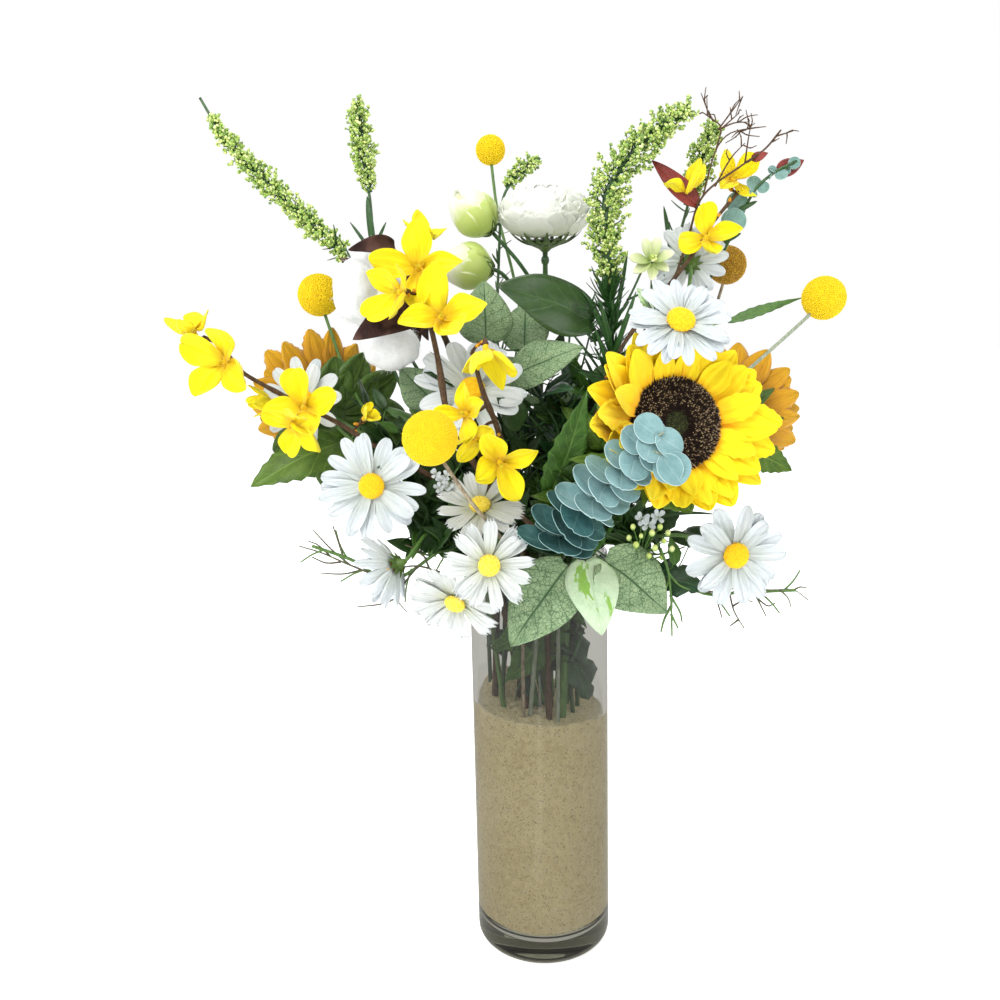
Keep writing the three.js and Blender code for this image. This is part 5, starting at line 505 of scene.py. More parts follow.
def lathe(M, prof, seg, c=(0, 0, 0), n=(0, 0, 1), mat=0, jitter=None, share=None):
    """A closed body of revolution whose profile starts and ends on the axis."""
    n = unit(n)
    u, w = across(n) if abs(n[2]) < 0.999 else (V(1, 0, 0), V(0, 1, 0))
    ang = np.linspace(0, 2 * np.pi, seg, endpoint=False)
    c = np.asarray(c, float)
    prof = list(prof)
    v = [c + n * prof[0][1]]
    for k, (r, h) in enumerate(prof[1:-1]):
        for a in ang:
            rr, hh = (r, h) if jitter is None else jitter(r, h, a, k)
            v.append(c + (u * math.cos(a) + w * math.sin(a)) * rr + n * hh)
    v.append(c + n * prof[-1][1])
    f, m_ = [], len(prof) - 2
    for j in range(seg):
        k = (j + 1) % seg
        f.append((0, 1 + k, 1 + j))
        for i in range(m_ - 1):
            a, b = 1 + i * seg, 1 + (i + 1) * seg
            f.append((a + j, a + k, b + k, b + j))
        f.append((1 + (m_ - 1) * seg + j, 1 + (m_ - 1) * seg + k, len(v) - 1))
    sh = np.r_[0, np.repeat(np.linspace(0, 1, m_), seg), 1] if share is None else share
    M.add(np.array(v), f, None, sh, 0, mat)



# --------------------------------------------------------------- materials
class Mat:
    """A material with small helpers for its nodes."""

    def __init__(self, name, rough=0.6, spec=0.5, **extra):
        self.m = bpy.data.materials.new(name)
        self.m.use_nodes = True
        self.t = self.m.node_tree
        self.b = self.t.nodes["Principled BSDF"]
        self.b.inputs["Roughness"].default_value = rough
        self.b.inputs["Specular IOR Level"].default_value = spec
        for k, v in extra.items():
            self.b.inputs[k.replace("_", " ")].default_value = v

    def put(self, sock, val):
        if isinstance(val, bpy.types.NodeSocket):
            self.t.links.new(val, sock)
        elif isinstance(val, (tuple, list)) and len(val) == 3 and sock.type == "RGBA":
            sock.default_value = (*val, 1)
        else:
            sock.default_value = val

    def new(self, kind, **props):
        n = self.t.nodes.new(kind)
        for k, v in props.items():
            setattr(n, k, v)
        return n

    def obj(self):
        return self.new("ShaderNodeTexCoord").outputs["Object"]

    def uv(self):
        return self.new("ShaderNodeUVMap", uv_map="leafmap").outputs["UV"]

    def attr(self, name):
        return self.new("ShaderNodeAttribute", attribute_name=name).outputs["Fac"]

    def sep(self, vec):
        n = self.new("ShaderNodeSeparateXYZ")
        self.put(n.inputs[0], vec)
        return n.outputs[0], n.outputs[1], n.outputs[2]

    def comb(self, x, y, z=0.0):
        n = self.new("ShaderNodeCombineXYZ")
        for i, q in enumerate((x, y, z)):
            self.put(n.inputs[i], q)
        return n.outputs[0]

    def op(self, kind, a, b=0.0, clamp=False):
        n = self.new("ShaderNodeMath", operation=kind, use_clamp=clamp)
        self.put(n.inputs[0], a)
        self.put(n.inputs[1], b)
        return n.outputs[0]

    def noise(self, vec, scale, detail=3.0, rough=0.55, dist=0.0):
        n = self.new("ShaderNodeTexNoise")
        self.put(n.inputs["Vector"], vec)
        n.inputs["Scale"].default_value = scale
        n.inputs["Detail"].default_value = detail
        n.inputs["Roughness"].default_value = rough
        n.inputs["Distortion"].default_value = dist
        return n.outputs[0]

    def cells(self, vec, scale, feature="F1"):
        n = self.new("ShaderNodeTexVoronoi", feature=feature)
        self.put(n.inputs["Vector"], vec)
        n.inputs["Scale"].default_value = scale
        return n.outputs["Distance"]

    def cellcolor(self, vec, scale):
        n = self.new("ShaderNodeTexVoronoi", feature="F1")
        self.put(n.inputs["Vector"], vec)
        n.inputs["Scale"].default_value = scale
        return n.outputs["Color"]

    def ramp(self, fac, stops, ease="LINEAR"):
        n = self.new("ShaderNodeValToRGB")
        n.color_ramp.interpolation = ease
        e = n.color_ramp.elements
        while len(e) < len(stops):
            e.new(0.5)
        for i, (p, c) in enumerate(stops):
            e[i].position = p
            e[i].color = (*c, 1) if not isinstance(c, (int, float)) else (c, c, c, 1)
        self.put(n.inputs[0], fac)
        return n.outputs[0]

    def mix(self, fac, a, b, mode="MIX"):
        n = self.new("ShaderNodeMixRGB", blend_type=mode)
        self.put(n.inputs[0], fac)
        self.put(n.inputs[1], a)
        self.put(n.inputs[2], b)
        return n.outputs[0]

    def color(self, c):
        self.put(self.b.inputs["Base Color"], c)
        return self

    def rough(self, r):
        self.put(self.b.inputs["Roughness"], r)
        return self

    def bump(self, height, strength=0.4, dist=0.0005, chain=None):
        n = self.new("ShaderNodeBump")
        n.inputs["Strength"].default_value = strength
        n.inputs["Distance"].default_value = dist
        self.put(n.inputs["Height"], height)
        if chain is not None:
            self.put(n.inputs["Normal"], chain)
        self.put(self.b.inputs["Normal"], n.outputs[0])
        return n.outputs[0]


def petal_mat(name, base, mid, tip, rough=0.55, crease_shade=0.35, crease=0.5, crease_shade_colour=None, sheen=0.15, p0=0.12, p1=0.45):
    """Cloth petal: colour runs from the base to the tip, with fine creases along it; the creases are bumped and
    darkened with painted crease shade.
    """
    q = Mat(name, rough=rough, spec=0.25)
    q.b.inputs["Sheen Weight"].default_value = sheen
    uv = q.uv()
    x, y, _ = q.sep(uv)
    o = q.obj()
    wob = q.noise(o, 90, 2)
    yy = q.op("ADD", y, q.op("MULTIPLY", q.op("SUBTRACT", wob, 0.5), 0.28))
    col = q.ramp(yy, [(p0 * 0.3, base), (p1, mid), (0.92, tip)])
    ch = q.attr("chance")
    lines = q.noise(q.comb(q.op("MULTIPLY", x, 9.0), q.op("MULTIPLY", y, 0.9), q.op("MULTIPLY", ch, 31.0)), 2.2, 3, 0.6)
    dark = q.ramp(lines, [(0.38, 0.0), (0.62, 1.0)])
    # painted crease shade: along the crease lines the colour turns to the darker crease shade colour
    col = q.mix(q.op("MULTIPLY", q.op("SUBTRACT", 1.0, dark), crease_shade), col, base if crease_shade_colour is None else crease_shade_colour)
    weave = q.noise(o, 2600, 2)
    col = q.mix(0.10, col, q.ramp(weave, [(0.3, 0.2), (0.7, 1.0)]), "MULTIPLY")
    q.color(col)
    q.rough(q.op("ADD", q.op("MULTIPLY", lines, 0.18), rough - 0.08))
    n1 = q.bump(lines, crease, 0.0012)
    q.bump(weave, 0.15, 0.0002, n1)
    return q.m


def leaf_mat(name, ground, dark, vein, vein_amt=0.8, net=0.0, rough=0.5, spec=0.4, side=7.0, slope=2.2, netscale=9.0, patch=None, patch_at=0.56, line=0.05, rim=None, coat=0.0):
    """Leaf: midrib, side veins and a fine vein net over a mottled ground."""
    q = Mat(name, rough=rough, spec=spec)
    q.b.inputs["Coat Weight"].default_value = coat
    uv = q.uv()
    x, y, _ = q.sep(uv)
    o = q.obj()
    ch = q.attr("chance")
    ax = q.op("MULTIPLY", q.op("ABSOLUTE", q.op("SUBTRACT", x, 0.5)), 2.0)
    mott = q.noise(o, 140, 4, 0.6)
    col = q.mix(q.ramp(mott, [(0.35, 0.0), (0.68, 1.0)]), ground, dark)
    fine = q.noise(o, 1500, 3, 0.6)
    col = q.mix(0.18, col, q.ramp(fine, [(0.3, 0.35), (0.7, 1.0)]), "MULTIPLY")
    if patch is not None:
        pn = q.noise(q.comb(q.op("MULTIPLY", x, 2.6), q.op("MULTIPLY", y, 1.6), q.op("MULTIPLY", ch, 17.0)), 1.6, 3, 0.6, 0.6)
        col = q.mix(q.ramp(pn, [(patch_at, 0.0), (patch_at + 0.05, 1.0)]), col, patch)
    wob = q.op("MULTIPLY", q.op("SUBTRACT", q.noise(o, 160, 2), 0.5), 0.10)
    mid = q.ramp(q.op("ADD", ax, q.op("MULTIPLY", wob, 0.3)), [(line * 0.5, 1.0), (line * 1.6, 0.0)])
    ph = q.op("FRACT", q.op("SUBTRACT", q.op("MULTIPLY", q.op("ADD", y, wob), side), q.op("MULTIPLY", ax, slope)))
    sv = q.ramp(q.op("ABSOLUTE", q.op("SUBTRACT", ph, 0.5)), [(line * 0.55, 1.0), (line * 1.5, 0.0)])
    veins = q.op("MAXIMUM", mid, q.op("MULTIPLY", sv, 0.75))
    if net > 0:
        nv = q.cells(q.comb(q.op("MULTIPLY", x, 1.0), q.op("MULTIPLY", y, 1.5), q.op("MULTIPLY", ch, 5.0)), netscale, "DISTANCE_TO_EDGE")
        nl = q.ramp(nv, [(0.02, 1.0), (0.09, 0.0)])
        veins = q.op("MAXIMUM", veins, q.op("MULTIPLY", nl, net))
    col = q.mix(q.op("MULTIPLY", veins, vein_amt), col, vein)
    if rim is not None:
        ey = q.op("MINIMUM", q.op("SUBTRACT", 1.0, ax), q.op("MULTIPLY", q.op("SUBTRACT", 1.0, y), 2.0))
        col = q.mix(q.ramp(ey, [(0.02, 0.8), (0.12, 0.0)]), col, rim)
    q.color(col)
    q.rough(q.op("ADD", q.op("MULTIPLY", fine, 0.25), rough - 0.12))
    n1 = q.bump(q.op("SUBTRACT", 1.0, veins), 0.45, 0.0006)
    q.bump(fine, 0.12, 0.0003, n1)
    return q.m


def bark_mat(name, a, b, c=None, rough=0.7, scale=500, stretch=0.25, bump=0.5, spec=0.3):
    q = Mat(name, rough=rough, spec=spec)
    o = q.obj()
    x, y, z = q.sep(o)
    v = q.comb(x, y, q.op("MULTIPLY", z, stretch))
    n = q.noise(v, scale, 5, 0.65)
    big = q.noise(o, scale * 0.14, 2)
    col = q.ramp(n, [(0.32, a), (0.66, b)])
    if c is not None:
        col = q.mix(q.ramp(big, [(0.45, 0.0), (0.62, 1.0)]), col, c)
    q.color(col)
    q.rough(q.op("ADD", q.op("MULTIPLY", n, 0.3), rough - 0.15))
    q.bump(n, bump, 0.0006)
    return q.m


def grain_mat(name, stops, chance_mix=0.5, rough=0.75, scale=1400, bump=0.5, spec=0.25, low=None, sheen=0.0, dist=0.0005):
    """Small grains: each has its own tone, and is darker at its foot, a painted shade where the grains crowd together.
    """
    q = Mat(name, rough=rough, spec=spec)
    q.b.inputs["Sheen Weight"].default_value = sheen
    o = q.obj()
    n = q.noise(o, scale, 4, 0.6)
    ch = q.attr("chance")
    f = q.op("ADD", q.op("MULTIPLY", ch, chance_mix), q.op("MULTIPLY", n, 1 - chance_mix))
    col = q.ramp(f, stops)
    # painted shade: the foot of each grain turns to the given darker colour
    if low is not None:
        col = q.mix(q.ramp(q.attr("share"), [(0.15, 1.0), (0.7, 0.0)]), col, low)
    q.color(col)
    q.bump(n, bump, dist)
    return q.m


G = {}
# each petal colour below carries painted crease shade, given as its strength and its darker colour
G["sun_petal"] = petal_mat("sunflower_petal", (1.0, 0.42, 0.001), (1.0, 0.73, 0.002), (1.0, 0.83, 0.006), crease_shade=0.13, crease_shade_colour=(1.0, 0.56, 0.001), p1=0.25, crease=0.5)
# the two heads behind get a darker brown-orange copy of the sunflower petal colour: painted shade
G["sun_petal_back"] = petal_mat("sunflower_petal_painted_shade", (0.30, 0.11, 0.004), (0.64, 0.32, 0.004), (0.80, 0.47, 0.006), crease_shade=0.45, crease_shade_colour=(0.42, 0.17, 0.004), crease=1.0)
G["daisy_white"] = petal_mat("daisy_petal", (0.60, 0.65, 0.58), (0.75, 0.80, 0.82), (0.82, 0.87, 0.895), crease_shade=0.34, crease_shade_colour=(0.54, 0.63, 0.70), crease=0.9, sheen=0.05)
G["daisy_cream"] = petal_mat("daisy_petal_cream", (0.56, 0.60, 0.38), (0.72, 0.76, 0.72), (0.80, 0.84, 0.84), crease_shade=0.30, crease_shade_colour=(0.60, 0.64, 0.62), crease=0.9, sheen=0.05)
G["forsythia"] = petal_mat("forsythia_petal", (0.74, 0.46, 0.001), (0.96, 0.80, 0.002), (1.0, 0.89, 0.004), crease_shade=0.26, crease_shade_colour=(0.78, 0.58, 0.001), crease=0.8, p0=0.05, p1=0.26)
G["ranunculus"] = petal_mat("ranunculus_petal", (0.42, 0.48, 0.30), (0.62, 0.65, 0.55), (0.76, 0.78, 0.73), crease_shade=0.16, crease_shade_colour=(0.64, 0.66, 0.58), crease=0.6, sheen=0.05)
G["bud_outer"] = petal_mat("ranunculus_bud_outer", (0.36, 0.47, 0.095), (0.47, 0.56, 0.16), (0.82, 0.83, 0.66), rough=0.30, crease_shade=0.15, crease_shade_colour=(0.42, 0.58, 0.20), crease=0.3, sheen=0.0, p1=0.62)
G["bud"] = petal_mat("ranunculus_bud_petal", (0.34, 0.45, 0.12), (0.68, 0.72, 0.44), (0.84, 0.85, 0.76), rough=0.34, crease_shade=0.22, crease_shade_colour=(0.42, 0.56, 0.20), crease=0.35, sheen=0.0, p1=0.5)
G["green_stem"] = bark_mat("green_stem", (0.050, 0.120, 0.022), (0.12, 0.24, 0.05), rough=0.45, scale=700, stretch=0.08, bump=0.3, spec=0.5)
G["dark_stem"] = bark_mat("dark_green_stem", (0.018, 0.055, 0.014), (0.045, 0.12, 0.03), rough=0.4, scale=700, stretch=0.08, bump=0.3, spec=0.5)
G["brown_stem"] = bark_mat("brown_twig", (0.035, 0.018, 0.010), (0.13, 0.075, 0.040), rough=0.75, scale=900, stretch=0.3, bump=0.8)
G["tan_stem"] = bark_mat("tan_stem", (0.20, 0.15, 0.09), (0.42, 0.36, 0.26), (0.12, 0.09, 0.06), rough=0.8, scale=900, stretch=0.2, bump=0.6)
G["twig_green"] = bark_mat("twig_grey_green", (0.055, 0.070, 0.035), (0.17, 0.19, 0.11), (0.10, 0.07, 0.05), rough=0.75, scale=900, stretch=0.3, bump=0.5)
G["grey_stem"] = bark_mat("grey_green_stem", (0.16, 0.20, 0.14), (0.36, 0.40, 0.30), rough=0.65, scale=800, stretch=0.1, bump=0.3)
G["calyx"] = leaf_mat("calyx_green", (0.075, 0.145, 0.016), (0.035, 0.080, 0.010), (0.13, 0.22, 0.04), vein_amt=0.5, side=5, rough=0.45)
G["sunleaf"] = leaf_mat("sunflower_leaf", (0.100, 0.190, 0.018), (0.050, 0.112, 0.010), (0.19, 0.30, 0.05), vein_amt=0.6, side=6, slope=1.6, rough=0.45, line=0.045)
G["deep"] = leaf_mat("deep_leaf", (0.022, 0.066, 0.010), (0.011, 0.036, 0.006), (0.045, 0.11, 0.02), vein_amt=0.45, side=6, slope=1.8, rough=0.45, line=0.04)
G["broad"] = leaf_mat("broad_leaf", (0.034, 0.080, 0.018), (0.024, 0.056, 0.013), (0.060, 0.12, 0.035), vein_amt=0.45, side=6, slope=1.8, rough=0.36, spec=0.5, line=0.03)
G["veined"] = leaf_mat("veined_leaf", (0.34, 0.46, 0.26), (0.22, 0.34, 0.18), (0.025, 0.080, 0.028), vein_amt=0.92, net=0.80, netscale=17, side=6, slope=1.4, rough=0.6, spec=0.25, line=0.032)
G["pale"] = leaf_mat("variegated_leaf", (0.58, 0.72, 0.50), (0.48, 0.64, 0.42), (0.36, 0.52, 0.28), vein_amt=0.5, net=0.25, side=6, slope=1.5, rough=0.5, patch=(0.22, 0.42, 0.06), line=0.035)
G["blue"] = leaf_mat("blue_leaf", (0.20, 0.33, 0.29), (0.13, 0.24, 0.21), (0.030, 0.075, 0.065), vein_amt=0.85, net=0.6, side=6, rough=0.5, line=0.04)
G["serrate"] = leaf_mat("toothed_leaf", (0.075, 0.19, 0.028), (0.038, 0.11, 0.014), (0.17, 0.30, 0.07), vein_amt=0.6, side=9, slope=1.6, rough=0.42, line=0.05)
G["ivy"] = leaf_mat("ivy_leaf", (0.018, 0.070, 0.022), (0.010, 0.042, 0.014), (0.07, 0.17, 0.06), vein_amt=0.6, side=4, slope=2.4, rough=0.36, line=0.035, spec=0.5)
G["grass"] = leaf_mat("grass_blade", (0.020, 0.085, 0.014), (0.012, 0.050, 0.010), (0.05, 0.15, 0.03), vein_amt=0.5, side=0.01, rough=0.34, line=0.12, spec=0.5)
G["euc"] = leaf_mat("eucalyptus_front_leaf", (0.25, 0.41, 0.42), (0.17, 0.32, 0.33), (0.36, 0.53, 0.53), vein_amt=0.40, side=5, slope=1.4, rough=0.62, spec=0.25, rim=(0.58, 0.74, 0.74), line=0.03)
G["euc_low"] = leaf_mat("eucalyptus_low_leaf", (0.060, 0.165, 0.165), (0.030, 0.100, 0.100), (0.13, 0.27, 0.26), vein_amt=0.35, side=5, slope=1.4, rough=0.58, spec=0.25, rim=(0.36, 0.56, 0.55), line=0.03)
G["euc_back"] = leaf_mat("eucalyptus_back_leaf", (0.22, 0.38, 0.35), (0.14, 0.27, 0.24), (0.33, 0.48, 0.44), vein_amt=0.35, side=5, rough=0.6, spec=0.25, rim=(0.40, 0.55, 0.50), line=0.04)
G["maroon"] = leaf_mat("maroon_leaf", (0.26, 0.030, 0.022), (0.13, 0.018, 0.016), (0.40, 0.09, 0.05), vein_amt=0.5, side=6, rough=0.5, line=0.05)
G["husk"] = bark_mat("cotton_husk_brown", (0.014, 0.005, 0.005), (0.042, 0.016, 0.013), (0.085, 0.040, 0.032), rough=0.9, scale=420, stretch=0.35, bump=1.0)
# the low colours below are painted shade at the foot of the grains
G["eye"] = grain_mat("daisy_eye", [(0.25, (0.94, 0.54, 0.003)), (0.5, (1.0, 0.66, 0.004)), (0.8, (1.0, 0.76, 0.02))], rough=0.9, scale=2200, sheen=0.2, low=(0.80, 0.34, 0.003))
G["eye_lemon"] = grain_mat("daisy_eye_lemon", [(0.25, (0.80, 0.56, 0.02)), (0.5, (0.98, 0.80, 0.06)), (0.8, (1.0, 0.88, 0.20))], rough=0.9, scale=2200, sheen=0.4, low=(0.75, 0.50, 0.02))
G["ball"] = grain_mat("craspedia_gold", [(0.2, (0.78, 0.55, 0.004)), (0.5, (0.82, 0.60, 0.005)), (0.85, (0.86, 0.65, 0.008))], rough=0.85, scale=2600, low=(0.79, 0.56, 0.004), sheen=0.1)
# a darker brown copy of the craspedia gold for craspedia_3: painted shade on the ball that sits in shadow
G["ball_brown"] = grain_mat("craspedia_painted_shade", [(0.2, (0.24, 0.11, 0.005)), (0.5, (0.48, 0.26, 0.010)), (0.85, (0.66, 0.42, 0.03))], rough=0.85, scale=2600, low=(0.14, 0.06, 0.004), sheen=0.2)
G["berry"] = grain_mat("berry_bead", [(0.1, (0.34, 0.48, 0.08)), (0.5, (0.60, 0.70, 0.20)), (0.9, (0.80, 0.85, 0.42))], chance_mix=0.85, rough=0.5, scale=1200, bump=0.2, spec=0.4, low=(0.20, 0.36, 0.06))
G["berry_dark"] = grain_mat("berry_bead_dark", [(0.1, (0.14, 0.26, 0.05)), (0.5, (0.30, 0.44, 0.12)), (0.9, (0.50, 0.62, 0.22))], chance_mix=0.85, rough=0.5, scale=1200, bump=0.2, spec=0.4, low=(0.10, 0.20, 0.04))

# seed disc: dark florets, some with beige tips
q = Mat("sunflower_disc", rough=0.75, spec=0.3)
ch, sh = q.attr("chance"), q.attr("share")
body = q.ramp(ch, [(0.0, (0.008, 0.004, 0.003)), (0.6, (0.018, 0.008, 0.006)), (1.0, (0.045, 0.020, 0.012))])
tipc = q.ramp(ch, [(0.45, (0.025, 0.012, 0.008)), (0.62, (0.22, 0.15, 0.08)), (0.95, (0.60, 0.46, 0.28))])
q.color(q.mix(q.ramp(sh, [(0.55, 0.0), (0.95, 1.0)]), body, tipc))
q.bump(q.noise(q.obj(), 2500, 3), 0.4, 0.0003)
G["disc"] = q.m
G["disc_green"] = grain_mat("sunflower_disc_centre", [(0.2, (0.020, 0.030, 0.008)), (0.6, (0.045, 0.065, 0.014)), (1.0, (0.09, 0.12, 0.03))], chance_mix=0.8, rough=0.7)
G["disc_base"] = grain_mat("sunflower_disc_base", [(0.2, (0.010, 0.006, 0.004)), (0.8, (0.03, 0.016, 0.01))], chance_mix=0.2, rough=0.9)
G["fringe"] = petal_mat("sunflower_fringe", (0.30, 0.09, 0.004), (0.75, 0.28, 0.004), (0.95, 0.50, 0.006), crease_shade=0.4)

# cotton: white fluff
q = Mat("cotton_fluff", rough=0.95, spec=0.1)
q.b.inputs["Sheen Weight"].default_value = 0.12
q.b.inputs["Sheen Roughness"].default_value = 0.6
o = q.obj()
n = q.noise(o, 260, 6, 0.7, 0.8)
fib = q.noise(o, 1800, 4, 0.7, 1.5)
q.color(q.mix(q.ramp(n, [(0.30, 1.0), (0.52, 0.0)]), (0.735, 0.757, 0.772), (0.63, 0.658, 0.68)))
n1 = q.bump(n, 0.25, 0.002)
q.bump(fib, 0.35, 0.0005, n1)
G["cotton"] = q.m
q = Mat("cotton_fibre", rough=0.9, spec=0.1)
q.color(q.mix(q.noise(q.obj(), 500, 2), (0.72, 0.742, 0.757), (0.80, 0.812, 0.822)))
G["fibre"] = q.m

# sand: beige grains with darker and paler specks
q = Mat("sand", rough=0.95, spec=0.2)
o = q.obj()
big = q.noise(o, 16, 4, 0.6)
mid_ = q.noise(o, 190, 4, 0.65)
col = q.ramp(q.op("ADD", q.op("MULTIPLY", big, 0.45), q.op("MULTIPLY", mid_, 0.55)), [(0.38, (0.76, 0.635, 0.355)), (0.50, (0.86, 0.735, 0.44)), (0.64, (0.93, 0.81, 0.53))])
gr = q.cellcolor(o, 1150)
gx, gy, gz = q.sep(gr)
col = q.mix(q.ramp(gx, [(0.90, 0.0), (0.94, 0.60)]), col, (0.40, 0.30, 0.14))
col = q.mix(q.ramp(gy, [(0.84, 0.0), (0.90, 0.6)]), col, (0.95, 0.87, 0.66))
col = q.mix(0.18, col, q.ramp(gz, [(0.0, 0.55), (1.0, 1.0)]), "MULTIPLY")
pits = q.cells(o, 260)
col = q.mix(q.ramp(pits, [(0.05, 0.5), (0.16, 0.0)]), col, (0.24, 0.17, 0.10))
q.color(col)
n1 = q.bump(q.cells(o, 1500), 0.7, 0.0008)
q.bump(mid_, 0.35, 0.002, n1)
G["sand"] = q.m

# glass: clear, a little green-grey where it is thick
q = Mat("vase_glass", rough=0.0, spec=0.5)
q.b.inputs["Transmission Weight"].default_value = 1.0
q.b.inputs["IOR"].default_value = 1.5
q.b.inputs["Base Color"].default_value = (0.985, 0.995, 0.99, 1)
va = q.new("ShaderNodeVolumeAbsorption")
va.inputs["Color"].default_value = (0.40, 0.40, 0.30, 1)
va.inputs["Density"].default_value = 34.0
q.t.links.new(va.outputs[0], q.t.nodes["Material Output"].inputs["Volume"])
G["glass"] = q.m



# ---------------------------------------------------------- shape builders
def rng_for(name):
    return random.Random("arrangement " + name)


def nrand(r, k):
    return np.array([r.gauss(0, 1) for _ in range(k)])


def outline(kind, q):
    """Half width of a petal, as a share of its widest, at the share q of its length."""
    if kind == "sun":
        w = 0.42 + 0.58 * math.sin(math.pi / 2 * min(1, q / 0.50))
        return w * max(0.0, 1 - (max(0, q - 0.50) / 0.51) ** 1.9) ** 0.80 + 0.03
    if kind == "daisy":
        w = 0.40 + 0.60 * math.sin(math.pi / 2 * min(1, q / 0.66))
        return w * max(0.0, 1 - (max(0, q - 0.66) / 0.345) ** 2.3) ** 0.5 + 0.02
    if kind == "teeth":
        w = 0.36 + 0.64 * math.sin(math.pi / 2 * min(1, q / 0.72))
        return w * (1 - (max(0, q - 0.80) / 0.2) ** 2 * 0.42)
    if kind == "broad":
        w = 0.30 + 0.70 * math.sin(math.pi / 2 * min(1, q / 0.58)) ** 1.3
        return w * max(0.0, 1 - (max(0, q - 0.58) / 0.425) ** 2.1) ** 0.55 + 0.02
    if kind == "point":
        w = 0.34 + 0.66 * math.sin(math.pi / 2 * min(1, q / 0.52)) ** 1.2
        return w * max(0.0, 1 - (max(0, q - 0.52) / 0.485) ** 1.7) ** 0.75 + 0.02
    w = 0.75 + 0.25 * math.sin(math.pi / 2 * min(1, q / 0.3))
    return w * max(0.02, 1 - max(0, q - 0.25) / 0.75) ** 0.75


def petal(M, c, n, u_dir, r0, r1, width, rise0, rise1, curl=0.0, cup=0.25, tip="daisy", twist=0.0, side=0.0, crease=0.5, t=0.45,
          rows=12, cols=7, mat=0, rnd=0.0, wave=0.0, seed=0.0, lean=1.4):
    """One petal of a flower: from r0 to r1 out along u_dir, rising from rise0 to rise1 along n."""
    n, d = unit(n), unit(u_dir)
    s_dir = unit(np.cross(n, d))
    grid = np.zeros((rows, cols, 3))
    L = math.hypot(r1 - r0, rise1 - rise0)
    for i in range(rows):
        s = i / (rows - 1)
        q = math.sin(math.pi / 2 * s) ** 0.88 if tip in ("daisy", "broad", "sun", "point") else s
        w = width / 2 * outline(tip, q)
        r = r0 + (r1 - r0) * q
        h = rise0 + (rise1 - rise0) * (q ** lean) + curl * L * (q ** 2.2 - q)
        for j in range(cols):
            x = 2 * j / (cols - 1) - 1
            rr, ww = r, w * x
            if tip == "teeth" and q > 0.84:
                rr += 0.055 * L * (1 if j in (1, cols // 2, cols - 2) else -0.9) * (q - 0.84) / 0.16
            if tip == "sun" and abs(x) > 0.9 and 0.45 < q < 0.97:
                ww *= 1 + (0.10 if i % 2 else -0.06)
            lift = cup * w * x * x - crease * 0.10 * w * (math.cos(3 * math.pi * x) if cols > 5 else 0) * min(1, 3 * q)
            lift += wave * w * math.sin(5 * q + seed + 2.2 * x)
            ang = twist * q * q
            grid[i, j] = c + d * rr + s_dir * (ww * math.cos(ang) + side * q * q * L) + n * (h + lift + ww * math.sin(ang))
    sheet(M, grid, t, mat, rnd, np.zeros((rows, cols)))


def leaf_profile(kind, s):
    if kind in ("round",):
        return max(0.0, math.sin(math.pi * min(1, s * 0.98 + 0.02))) ** 0.62
    if kind == "grass":
        return (0.45 + 0.75 * s) * (1 - s) ** 0.6 * 1.35 if s < 1 else 0
    if kind == "husk":
        return max(0, math.sin(math.pi * (0.12 + 0.88 * s) ** 0.75)) ** 0.75
    if kind == "ivy":
        lobes = 0.58 + 0.42 * abs(math.cos(2.6 * math.pi * (s - 0.16)))
        return max(0, math.sin(math.pi * (0.10 + 0.90 * s) ** 0.62)) ** 0.6 * lobes
    if kind in ("broad",):
        return max(0, math.sin(math.pi * (0.04 + 0.96 * s) ** 0.78)) ** 0.85
    if kind == "serrate":
        return max(0, math.sin(math.pi * (0.03 + 0.97 * s) ** 0.72)) ** 1.0
    return max(0, math.sin(math.pi * (0.03 + 0.97 * s) ** 0.70)) ** 0.82


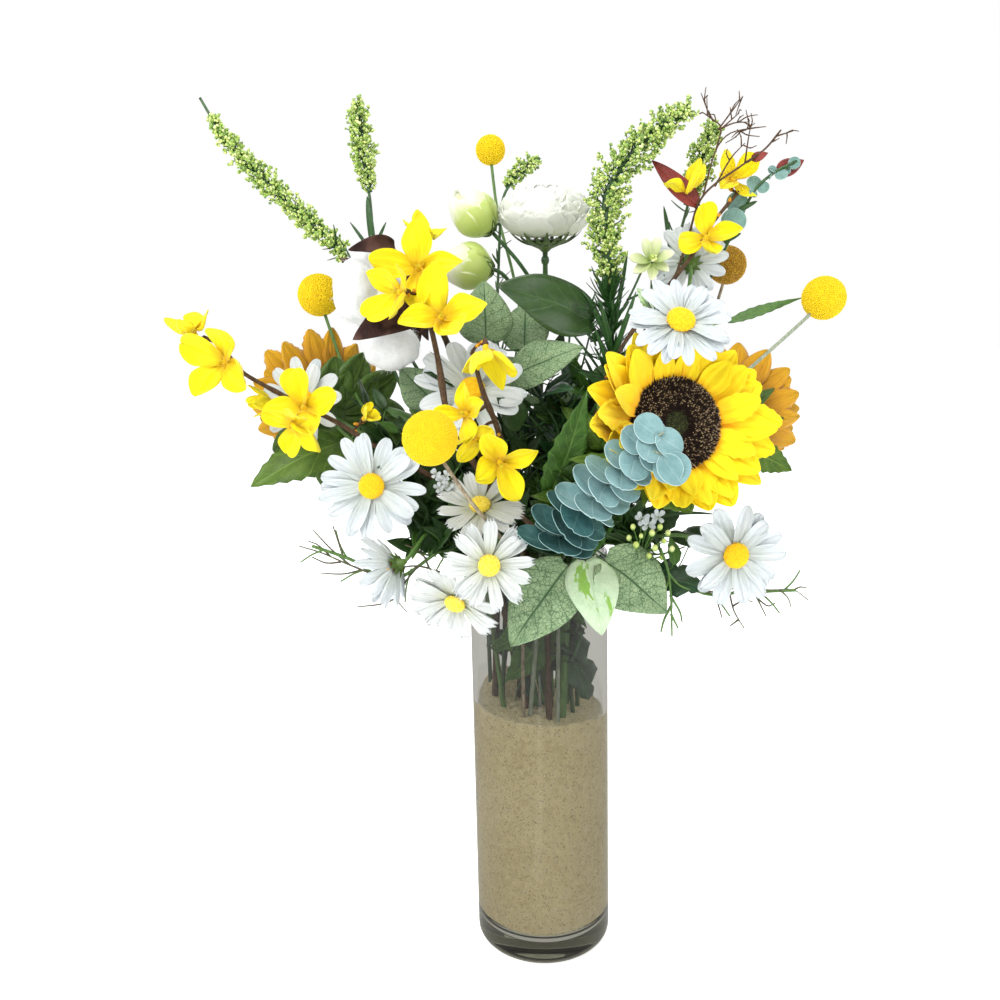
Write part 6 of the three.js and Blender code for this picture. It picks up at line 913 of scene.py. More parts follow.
def leaf(M, kind, b, t, w, hint, fold, bend, p=None, mat=0, stalk_mat=1, rnd=0.0, rows=17, cols=11, thick=0.45, stalk=True, seed=0.0):
    """A leaf blade from base b to tip t with its stalk from p."""
    B, T = np.asarray(b, float), np.asarray(t, float)
    L = np.linalg.norm(T - B)
    d = unit(T - B)
    side = unit(np.cross(d, np.asarray(hint, float)))
    up = unit(np.cross(side, d))
    if kind == "grass":
        rows, cols = 13, 5
    if kind == "round":
        rows, cols = 13, 9
    G_ = np.zeros((rows, cols, 3))
    for i in range(rows):
        s = i / (rows - 1)
        f = leaf_profile(kind, s)
        half = max(w / 2 * f, 0.12 if i not in (0,) else 0.5)
        if i == rows - 1:
            half = 0.25
        teeth = 0.0
        if kind in ("serrate", "sunleaf"):
            teeth = 0.11 if i % 2 else -0.05
        elif kind == "ivy":
            teeth = 0.04 if i % 2 else -0.03
        for j in range(cols):
            x = 2 * j / (cols - 1) - 1
            hw = half * (1 + (teeth if abs(x) > 0.95 else 0))
            lift = bend * L * (math.sin(math.pi * s) * 0.5 - 0.35 * s * s) + fold * half * abs(x) * 0.6
            if kind not in ("grass", "husk"):
                lift += 0.028 * w * math.sin(7.5 * s + 1.7 * seed) * abs(x) ** 1.5 + 0.02 * w * math.sin(9 * s + 3 * x + seed)
                lift -= 0.02 * w * math.exp(-((x / 0.14) ** 2)) * f
            if kind == "round":
                lift += 0.13 * w * (x * x) * f - 0.05 * w * math.sin(math.pi * s)
            if kind == "husk":
                lift += 0.35 * half * x * x
            back = (0.10 * w * x * x) * (1 - s) ** 2 if kind not in ("grass", "husk") else 0
            G_[i, j] = B + d * (s * L - back * (0.8 if kind == "ivy" else 0.5)) + side * hw * x + up * lift
    # the mapping runs across and along the blade
    sheet(M, G_, thick if kind != "husk" else 1.6, mat, rnd)
    if stalk and p is not None:
        P = np.asarray(p, float)
        if np.linalg.norm(P - B) > 1.0:
            midp = (P + B) / 2 - V(0, 0, 0.10 * np.linalg.norm(P - B))
            tube(M, smooth_line([P, midp, B + d * 0.8], 7), np.linspace(0.85, 0.6, 7) * (1.0 if w > 12 else 0.7), 6, stalk_mat)
    # midrib on the back
    if kind in ("broad", "veined", "pale", "blue", "sunleaf", "ivy", "serrate") and w > 10:
        rib = [G_[i, cols // 2] - up * 0.35 for i in range(0, rows - 2, 2)]
        tube(M, rib, np.linspace(0.65, 0.2, len(rib)), 5, stalk_mat)


def main_tube(M, P, r0, r1, mat=0, sides=10, step=4.0, knots=0.0, r=None, seed=1):
    """A stem; its section varies a little, and knots swell it here and there."""
    d = np.linalg.norm(np.diff(np.asarray(P), axis=0), axis=1).sum()
    n = max(8, int(d / step))
    Q = smooth_line(P, n)
    rr = np.linspace(r0, r1, n)
    rg = random.Random(seed)
    if knots:
        for _ in range(int(d / 26)):
            k = rg.randrange(2, n - 2)
            for j in range(-1, 2):
                rr[k + j] *= 1 + knots * (0.5 if j else 1)
    rr = rr * (1 + 0.04 * np.array([rg.uniform(-1, 1) for _ in range(n)]))
    tube(M, Q, rr, sides, mat)
    return Q


STEM_MAT = {}


def head_basis(h):
    c, n = V(*h[2]), unit(V(*h[3]))
    u, w = across(n)
    return c, n, u, w, h[4], math.radians(h[5])


def wrap(a):
    return (a + math.pi) % (2 * math.pi) - math.pi


def sunflower(h):
    name = h[0]
    c, n, u, w, R, spin = head_basis(h)
    rg = rng_for(name)
    dirs = lambda a: u * math.cos(a) + w * math.sin(a)
    front = name == "sunflower_front"
    P = Mesh()
    # the reach of the petals and how far they bend forward, by direction (right, top, left, bottom)
    ks = np.radians([0, 45, 90, 135, 180, 225, 270, 315, 360])
    if front:
        reach = [1.06, 0.97, 0.86, 0.97, 0.97, 0.90, 0.83, 0.98, 1.06]
        bend = [0.13, 0.16, 0.20, 0.42, 0.52, 0.40, 0.16, 0.10, 0.13]
    else:
        reach = [0.97, 0.97, 1.0, 0.97, 0.90, 0.84, 0.80, 0.90, 0.97]
        bend = [0.30, 0.26, 0.24, 0.26, 0.30, 0.30, 0.30, 0.30, 0.30]
    back = name == "sunflower_left"
    for ring, cnt, k, wd, h0 in ((0, 18, 1.02, 0.33, -1.8), (1, 16, 0.95, 0.31, 0.8), (2, 12, 0.82, 0.25, 2.6)):
        for i in range(cnt):
            a = spin + 2 * math.pi * (i + 0.5 * (ring % 2) + 0.23 * (ring == 2)) / cnt + rg.uniform(-0.06, 0.06)
            f = float(np.interp(a % (2 * math.pi), ks, reach))
            b = float(np.interp(a % (2 * math.pi), ks, bend))
            if back:
                phi = math.degrees(math.atan2(dirs(a)[2], dirs(a)[0])) % 360
                f = float(np.interp(phi, [0, 45, 90, 135, 180, 225, 270, 315, 360], [0.86, 0.92, 1.0, 0.98, 0.88, 0.74, 0.66, 0.72, 0.86]))
            L = R * k * f * rg.uniform(0.93, 1.0)
            rise = min(R * 0.55, R * (b + ring * 0.035 + rg.uniform(-0.06, 0.06)))
            left = max(0.0, b - 0.2)
            petal(P, c, n, dirs(a), 22.5, L, R * wd * rg.uniform(0.88, 1.10), h0, rise, curl=rg.uniform(-0.10, 0.10) - 0.2 * left, cup=rg.uniform(0.05, 0.30) + 0.9 * left,
                  tip="point" if rg.random() < 0.6 else "sun", twist=rg.uniform(-0.5, 0.5) + 0.5 * left, side=rg.uniform(-0.10, 0.10), crease=1.5, t=0.5, rows=15, cols=9, rnd=rg.random(), wave=0.07 + 0.2 * left,
                  seed=rg.uniform(0, 6), lean=1.25)
    # the heads behind take the darker petal colour, a painted shade
    ob = P.make(name + "_petal_rings", [G["sun_petal"] if front else G["sun_petal_back"]])
    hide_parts(name + "_petals")
    # seed disc
    D = Mesh()
    lathe(D, [(0, 2.0), (20, 2.0), (27.0, 2.4), (28.6, 4.2), (27.2, 7.0), (23, 8.6), (17, 9.2), (11, 8.6), (6, 7.2), (0, 6.6)], 48, c, n, mat=2)
    N_ = 2300
    for i in range(N_):
        q = (i + 0.5) / N_
        r = 28.8 * math.sqrt(q)
        a = i * 2.399963 + spin
        hh = float(np.interp(r, [0, 6, 11, 17, 23, 27.2, 28.9], [6.4, 7.0, 8.4, 9.0, 8.4, 6.8, 4.0]))
        slope = float(np.interp(r, [0, 6, 17, 23, 28.8], [0.0, -0.25, 0.0, 0.3, 1.0]))
        p = c + dirs(a) * r + n * hh
        nn = unit(n + dirs(a) * slope + (u * rg.uniform(-1, 1) + w * rg.uniform(-1, 1)) * 0.25)
        if r < 7.6:
            bead(D, p, 0.50 + 0.05 * rg.random(), nn, 1.3, mat=1, rnd=rg.random())
        else:
            cone(D, p, nn, 0.46 + 0.10 * rg.random(), 1.6 + 1.1 * rg.random() * (1 if r > 13 else 0.5), 5, 0, rg.random() * (1.0 if r > 11 else 0.55), tip=0.30)
    for i in range(90):
        a = 2 * math.pi * i / 90 + rg.uniform(-0.04, 0.04)
        petal(D, c, n, dirs(a), 26.2, 29.5 + 1.8 * rg.random(), 1.5, 3.4, 6.8 + 2.0 * rg.random(), cup=0.2, tip="spear", rows=5, cols=3, t=0.3, mat=3, rnd=rg.random())
    ob = D.make(name + "_seed_disc", [G["disc"], G["disc_green"], G["disc_base"], G["fringe"]])
    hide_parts(name + "_disc")


def sun_calyx(M, h, mat):
    name = h[0]
    c, n, u, w, R, spin = head_basis(h)
    rg = rng_for(name + " calyx")
    lathe(M, [(0, -3.4), (12, -3.4), (20.5, -3.6), (19, -6.5), (14, -11), (8, -14.5), (4.2, -19), (0, -20)], 28, c, n, mat=mat)
    leafy = name == "sunflower_left"
    for ring, cnt, L, wd in ((0, 12, R * 0.84, 19), (1, 11, R * 0.66, 17)):
        for i in range(cnt):
            a = spin + 2 * math.pi * (i + 0.5 * ring) / cnt + rg.uniform(-0.06, 0.06)
            if leafy:
                d = u * math.cos(a) + w * math.sin(a)
                phi = math.degrees(math.atan2(d[2], d[0])) % 360
                far = float(np.interp(phi, [0, 40, 90, 140, 180, 225, 270, 320, 360], [1.08, 1.00, 0.70, 0.62, 0.74, 0.92, 1.06, 1.12, 1.08]))
                petal(M, c, n, d, 7, R * far * (0.97 - 0.22 * ring) * rg.uniform(0.93, 1.0), 30 - 4 * ring, -11.5 - 1.6 * ring, -4.5 - 5.5 * ring + rg.uniform(-3, 1.5), curl=rg.uniform(-0.02, 0.12), cup=-0.20,
                      tip="point", crease=1.2, t=0.6, rows=13, cols=9, mat=mat, rnd=rg.random(), wave=0.08, seed=rg.uniform(0, 6))
                continue
            petal(M, c, n, u * math.cos(a) + w * math.sin(a), 7, L * rg.uniform(0.86, 1.0), wd, -11.5 - 1.6 * ring, 1.0 - 5.5 * ring + rg.uniform(-3, 1.5), curl=rg.uniform(-0.05, 0.15), cup=-0.16,
                  tip="spear", crease=0.8, t=0.6, rows=11, cols=7, mat=mat, rnd=rg.random(), wave=0.06, seed=rg.uniform(0, 6))


DAISY_SHAPE = {"daisy_8": (12, 0.33), "daisy_2": (13, 0.31), "daisy_6": (16, 0.26), "daisy_10": (11, 0.30), "daisy_9": (12, 0.30)}


def daisy(h):
    name = h[0]
    c, n, u, w, R, spin = head_basis(h)
    rg = rng_for(name)
    whole = name in DAISY_HEADS
    cream = name in ("daisy_3", "daisy_4", "daisy_5")
    rise = DAISY_CUP.get(name, 2)
    M = Mesh()
    dirs = lambda a: u * math.cos(a) + w * math.sin(a)
    cnt0, wd0 = DAISY_SHAPE.get(name, (15, 0.265))
    if cream:
        cnt0, wd0 = 13, 0.27
    for ring, cnt, k, h0 in ((0, cnt0, 1.0, -0.5), (1, cnt0 // 3, 0.94, 0.9)):
        for i in range(cnt):
            a = spin + 2 * math.pi * (i + 0.5 * ring) / cnt + rg.uniform(-0.08, 0.08)
            L = R * k * rg.uniform(0.90, 1.0)
            hang = 0.0
            if name in ("daisy_7", "daisy_5"):
                hang = 0.10 * R
            petal(M, c, n, dirs(a), 4.2, L, R * wd0 * rg.uniform(0.90, 1.10), h0, rise + h0 + hang + rg.uniform(-3.0, 2.6), curl=rg.uniform(-0.16, 0.16), cup=rg.uniform(0.05, 0.42),
                  tip="teeth" if cream else "daisy", twist=rg.uniform(-0.35, 0.35), side=rg.uniform(-0.07, 0.07), crease=1.5, t=0.4, rows=13, cols=9, rnd=rg.random(), wave=0.08, seed=rg.uniform(0, 6))
    eye_m = 1 if whole else 0
    E = M if whole else Mesh()
    k = 1.0 if not cream else 0.80
    lathe(E, [(0, 0.6), (7.0 * k, 0.6), (8.2 * k, 1.6), (8.0 * k, 3.4), (6.0 * k, 5.0), (3.0 * k, 5.8), (0, 5.9)], 30, c, n, mat=eye_m, share=np.full(2 + 30 * 5, 0.5))
    N_ = 420
    for i in range(N_):
        q = (i + 0.5) / N_
        r = 8.5 * k * math.sqrt(q)
        a = i * 2.399963
        hh = float(np.interp(r / k, [0, 3.0, 6.0, 8.0, 8.5], [5.8, 5.6, 4.8, 3.2, 1.9]))
        p = c + dirs(a) * r + n * hh
        bead(E, p, 0.42 + 0.14 * rg.random(), n + dirs(a) * 0.9 * (r / 8.5) ** 2, 1.1 + 0.5 * rg.random(), mat=eye_m, rnd=rg.random())
    em = G["eye_lemon"] if cream else G["eye"]
    pm = G["daisy_cream"] if cream else G["daisy_white"]
    if whole:
        ob = M.make(name + "_flower", [pm, em])
        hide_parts(name + "_head")
    else:
        ob = M.make(name + "_petal_ring", [pm])
        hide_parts(name + "_petals")
        ob = E.make(name + "_flocked_eye", [em])
        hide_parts(name + "_eye")


def daisy_calyx(M, h, mat):
    c, n, u, w, R, spin = head_basis(h)
    lathe(M, [(0, -1.2), (4.2, -1.2), (4.8, -2.4), (4.0, -4.6), (2.4, -7.4), (1.6, -9.4), (0, -9.6)], 16, c, n, mat=mat)
    for i in range(10):
        a = 2 * math.pi * i / 10
        petal(M, c, n, u * math.cos(a) + w * math.sin(a), 2.5, 9.5, 3.6, -4.6, -2.0, cup=-0.2, tip="spear", rows=6, cols=3, t=0.4, mat=mat, rnd=0.5)


def craspedia(h, mats):
    name = h[0]
    c, n, u, w, R, spin = head_basis(h)
    rg = rng_for(name)
    M = Mesh()
    v, f = ball_mesh(32, 20)
    M.add(c + v * R * 0.965, f, None, np.full(len(v), 0.45), 0.4, 0)
    cnt = int(11.5 * R * R)
    for i in range(cnt):
        z = 1 - 2 * (i + 0.5) / cnt
        a = i * 2.399963
        r = math.sqrt(1 - z * z)
        d = unit(V(r * math.cos(a), r * math.sin(a), z) + nrand(rg, 3) * 0.02)
        bead(M, c + d * R * (0.955 + 0.018 * rg.random()), 0.46 + 0.16 * rg.random(), d, 1.25, mat=0, rnd=rg.random())
    for s in STEMS:
        if s[0] == name:
            main_tube(M, s[3], s[1], s[2], mat=1, sides=9, seed=name)
    ob = M.make(name + "_ball_and_stem", mats)
    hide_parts(name)


def ranunculus_bloom(h):
    name = h[0]
    c, n, u, w, R, spin = head_basis(h)
    rg = rng_for(name)
    M = Mesh()
    dirs = lambda a: u * math.cos(a) + w * math.sin(a)

    def dome(th, k):
        """Distance out and height on the rounded body of the bloom."""
        s_, c_ = math.sin(th), math.cos(th)
        return R * k * abs(s_) ** 0.80, (20.5 if c_ > 0 else 19.5) * k * (1 if c_ > 0 else -1) * abs(c_) ** 1.1

    layers = 9
    for k in range(layers):
        q = k / (layers - 1)
        te = math.radians(84 - 74 * q)
        cnt = int(round(10 - 6 * q))
        for i in range(cnt):
            a0 = spin + 2 * math.pi * (i + 0.5 * (k % 2)) / cnt + rg.uniform(-0.15, 0.15)
            rows, cols = 13, 13
            half = math.pi / cnt * 1.45
            te_i = te + rg.uniform(-0.10, 0.08)
            span = math.radians(62)
            ph = rg.uniform(0, 6)
            g = np.zeros((rows, cols, 3))
            for ii in range(rows):
                s = ii / (rows - 1)
                for jj in range(cols):
                    x = 2 * jj / (cols - 1) - 1
                    th = te_i + span * (1 - s) + 0.30 * abs(x) ** 3 * s
                    th = min(th, math.radians(168))
                    off = 0.955 + 0.045 * s * s + 0.018 * math.sin(5.5 * x + ph) * s * s - 0.012 * k * (1 - s)
                    rr, hh = dome(th, off)
                    lip = s ** 5
                    rr += (1.6 * (1 - q)) * lip
                    hh += 0.9 * math.sin(8 * x + ph) * lip
                    ang = a0 + half * x * (0.50 + 0.50 * math.sin(math.pi * min(1, 0.20 + 0.62 * s)))
                    g[ii, jj] = c + dirs(ang) * rr + n * hh
            sheet(M, g, 0.55, 0, rg.random())
    v, f = ball_mesh(24, 16)
    body = c + (u * v[:, :1] + w * v[:, 1:2]) * R * 0.84 + n * (v[:, 2:3] * 16.5)
    M.add(body, f, np.full((len(v), 2), 0.6), 0.5, 0.5, 0)
    ob = M.make("ranunculus_bloom_petals", [G["ranunculus"]])
    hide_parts("ranunculus_bloom")


def ranunculus_bud(h):
    name = h[0]
    c, n, u, w, R, spin = head_basis(h)
    rg = rng_for(name)
    M = Mesh()
    dirs = lambda a: u * math.cos(a) + w * math.sin(a)

    def prof(s):
        return math.sin(math.pi * (0.05 + 0.89 * s) ** 0.80) ** 0.78

    for k, (cnt, sc, top, span) in enumerate(((3, 0.93, 1.34, 1.45), (3, 1.0, 1.46, 1.28), (2, 1.05, 1.10, 1.05))):
        for i in range(cnt):
            a0 = spin + 2 * math.pi * (i + 0.5 * k) / cnt + 0.5 + 0.7 * k
            rows, cols = 15, 11
            g = np.zeros((rows, cols, 3))
            for ii in range(rows):
                s = ii / (rows - 1)
                for jj in range(cols):
                    x = 2 * jj / (cols - 1) - 1
                    edge = abs(x) ** 6
                    ang = a0 + x * (math.pi / cnt) * span * (0.55 + 0.45 * math.sin(math.pi * min(1, s + 0.1))) + 0.55 * s
                    rr = R * sc * prof(s * (0.95 if k < 2 else 0.86)) * (1 + 0.035 * math.cos(math.pi * x) + 0.10 * edge + 0.04 * math.sin(5 * x + 3 * s + k) * s)
                    hh = -R * 0.95 + (top + 0.95) * R * s * (1 - 0.16 * x * x * s)
                    g[ii, jj] = c + dirs(ang) * max(0.5, rr) + n * hh
            sheet(M, g, 0.6, 0 if k < 2 else 2, rg.random())
    v, f = ball_mesh(18, 12)
    M.add(c + (u * v[:, :1] + w * v[:, 1:2]) * R * 0.82 + n * (v[:, 2:3] * R * 1.10 + R * 0.18), f, np.full((len(v), 2), 0.5), 0.5, 0.4, 0)
    for i in range(5):
        a = 2 * math.pi * i / 5 + 0.3
        petal(M, c, n, dirs(a), 1.5, R * 0.80, R * 0.40, -R * 1.10, -R * 0.66, curl=-0.20, cup=-0.4, tip="spear", rows=9, cols=7, t=0.5, mat=1, rnd=rg.random())
    ob = M.make(name + "_petals", [G["bud"], G["calyx"], G["bud_outer"]])
    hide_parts(name)


def blossom(M, b, mat, calyx_mat):
    node, c, n, R, spin, open_ = b
    c, n = V(*c), unit(V(*n))
    u, w = across(n)
    rg = random.Random("blossom %s %s" % (node, c.round(0).tolist()))
    rise, out = R * (1.05 - 0.75 * open_), R * (0.45 + 0.5 * open_)
    for i in range(4):
        a = math.radians(spin) + math.pi / 2 * i + rg.uniform(-0.16, 0.16)
        d = u * math.cos(a) + w * math.sin(a)
        lift = rg.choice((0.55, 0.9, 1.2, 1.5))
        petal(M, c, n, d, 0.9, out * rg.uniform(0.98, 1.06) * (1.0 if lift < 1.3 else 0.8), R * rg.uniform(0.54, 0.68), 0.2, min(rise * lift, R * 0.95), curl=rg.uniform(-0.05, 0.42), cup=rg.uniform(-0.25, 0.95),
              tip="point" if rg.random() < 0.6 else "broad", twist=rg.uniform(-1.0, 1.0), side=rg.uniform(-0.14, 0.14), crease=1.3, t=0.5, rows=16, cols=11, mat=mat, rnd=rg.random(), wave=0.22, seed=rg.uniform(0, 6))
    # tube, calyx and the small parts in the throat
    lathe(M, [(0, 2.4), (1.0, 2.3), (2.3, 1.0), (2.0, -1.5), (1.7, -4.2), (1.3, -6.4), (0, -6.6)], 12, c, n, mat=mat)
    lathe(M, [(0, -3.0), (1.9, -3.2), (2.2, -4.6), (1.5, -6.6), (0.8, -8.4), (0, -8.6)], 10, c, n, mat=calyx_mat)
    for i in range(3):
        a = rg.uniform(0, 6.28)
        d = u * math.cos(a) + w * math.sin(a)
        tube(M, [c + n * 1.0, c + n * 3.4 + d * 0.8, c + n * 5.6 + d * 1.0], [0.45, 0.35, 0.6], 5, mat, rg.random())


def berries(M, node, r, pts, rg, mat_bead, mat_stem, mat_scale, shape=None):
    """A spike: short branchlets all round the axis, crowded with beads, and small dark scales between them."""
    P = smooth_line(pts, 120)
    d = np.r_[0, np.cumsum(np.linalg.norm(np.diff(P, axis=0), axis=1))]
    L = d[-1]
    T, N, B = frames(P)
    tube(M, P, np.linspace(0.20, 0.10, len(P)) * r, 7, mat_stem, 0.2)
    s, k = 0.0, 0
    while s < L:
        i = min(119, int(np.searchsorted(d, s)))
        q = s / L
        env = min(1.0, 0.62 + 2.2 * q) * (1 - 0.55 * max(0.0, (q - 0.55) / 0.45) ** 1.5)
        a = k * 2.399963 + rg.uniform(-0.3, 0.3)
        o = N[i] * math.cos(a) + B[i] * math.sin(a)
        ln = r * env * rg.uniform(0.75, 1.42)
        tipd = unit(o + T[i] * rg.uniform(0.45, 1.0))
        tube(M, [P[i], P[i] + tipd * ln * 0.5 + T[i] * 0.4, P[i] + tipd * ln], [0.55, 0.45, 0.30], 4, mat_stem, 0.4)
        if k % 2 == 0:
            b0 = P[i] + tipd * ln * rg.uniform(0.2, 0.6)
            petal(M, b0, unit(np.cross(tipd, T[i])), unit(tipd + nrand(rg, 3) * 0.5), 0, rg.uniform(2.6, 4.2), 1.3, 0, 0.6, tip="spear", rows=4, cols=3, t=0.25, mat=mat_scale, rnd=rg.random())
        nb = int(4 + 9.5 * env * (r / 9.0) ** 0.7 * rg.uniform(0.7, 1.2))
        for b in range(nb):
            f = rg.uniform(0.42, 1.05)
            off = unit(nrand(rg, 3)) * rg.uniform(0.8, 2.3)
            cc = P[i] + tipd * ln * f + off
            bead(M, cc, rg.uniform(0.78, 1.30), nrand(rg, 3), 1.0 + 0.15 * rg.random(), mat_bead if rg.random() < 0.80 else mat_bead + 1, rg.random())
        s += 0.80 if r > 10 else 0.85
        k += 1


def blades(M, P0, P1, cnt, length, width, rg, mat, spread=0.8, lift=0.6):
    """Narrow blades all along a stem."""
    P = smooth_line([P0, P1], 40) if len(np.shape(P0)) == 1 else P0
    T, N, B = frames(P)
    for k in range(cnt):
        i = rg.randrange(0, len(P))
        a = k * 2.399963
        o = N[i] * math.cos(a) + B[i] * math.sin(a)
        d = unit(o * spread + T[i] * lift + nrand(rg, 3) * 0.15)
        L = length * rg.uniform(0.6, 1.1)
        leaf(M, "grass", P[i], P[i] + d * L, width * rg.uniform(0.8, 1.2), unit(o - d * (o @ d)) + V(0, -0.2, 0.1), 0.4, rg.uniform(-0.1, 0.2), None, mat, mat, rg.random(), stalk=False)



# ------------------------------------------------------------- the vase
def node_leaves(M, node, mats, slot_of=None):
    """Adds every leaf of a node; mats maps a leaf kind to a material number."""
    k = 0
    for L in LEAVES:
        if L[0] != node:
            continue
        nd, kind, b, t, w, hint, fold, bend = L[:8]
        p = L[8] if len(L) > 8 else None
        rg = random.Random("leaf %s %d" % (node, k))
        wide_ = {"broad": 1.12, "veined": 1.2, "blue": 1.15}.get(kind, 1.0)
        leaf(M, kind, b, t, w * wide_, hint, fold, bend, p, mats[kind], mats["stalk"], rg.random(), seed=rg.uniform(0, 6))
        k += 1


def filler(M, node, cnt, mats, zlo=304, zhi=425, xlo=-112, xhi=84, ylo=-40, yhi=62, long=(20, 40), wide=(7, 13), kinds=("serrate", "broad", "grass")):
    """Short leaves on their own stalks, all along the stems of a node, where the bunch is dense."""
    rg = rng_for("filler " + node)
    P = [p for s in STEMS + STALKS if s[0] == node for p in smooth_line(s[3], 90) if zlo < p[2] < zhi and xlo < p[0] < xhi and ylo < p[1] < yhi]
    made = tries = 0
    cnt = int(cnt * 2.3)
    while P and made < cnt and tries < cnt * 14:
        tries += 1
        p = P[rg.randrange(len(P))]
        o = unit(V(p[0] * 0.010 + rg.gauss(0, 1), p[1] * 0.010 + rg.gauss(0, 0.8), 0))
        d = unit(o * rg.uniform(0.45, 1.0) + V(0, 0, rg.uniform(0.15, 0.95)))
        kind = kinds[rg.randrange(len(kinds))]
        L = rg.uniform(*long)
        b = p + d * rg.uniform(3, 7)
        t = b + d * L
        room = 37 if t[2] < 309 else 37 + (t[2] - 309) * 1.9
        if not (xlo - 12 < t[0] < xhi + 14 and ylo - 12 < t[1] < yhi + 16) or math.hypot(t[0], t[1]) > room:
            continue
        wd = rg.uniform(*wide) if kind != "grass" else rg.uniform(2.0, 3.4)
        up = V(rg.gauss(0, 0.5), -0.7 + rg.gauss(0, 0.4), 0.8)
        leaf(M, kind, b, t, wd * 1.2, up, rg.uniform(0.05, 0.25), rg.uniform(-0.05, 0.22), p, mats[kind], mats["stalk"], rg.random(), rows=9, cols=7, seed=rg.uniform(0, 6))
        made += 1


def thicket(M, name, boxes, mats, blade=0.25):
    """Leaves and blades that fill the depth of the bunch, each on a stalk from the nearest stem."""
    rg = rng_for("thicket " + name)
    pts = np.array([p for st in STEMS for p in smooth_line(st[3], 60) if 200 < p[2] < 470])
    for (u0, v0, u1, v1, y0, y1, cnt, k) in boxes:
        for _ in range(cnt):
            p = at(rg.uniform(u0, u1), rg.uniform(v0, v1), rg.uniform(y0, y1))
            d = unit(unit(p - V(0, 0, 262)) + nrand(rg, 3) * 0.55)
            thin = rg.random() < blade
            L = (rg.uniform(34, 62) if thin else rg.uniform(17, 33)) * k
            b, t = p - d * L / 2, p + d * L / 2
            if min(b[2], t[2]) < 304 and max(math.hypot(b[0], b[1]), math.hypot(t[0], t[1])) > 44:
                continue
            near = pts[np.argmin(((pts - b) ** 2).sum(axis=1) + 4000.0 * (pts[:, 2] > b[2] + 6))]
            if np.linalg.norm(near - b) > 42:
                continue
            kind = "grass" if thin else ("serrate", "broad", "deep")[rg.randrange(3)]
            up = V(rg.gauss(0, 0.5), -0.7 + rg.gauss(0, 0.4), 0.8)
            leaf(M, "grass" if thin else ("serrate" if kind == "serrate" else "broad"), b, t, rg.uniform(2.6, 4.2) if thin else L * rg.uniform(0.36, 0.50), up, rg.uniform(0.05, 0.3),
                 rg.uniform(-0.05, 0.22), near, mats[kind], mats["stalk"], rg.random(), rows=9, cols=7, seed=rg.uniform(0, 6))


def sprig(M, lines, r0, r1, mat, sides=6):
    """Fine bare twigs from lists of (u, v, depth) places."""
    for pts in lines:
        P = [at(*q) for q in pts]
        n = max(5, int(2.5 * len(P)))
        tube(M, smooth_line(P, n), np.linspace(r0, r1, n), sides, mat)


# glass: one smooth closed body of revolution with a thick base
M = Mesh()
R_, H_, W_, B_ = VASE_R, VASE_H, VASE_WALL, VASE_BASE
prof = [(0, 1.2), (20, 0.9), (34, 0.35), (39, 0.0), (42, 0.0)]
for k in range(1, 9):
    a = math.pi / 2 * k / 8
    prof.append((42 + (R_ - 42) * math.sin(a), 9.0 * (1 - math.cos(a))))
for z in (14, 24, 40, 70, 110, 150, 190, 230, 265, 290, 300):
    prof.append((R_, z))
for k in range(0, 9):
    a = math.pi * k / 8
    prof.append((R_ - W_ / 2 + W_ / 2 * math.cos(a), H_ - W_ / 2 + W_ / 2 * math.sin(a)))
for z in (290, 265, 230, 190, 150, 110, 70, 40):
    prof.append((R_ - W_, z))
for k in range(0, 9):
    a = math.pi / 2 * k / 8
    prof.append((R_ - W_ - 14 * (1 - math.cos(a)), B_ + 14 - 14 * math.sin(a)))
prof += [(24, B_), (12, B_), (0, B_)]
lathe(M, prof, 128, mat=0)
ob = M.make("vase_glass_body", [G["glass"]])
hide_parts("glass_vase")


# sand: fills the inside; the top is uneven and grainy
def sand_top(x, y):
    return 188 - 0.09 * x + 17 * math.exp(-((x + 24) ** 2 + (y - 20) ** 2) / 420.0)


M = Mesh()
rg = rng_for("sand")
seg = 144
gap = -0.12
RI = R_ - W_ - gap
low = 0.35
rows = [(0.0, B_ + low)]
for r in (12, 24, 30, 33.2):
    rows.append((r, B_ + low))
for k in range(1, 9):
    a = math.pi / 2 * k / 8
    f = math.sin(a) ** 2
    rows.append((RI - 0.47 * (1 - f) - 14 + 14 * math.sin(a), B_ + 14 + low - 14 * math.cos(a)))
for z in range(40, 180, 10):
    rows.append((RI, float(z)))
rows.append((RI, 999.0))
tops = [RI - 0.6, 46, 44.5, 43, 41, 39, 37, 35, 33, 31, 29, 27, 25, 23, 21, 19, 17, 15, 13, 11, 9, 7, 5, 3, 1.5]
for r in tops:
    rows.append((float(r), 1000.0))
rows.append((0.0, 1000.0))
bumps = [(rg.uniform(-46, 46), rg.uniform(-46, 46), rg.uniform(1.5, 6.5), rg.uniform(-1.6, 2.0)) for _ in range(150)]


def top_z(x, y):
    z = sand_top(x, y)
    for bx, by, br, bh in bumps:
        q = ((x - bx) ** 2 + (y - by) ** 2) / (br * br)
        if q < 6:
            z += bh * math.exp(-q)
    return z


def sand_at(r, h, a, k):
    if h >= 999:
        x, y = r * math.cos(a), r * math.sin(a)
        return r, top_z(x, y) + rg.uniform(-0.35, 0.35) * (h > 999) - (1.2 if h == 999.0 else 0)
    return r, h


lathe(M, [rows[0]] + rows[1:-1] + [(0.0, top_z(0, 0))], seg, jitter=sand_at)
# loose grains on the top
for i in range(900):
    r, a = 46.2 * math.sqrt(rg.random()), rg.uniform(0, 6.283)
    x, y = r * math.cos(a), r * math.sin(a)
    bead(M, V(x, y, top_z(x, y) + 0.1), rg.uniform(0.35, 0.75), nrand(rg, 3), 1.2, 0, rg.random())
ob = M.make("sand_body", [G["sand"]])
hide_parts("sand_fill")

# ------------------------------------------------------------- sunflowers
HEAD = {h[0]: h for h in HEADS}
KMAP = {"green": 0, "calyx": 1}


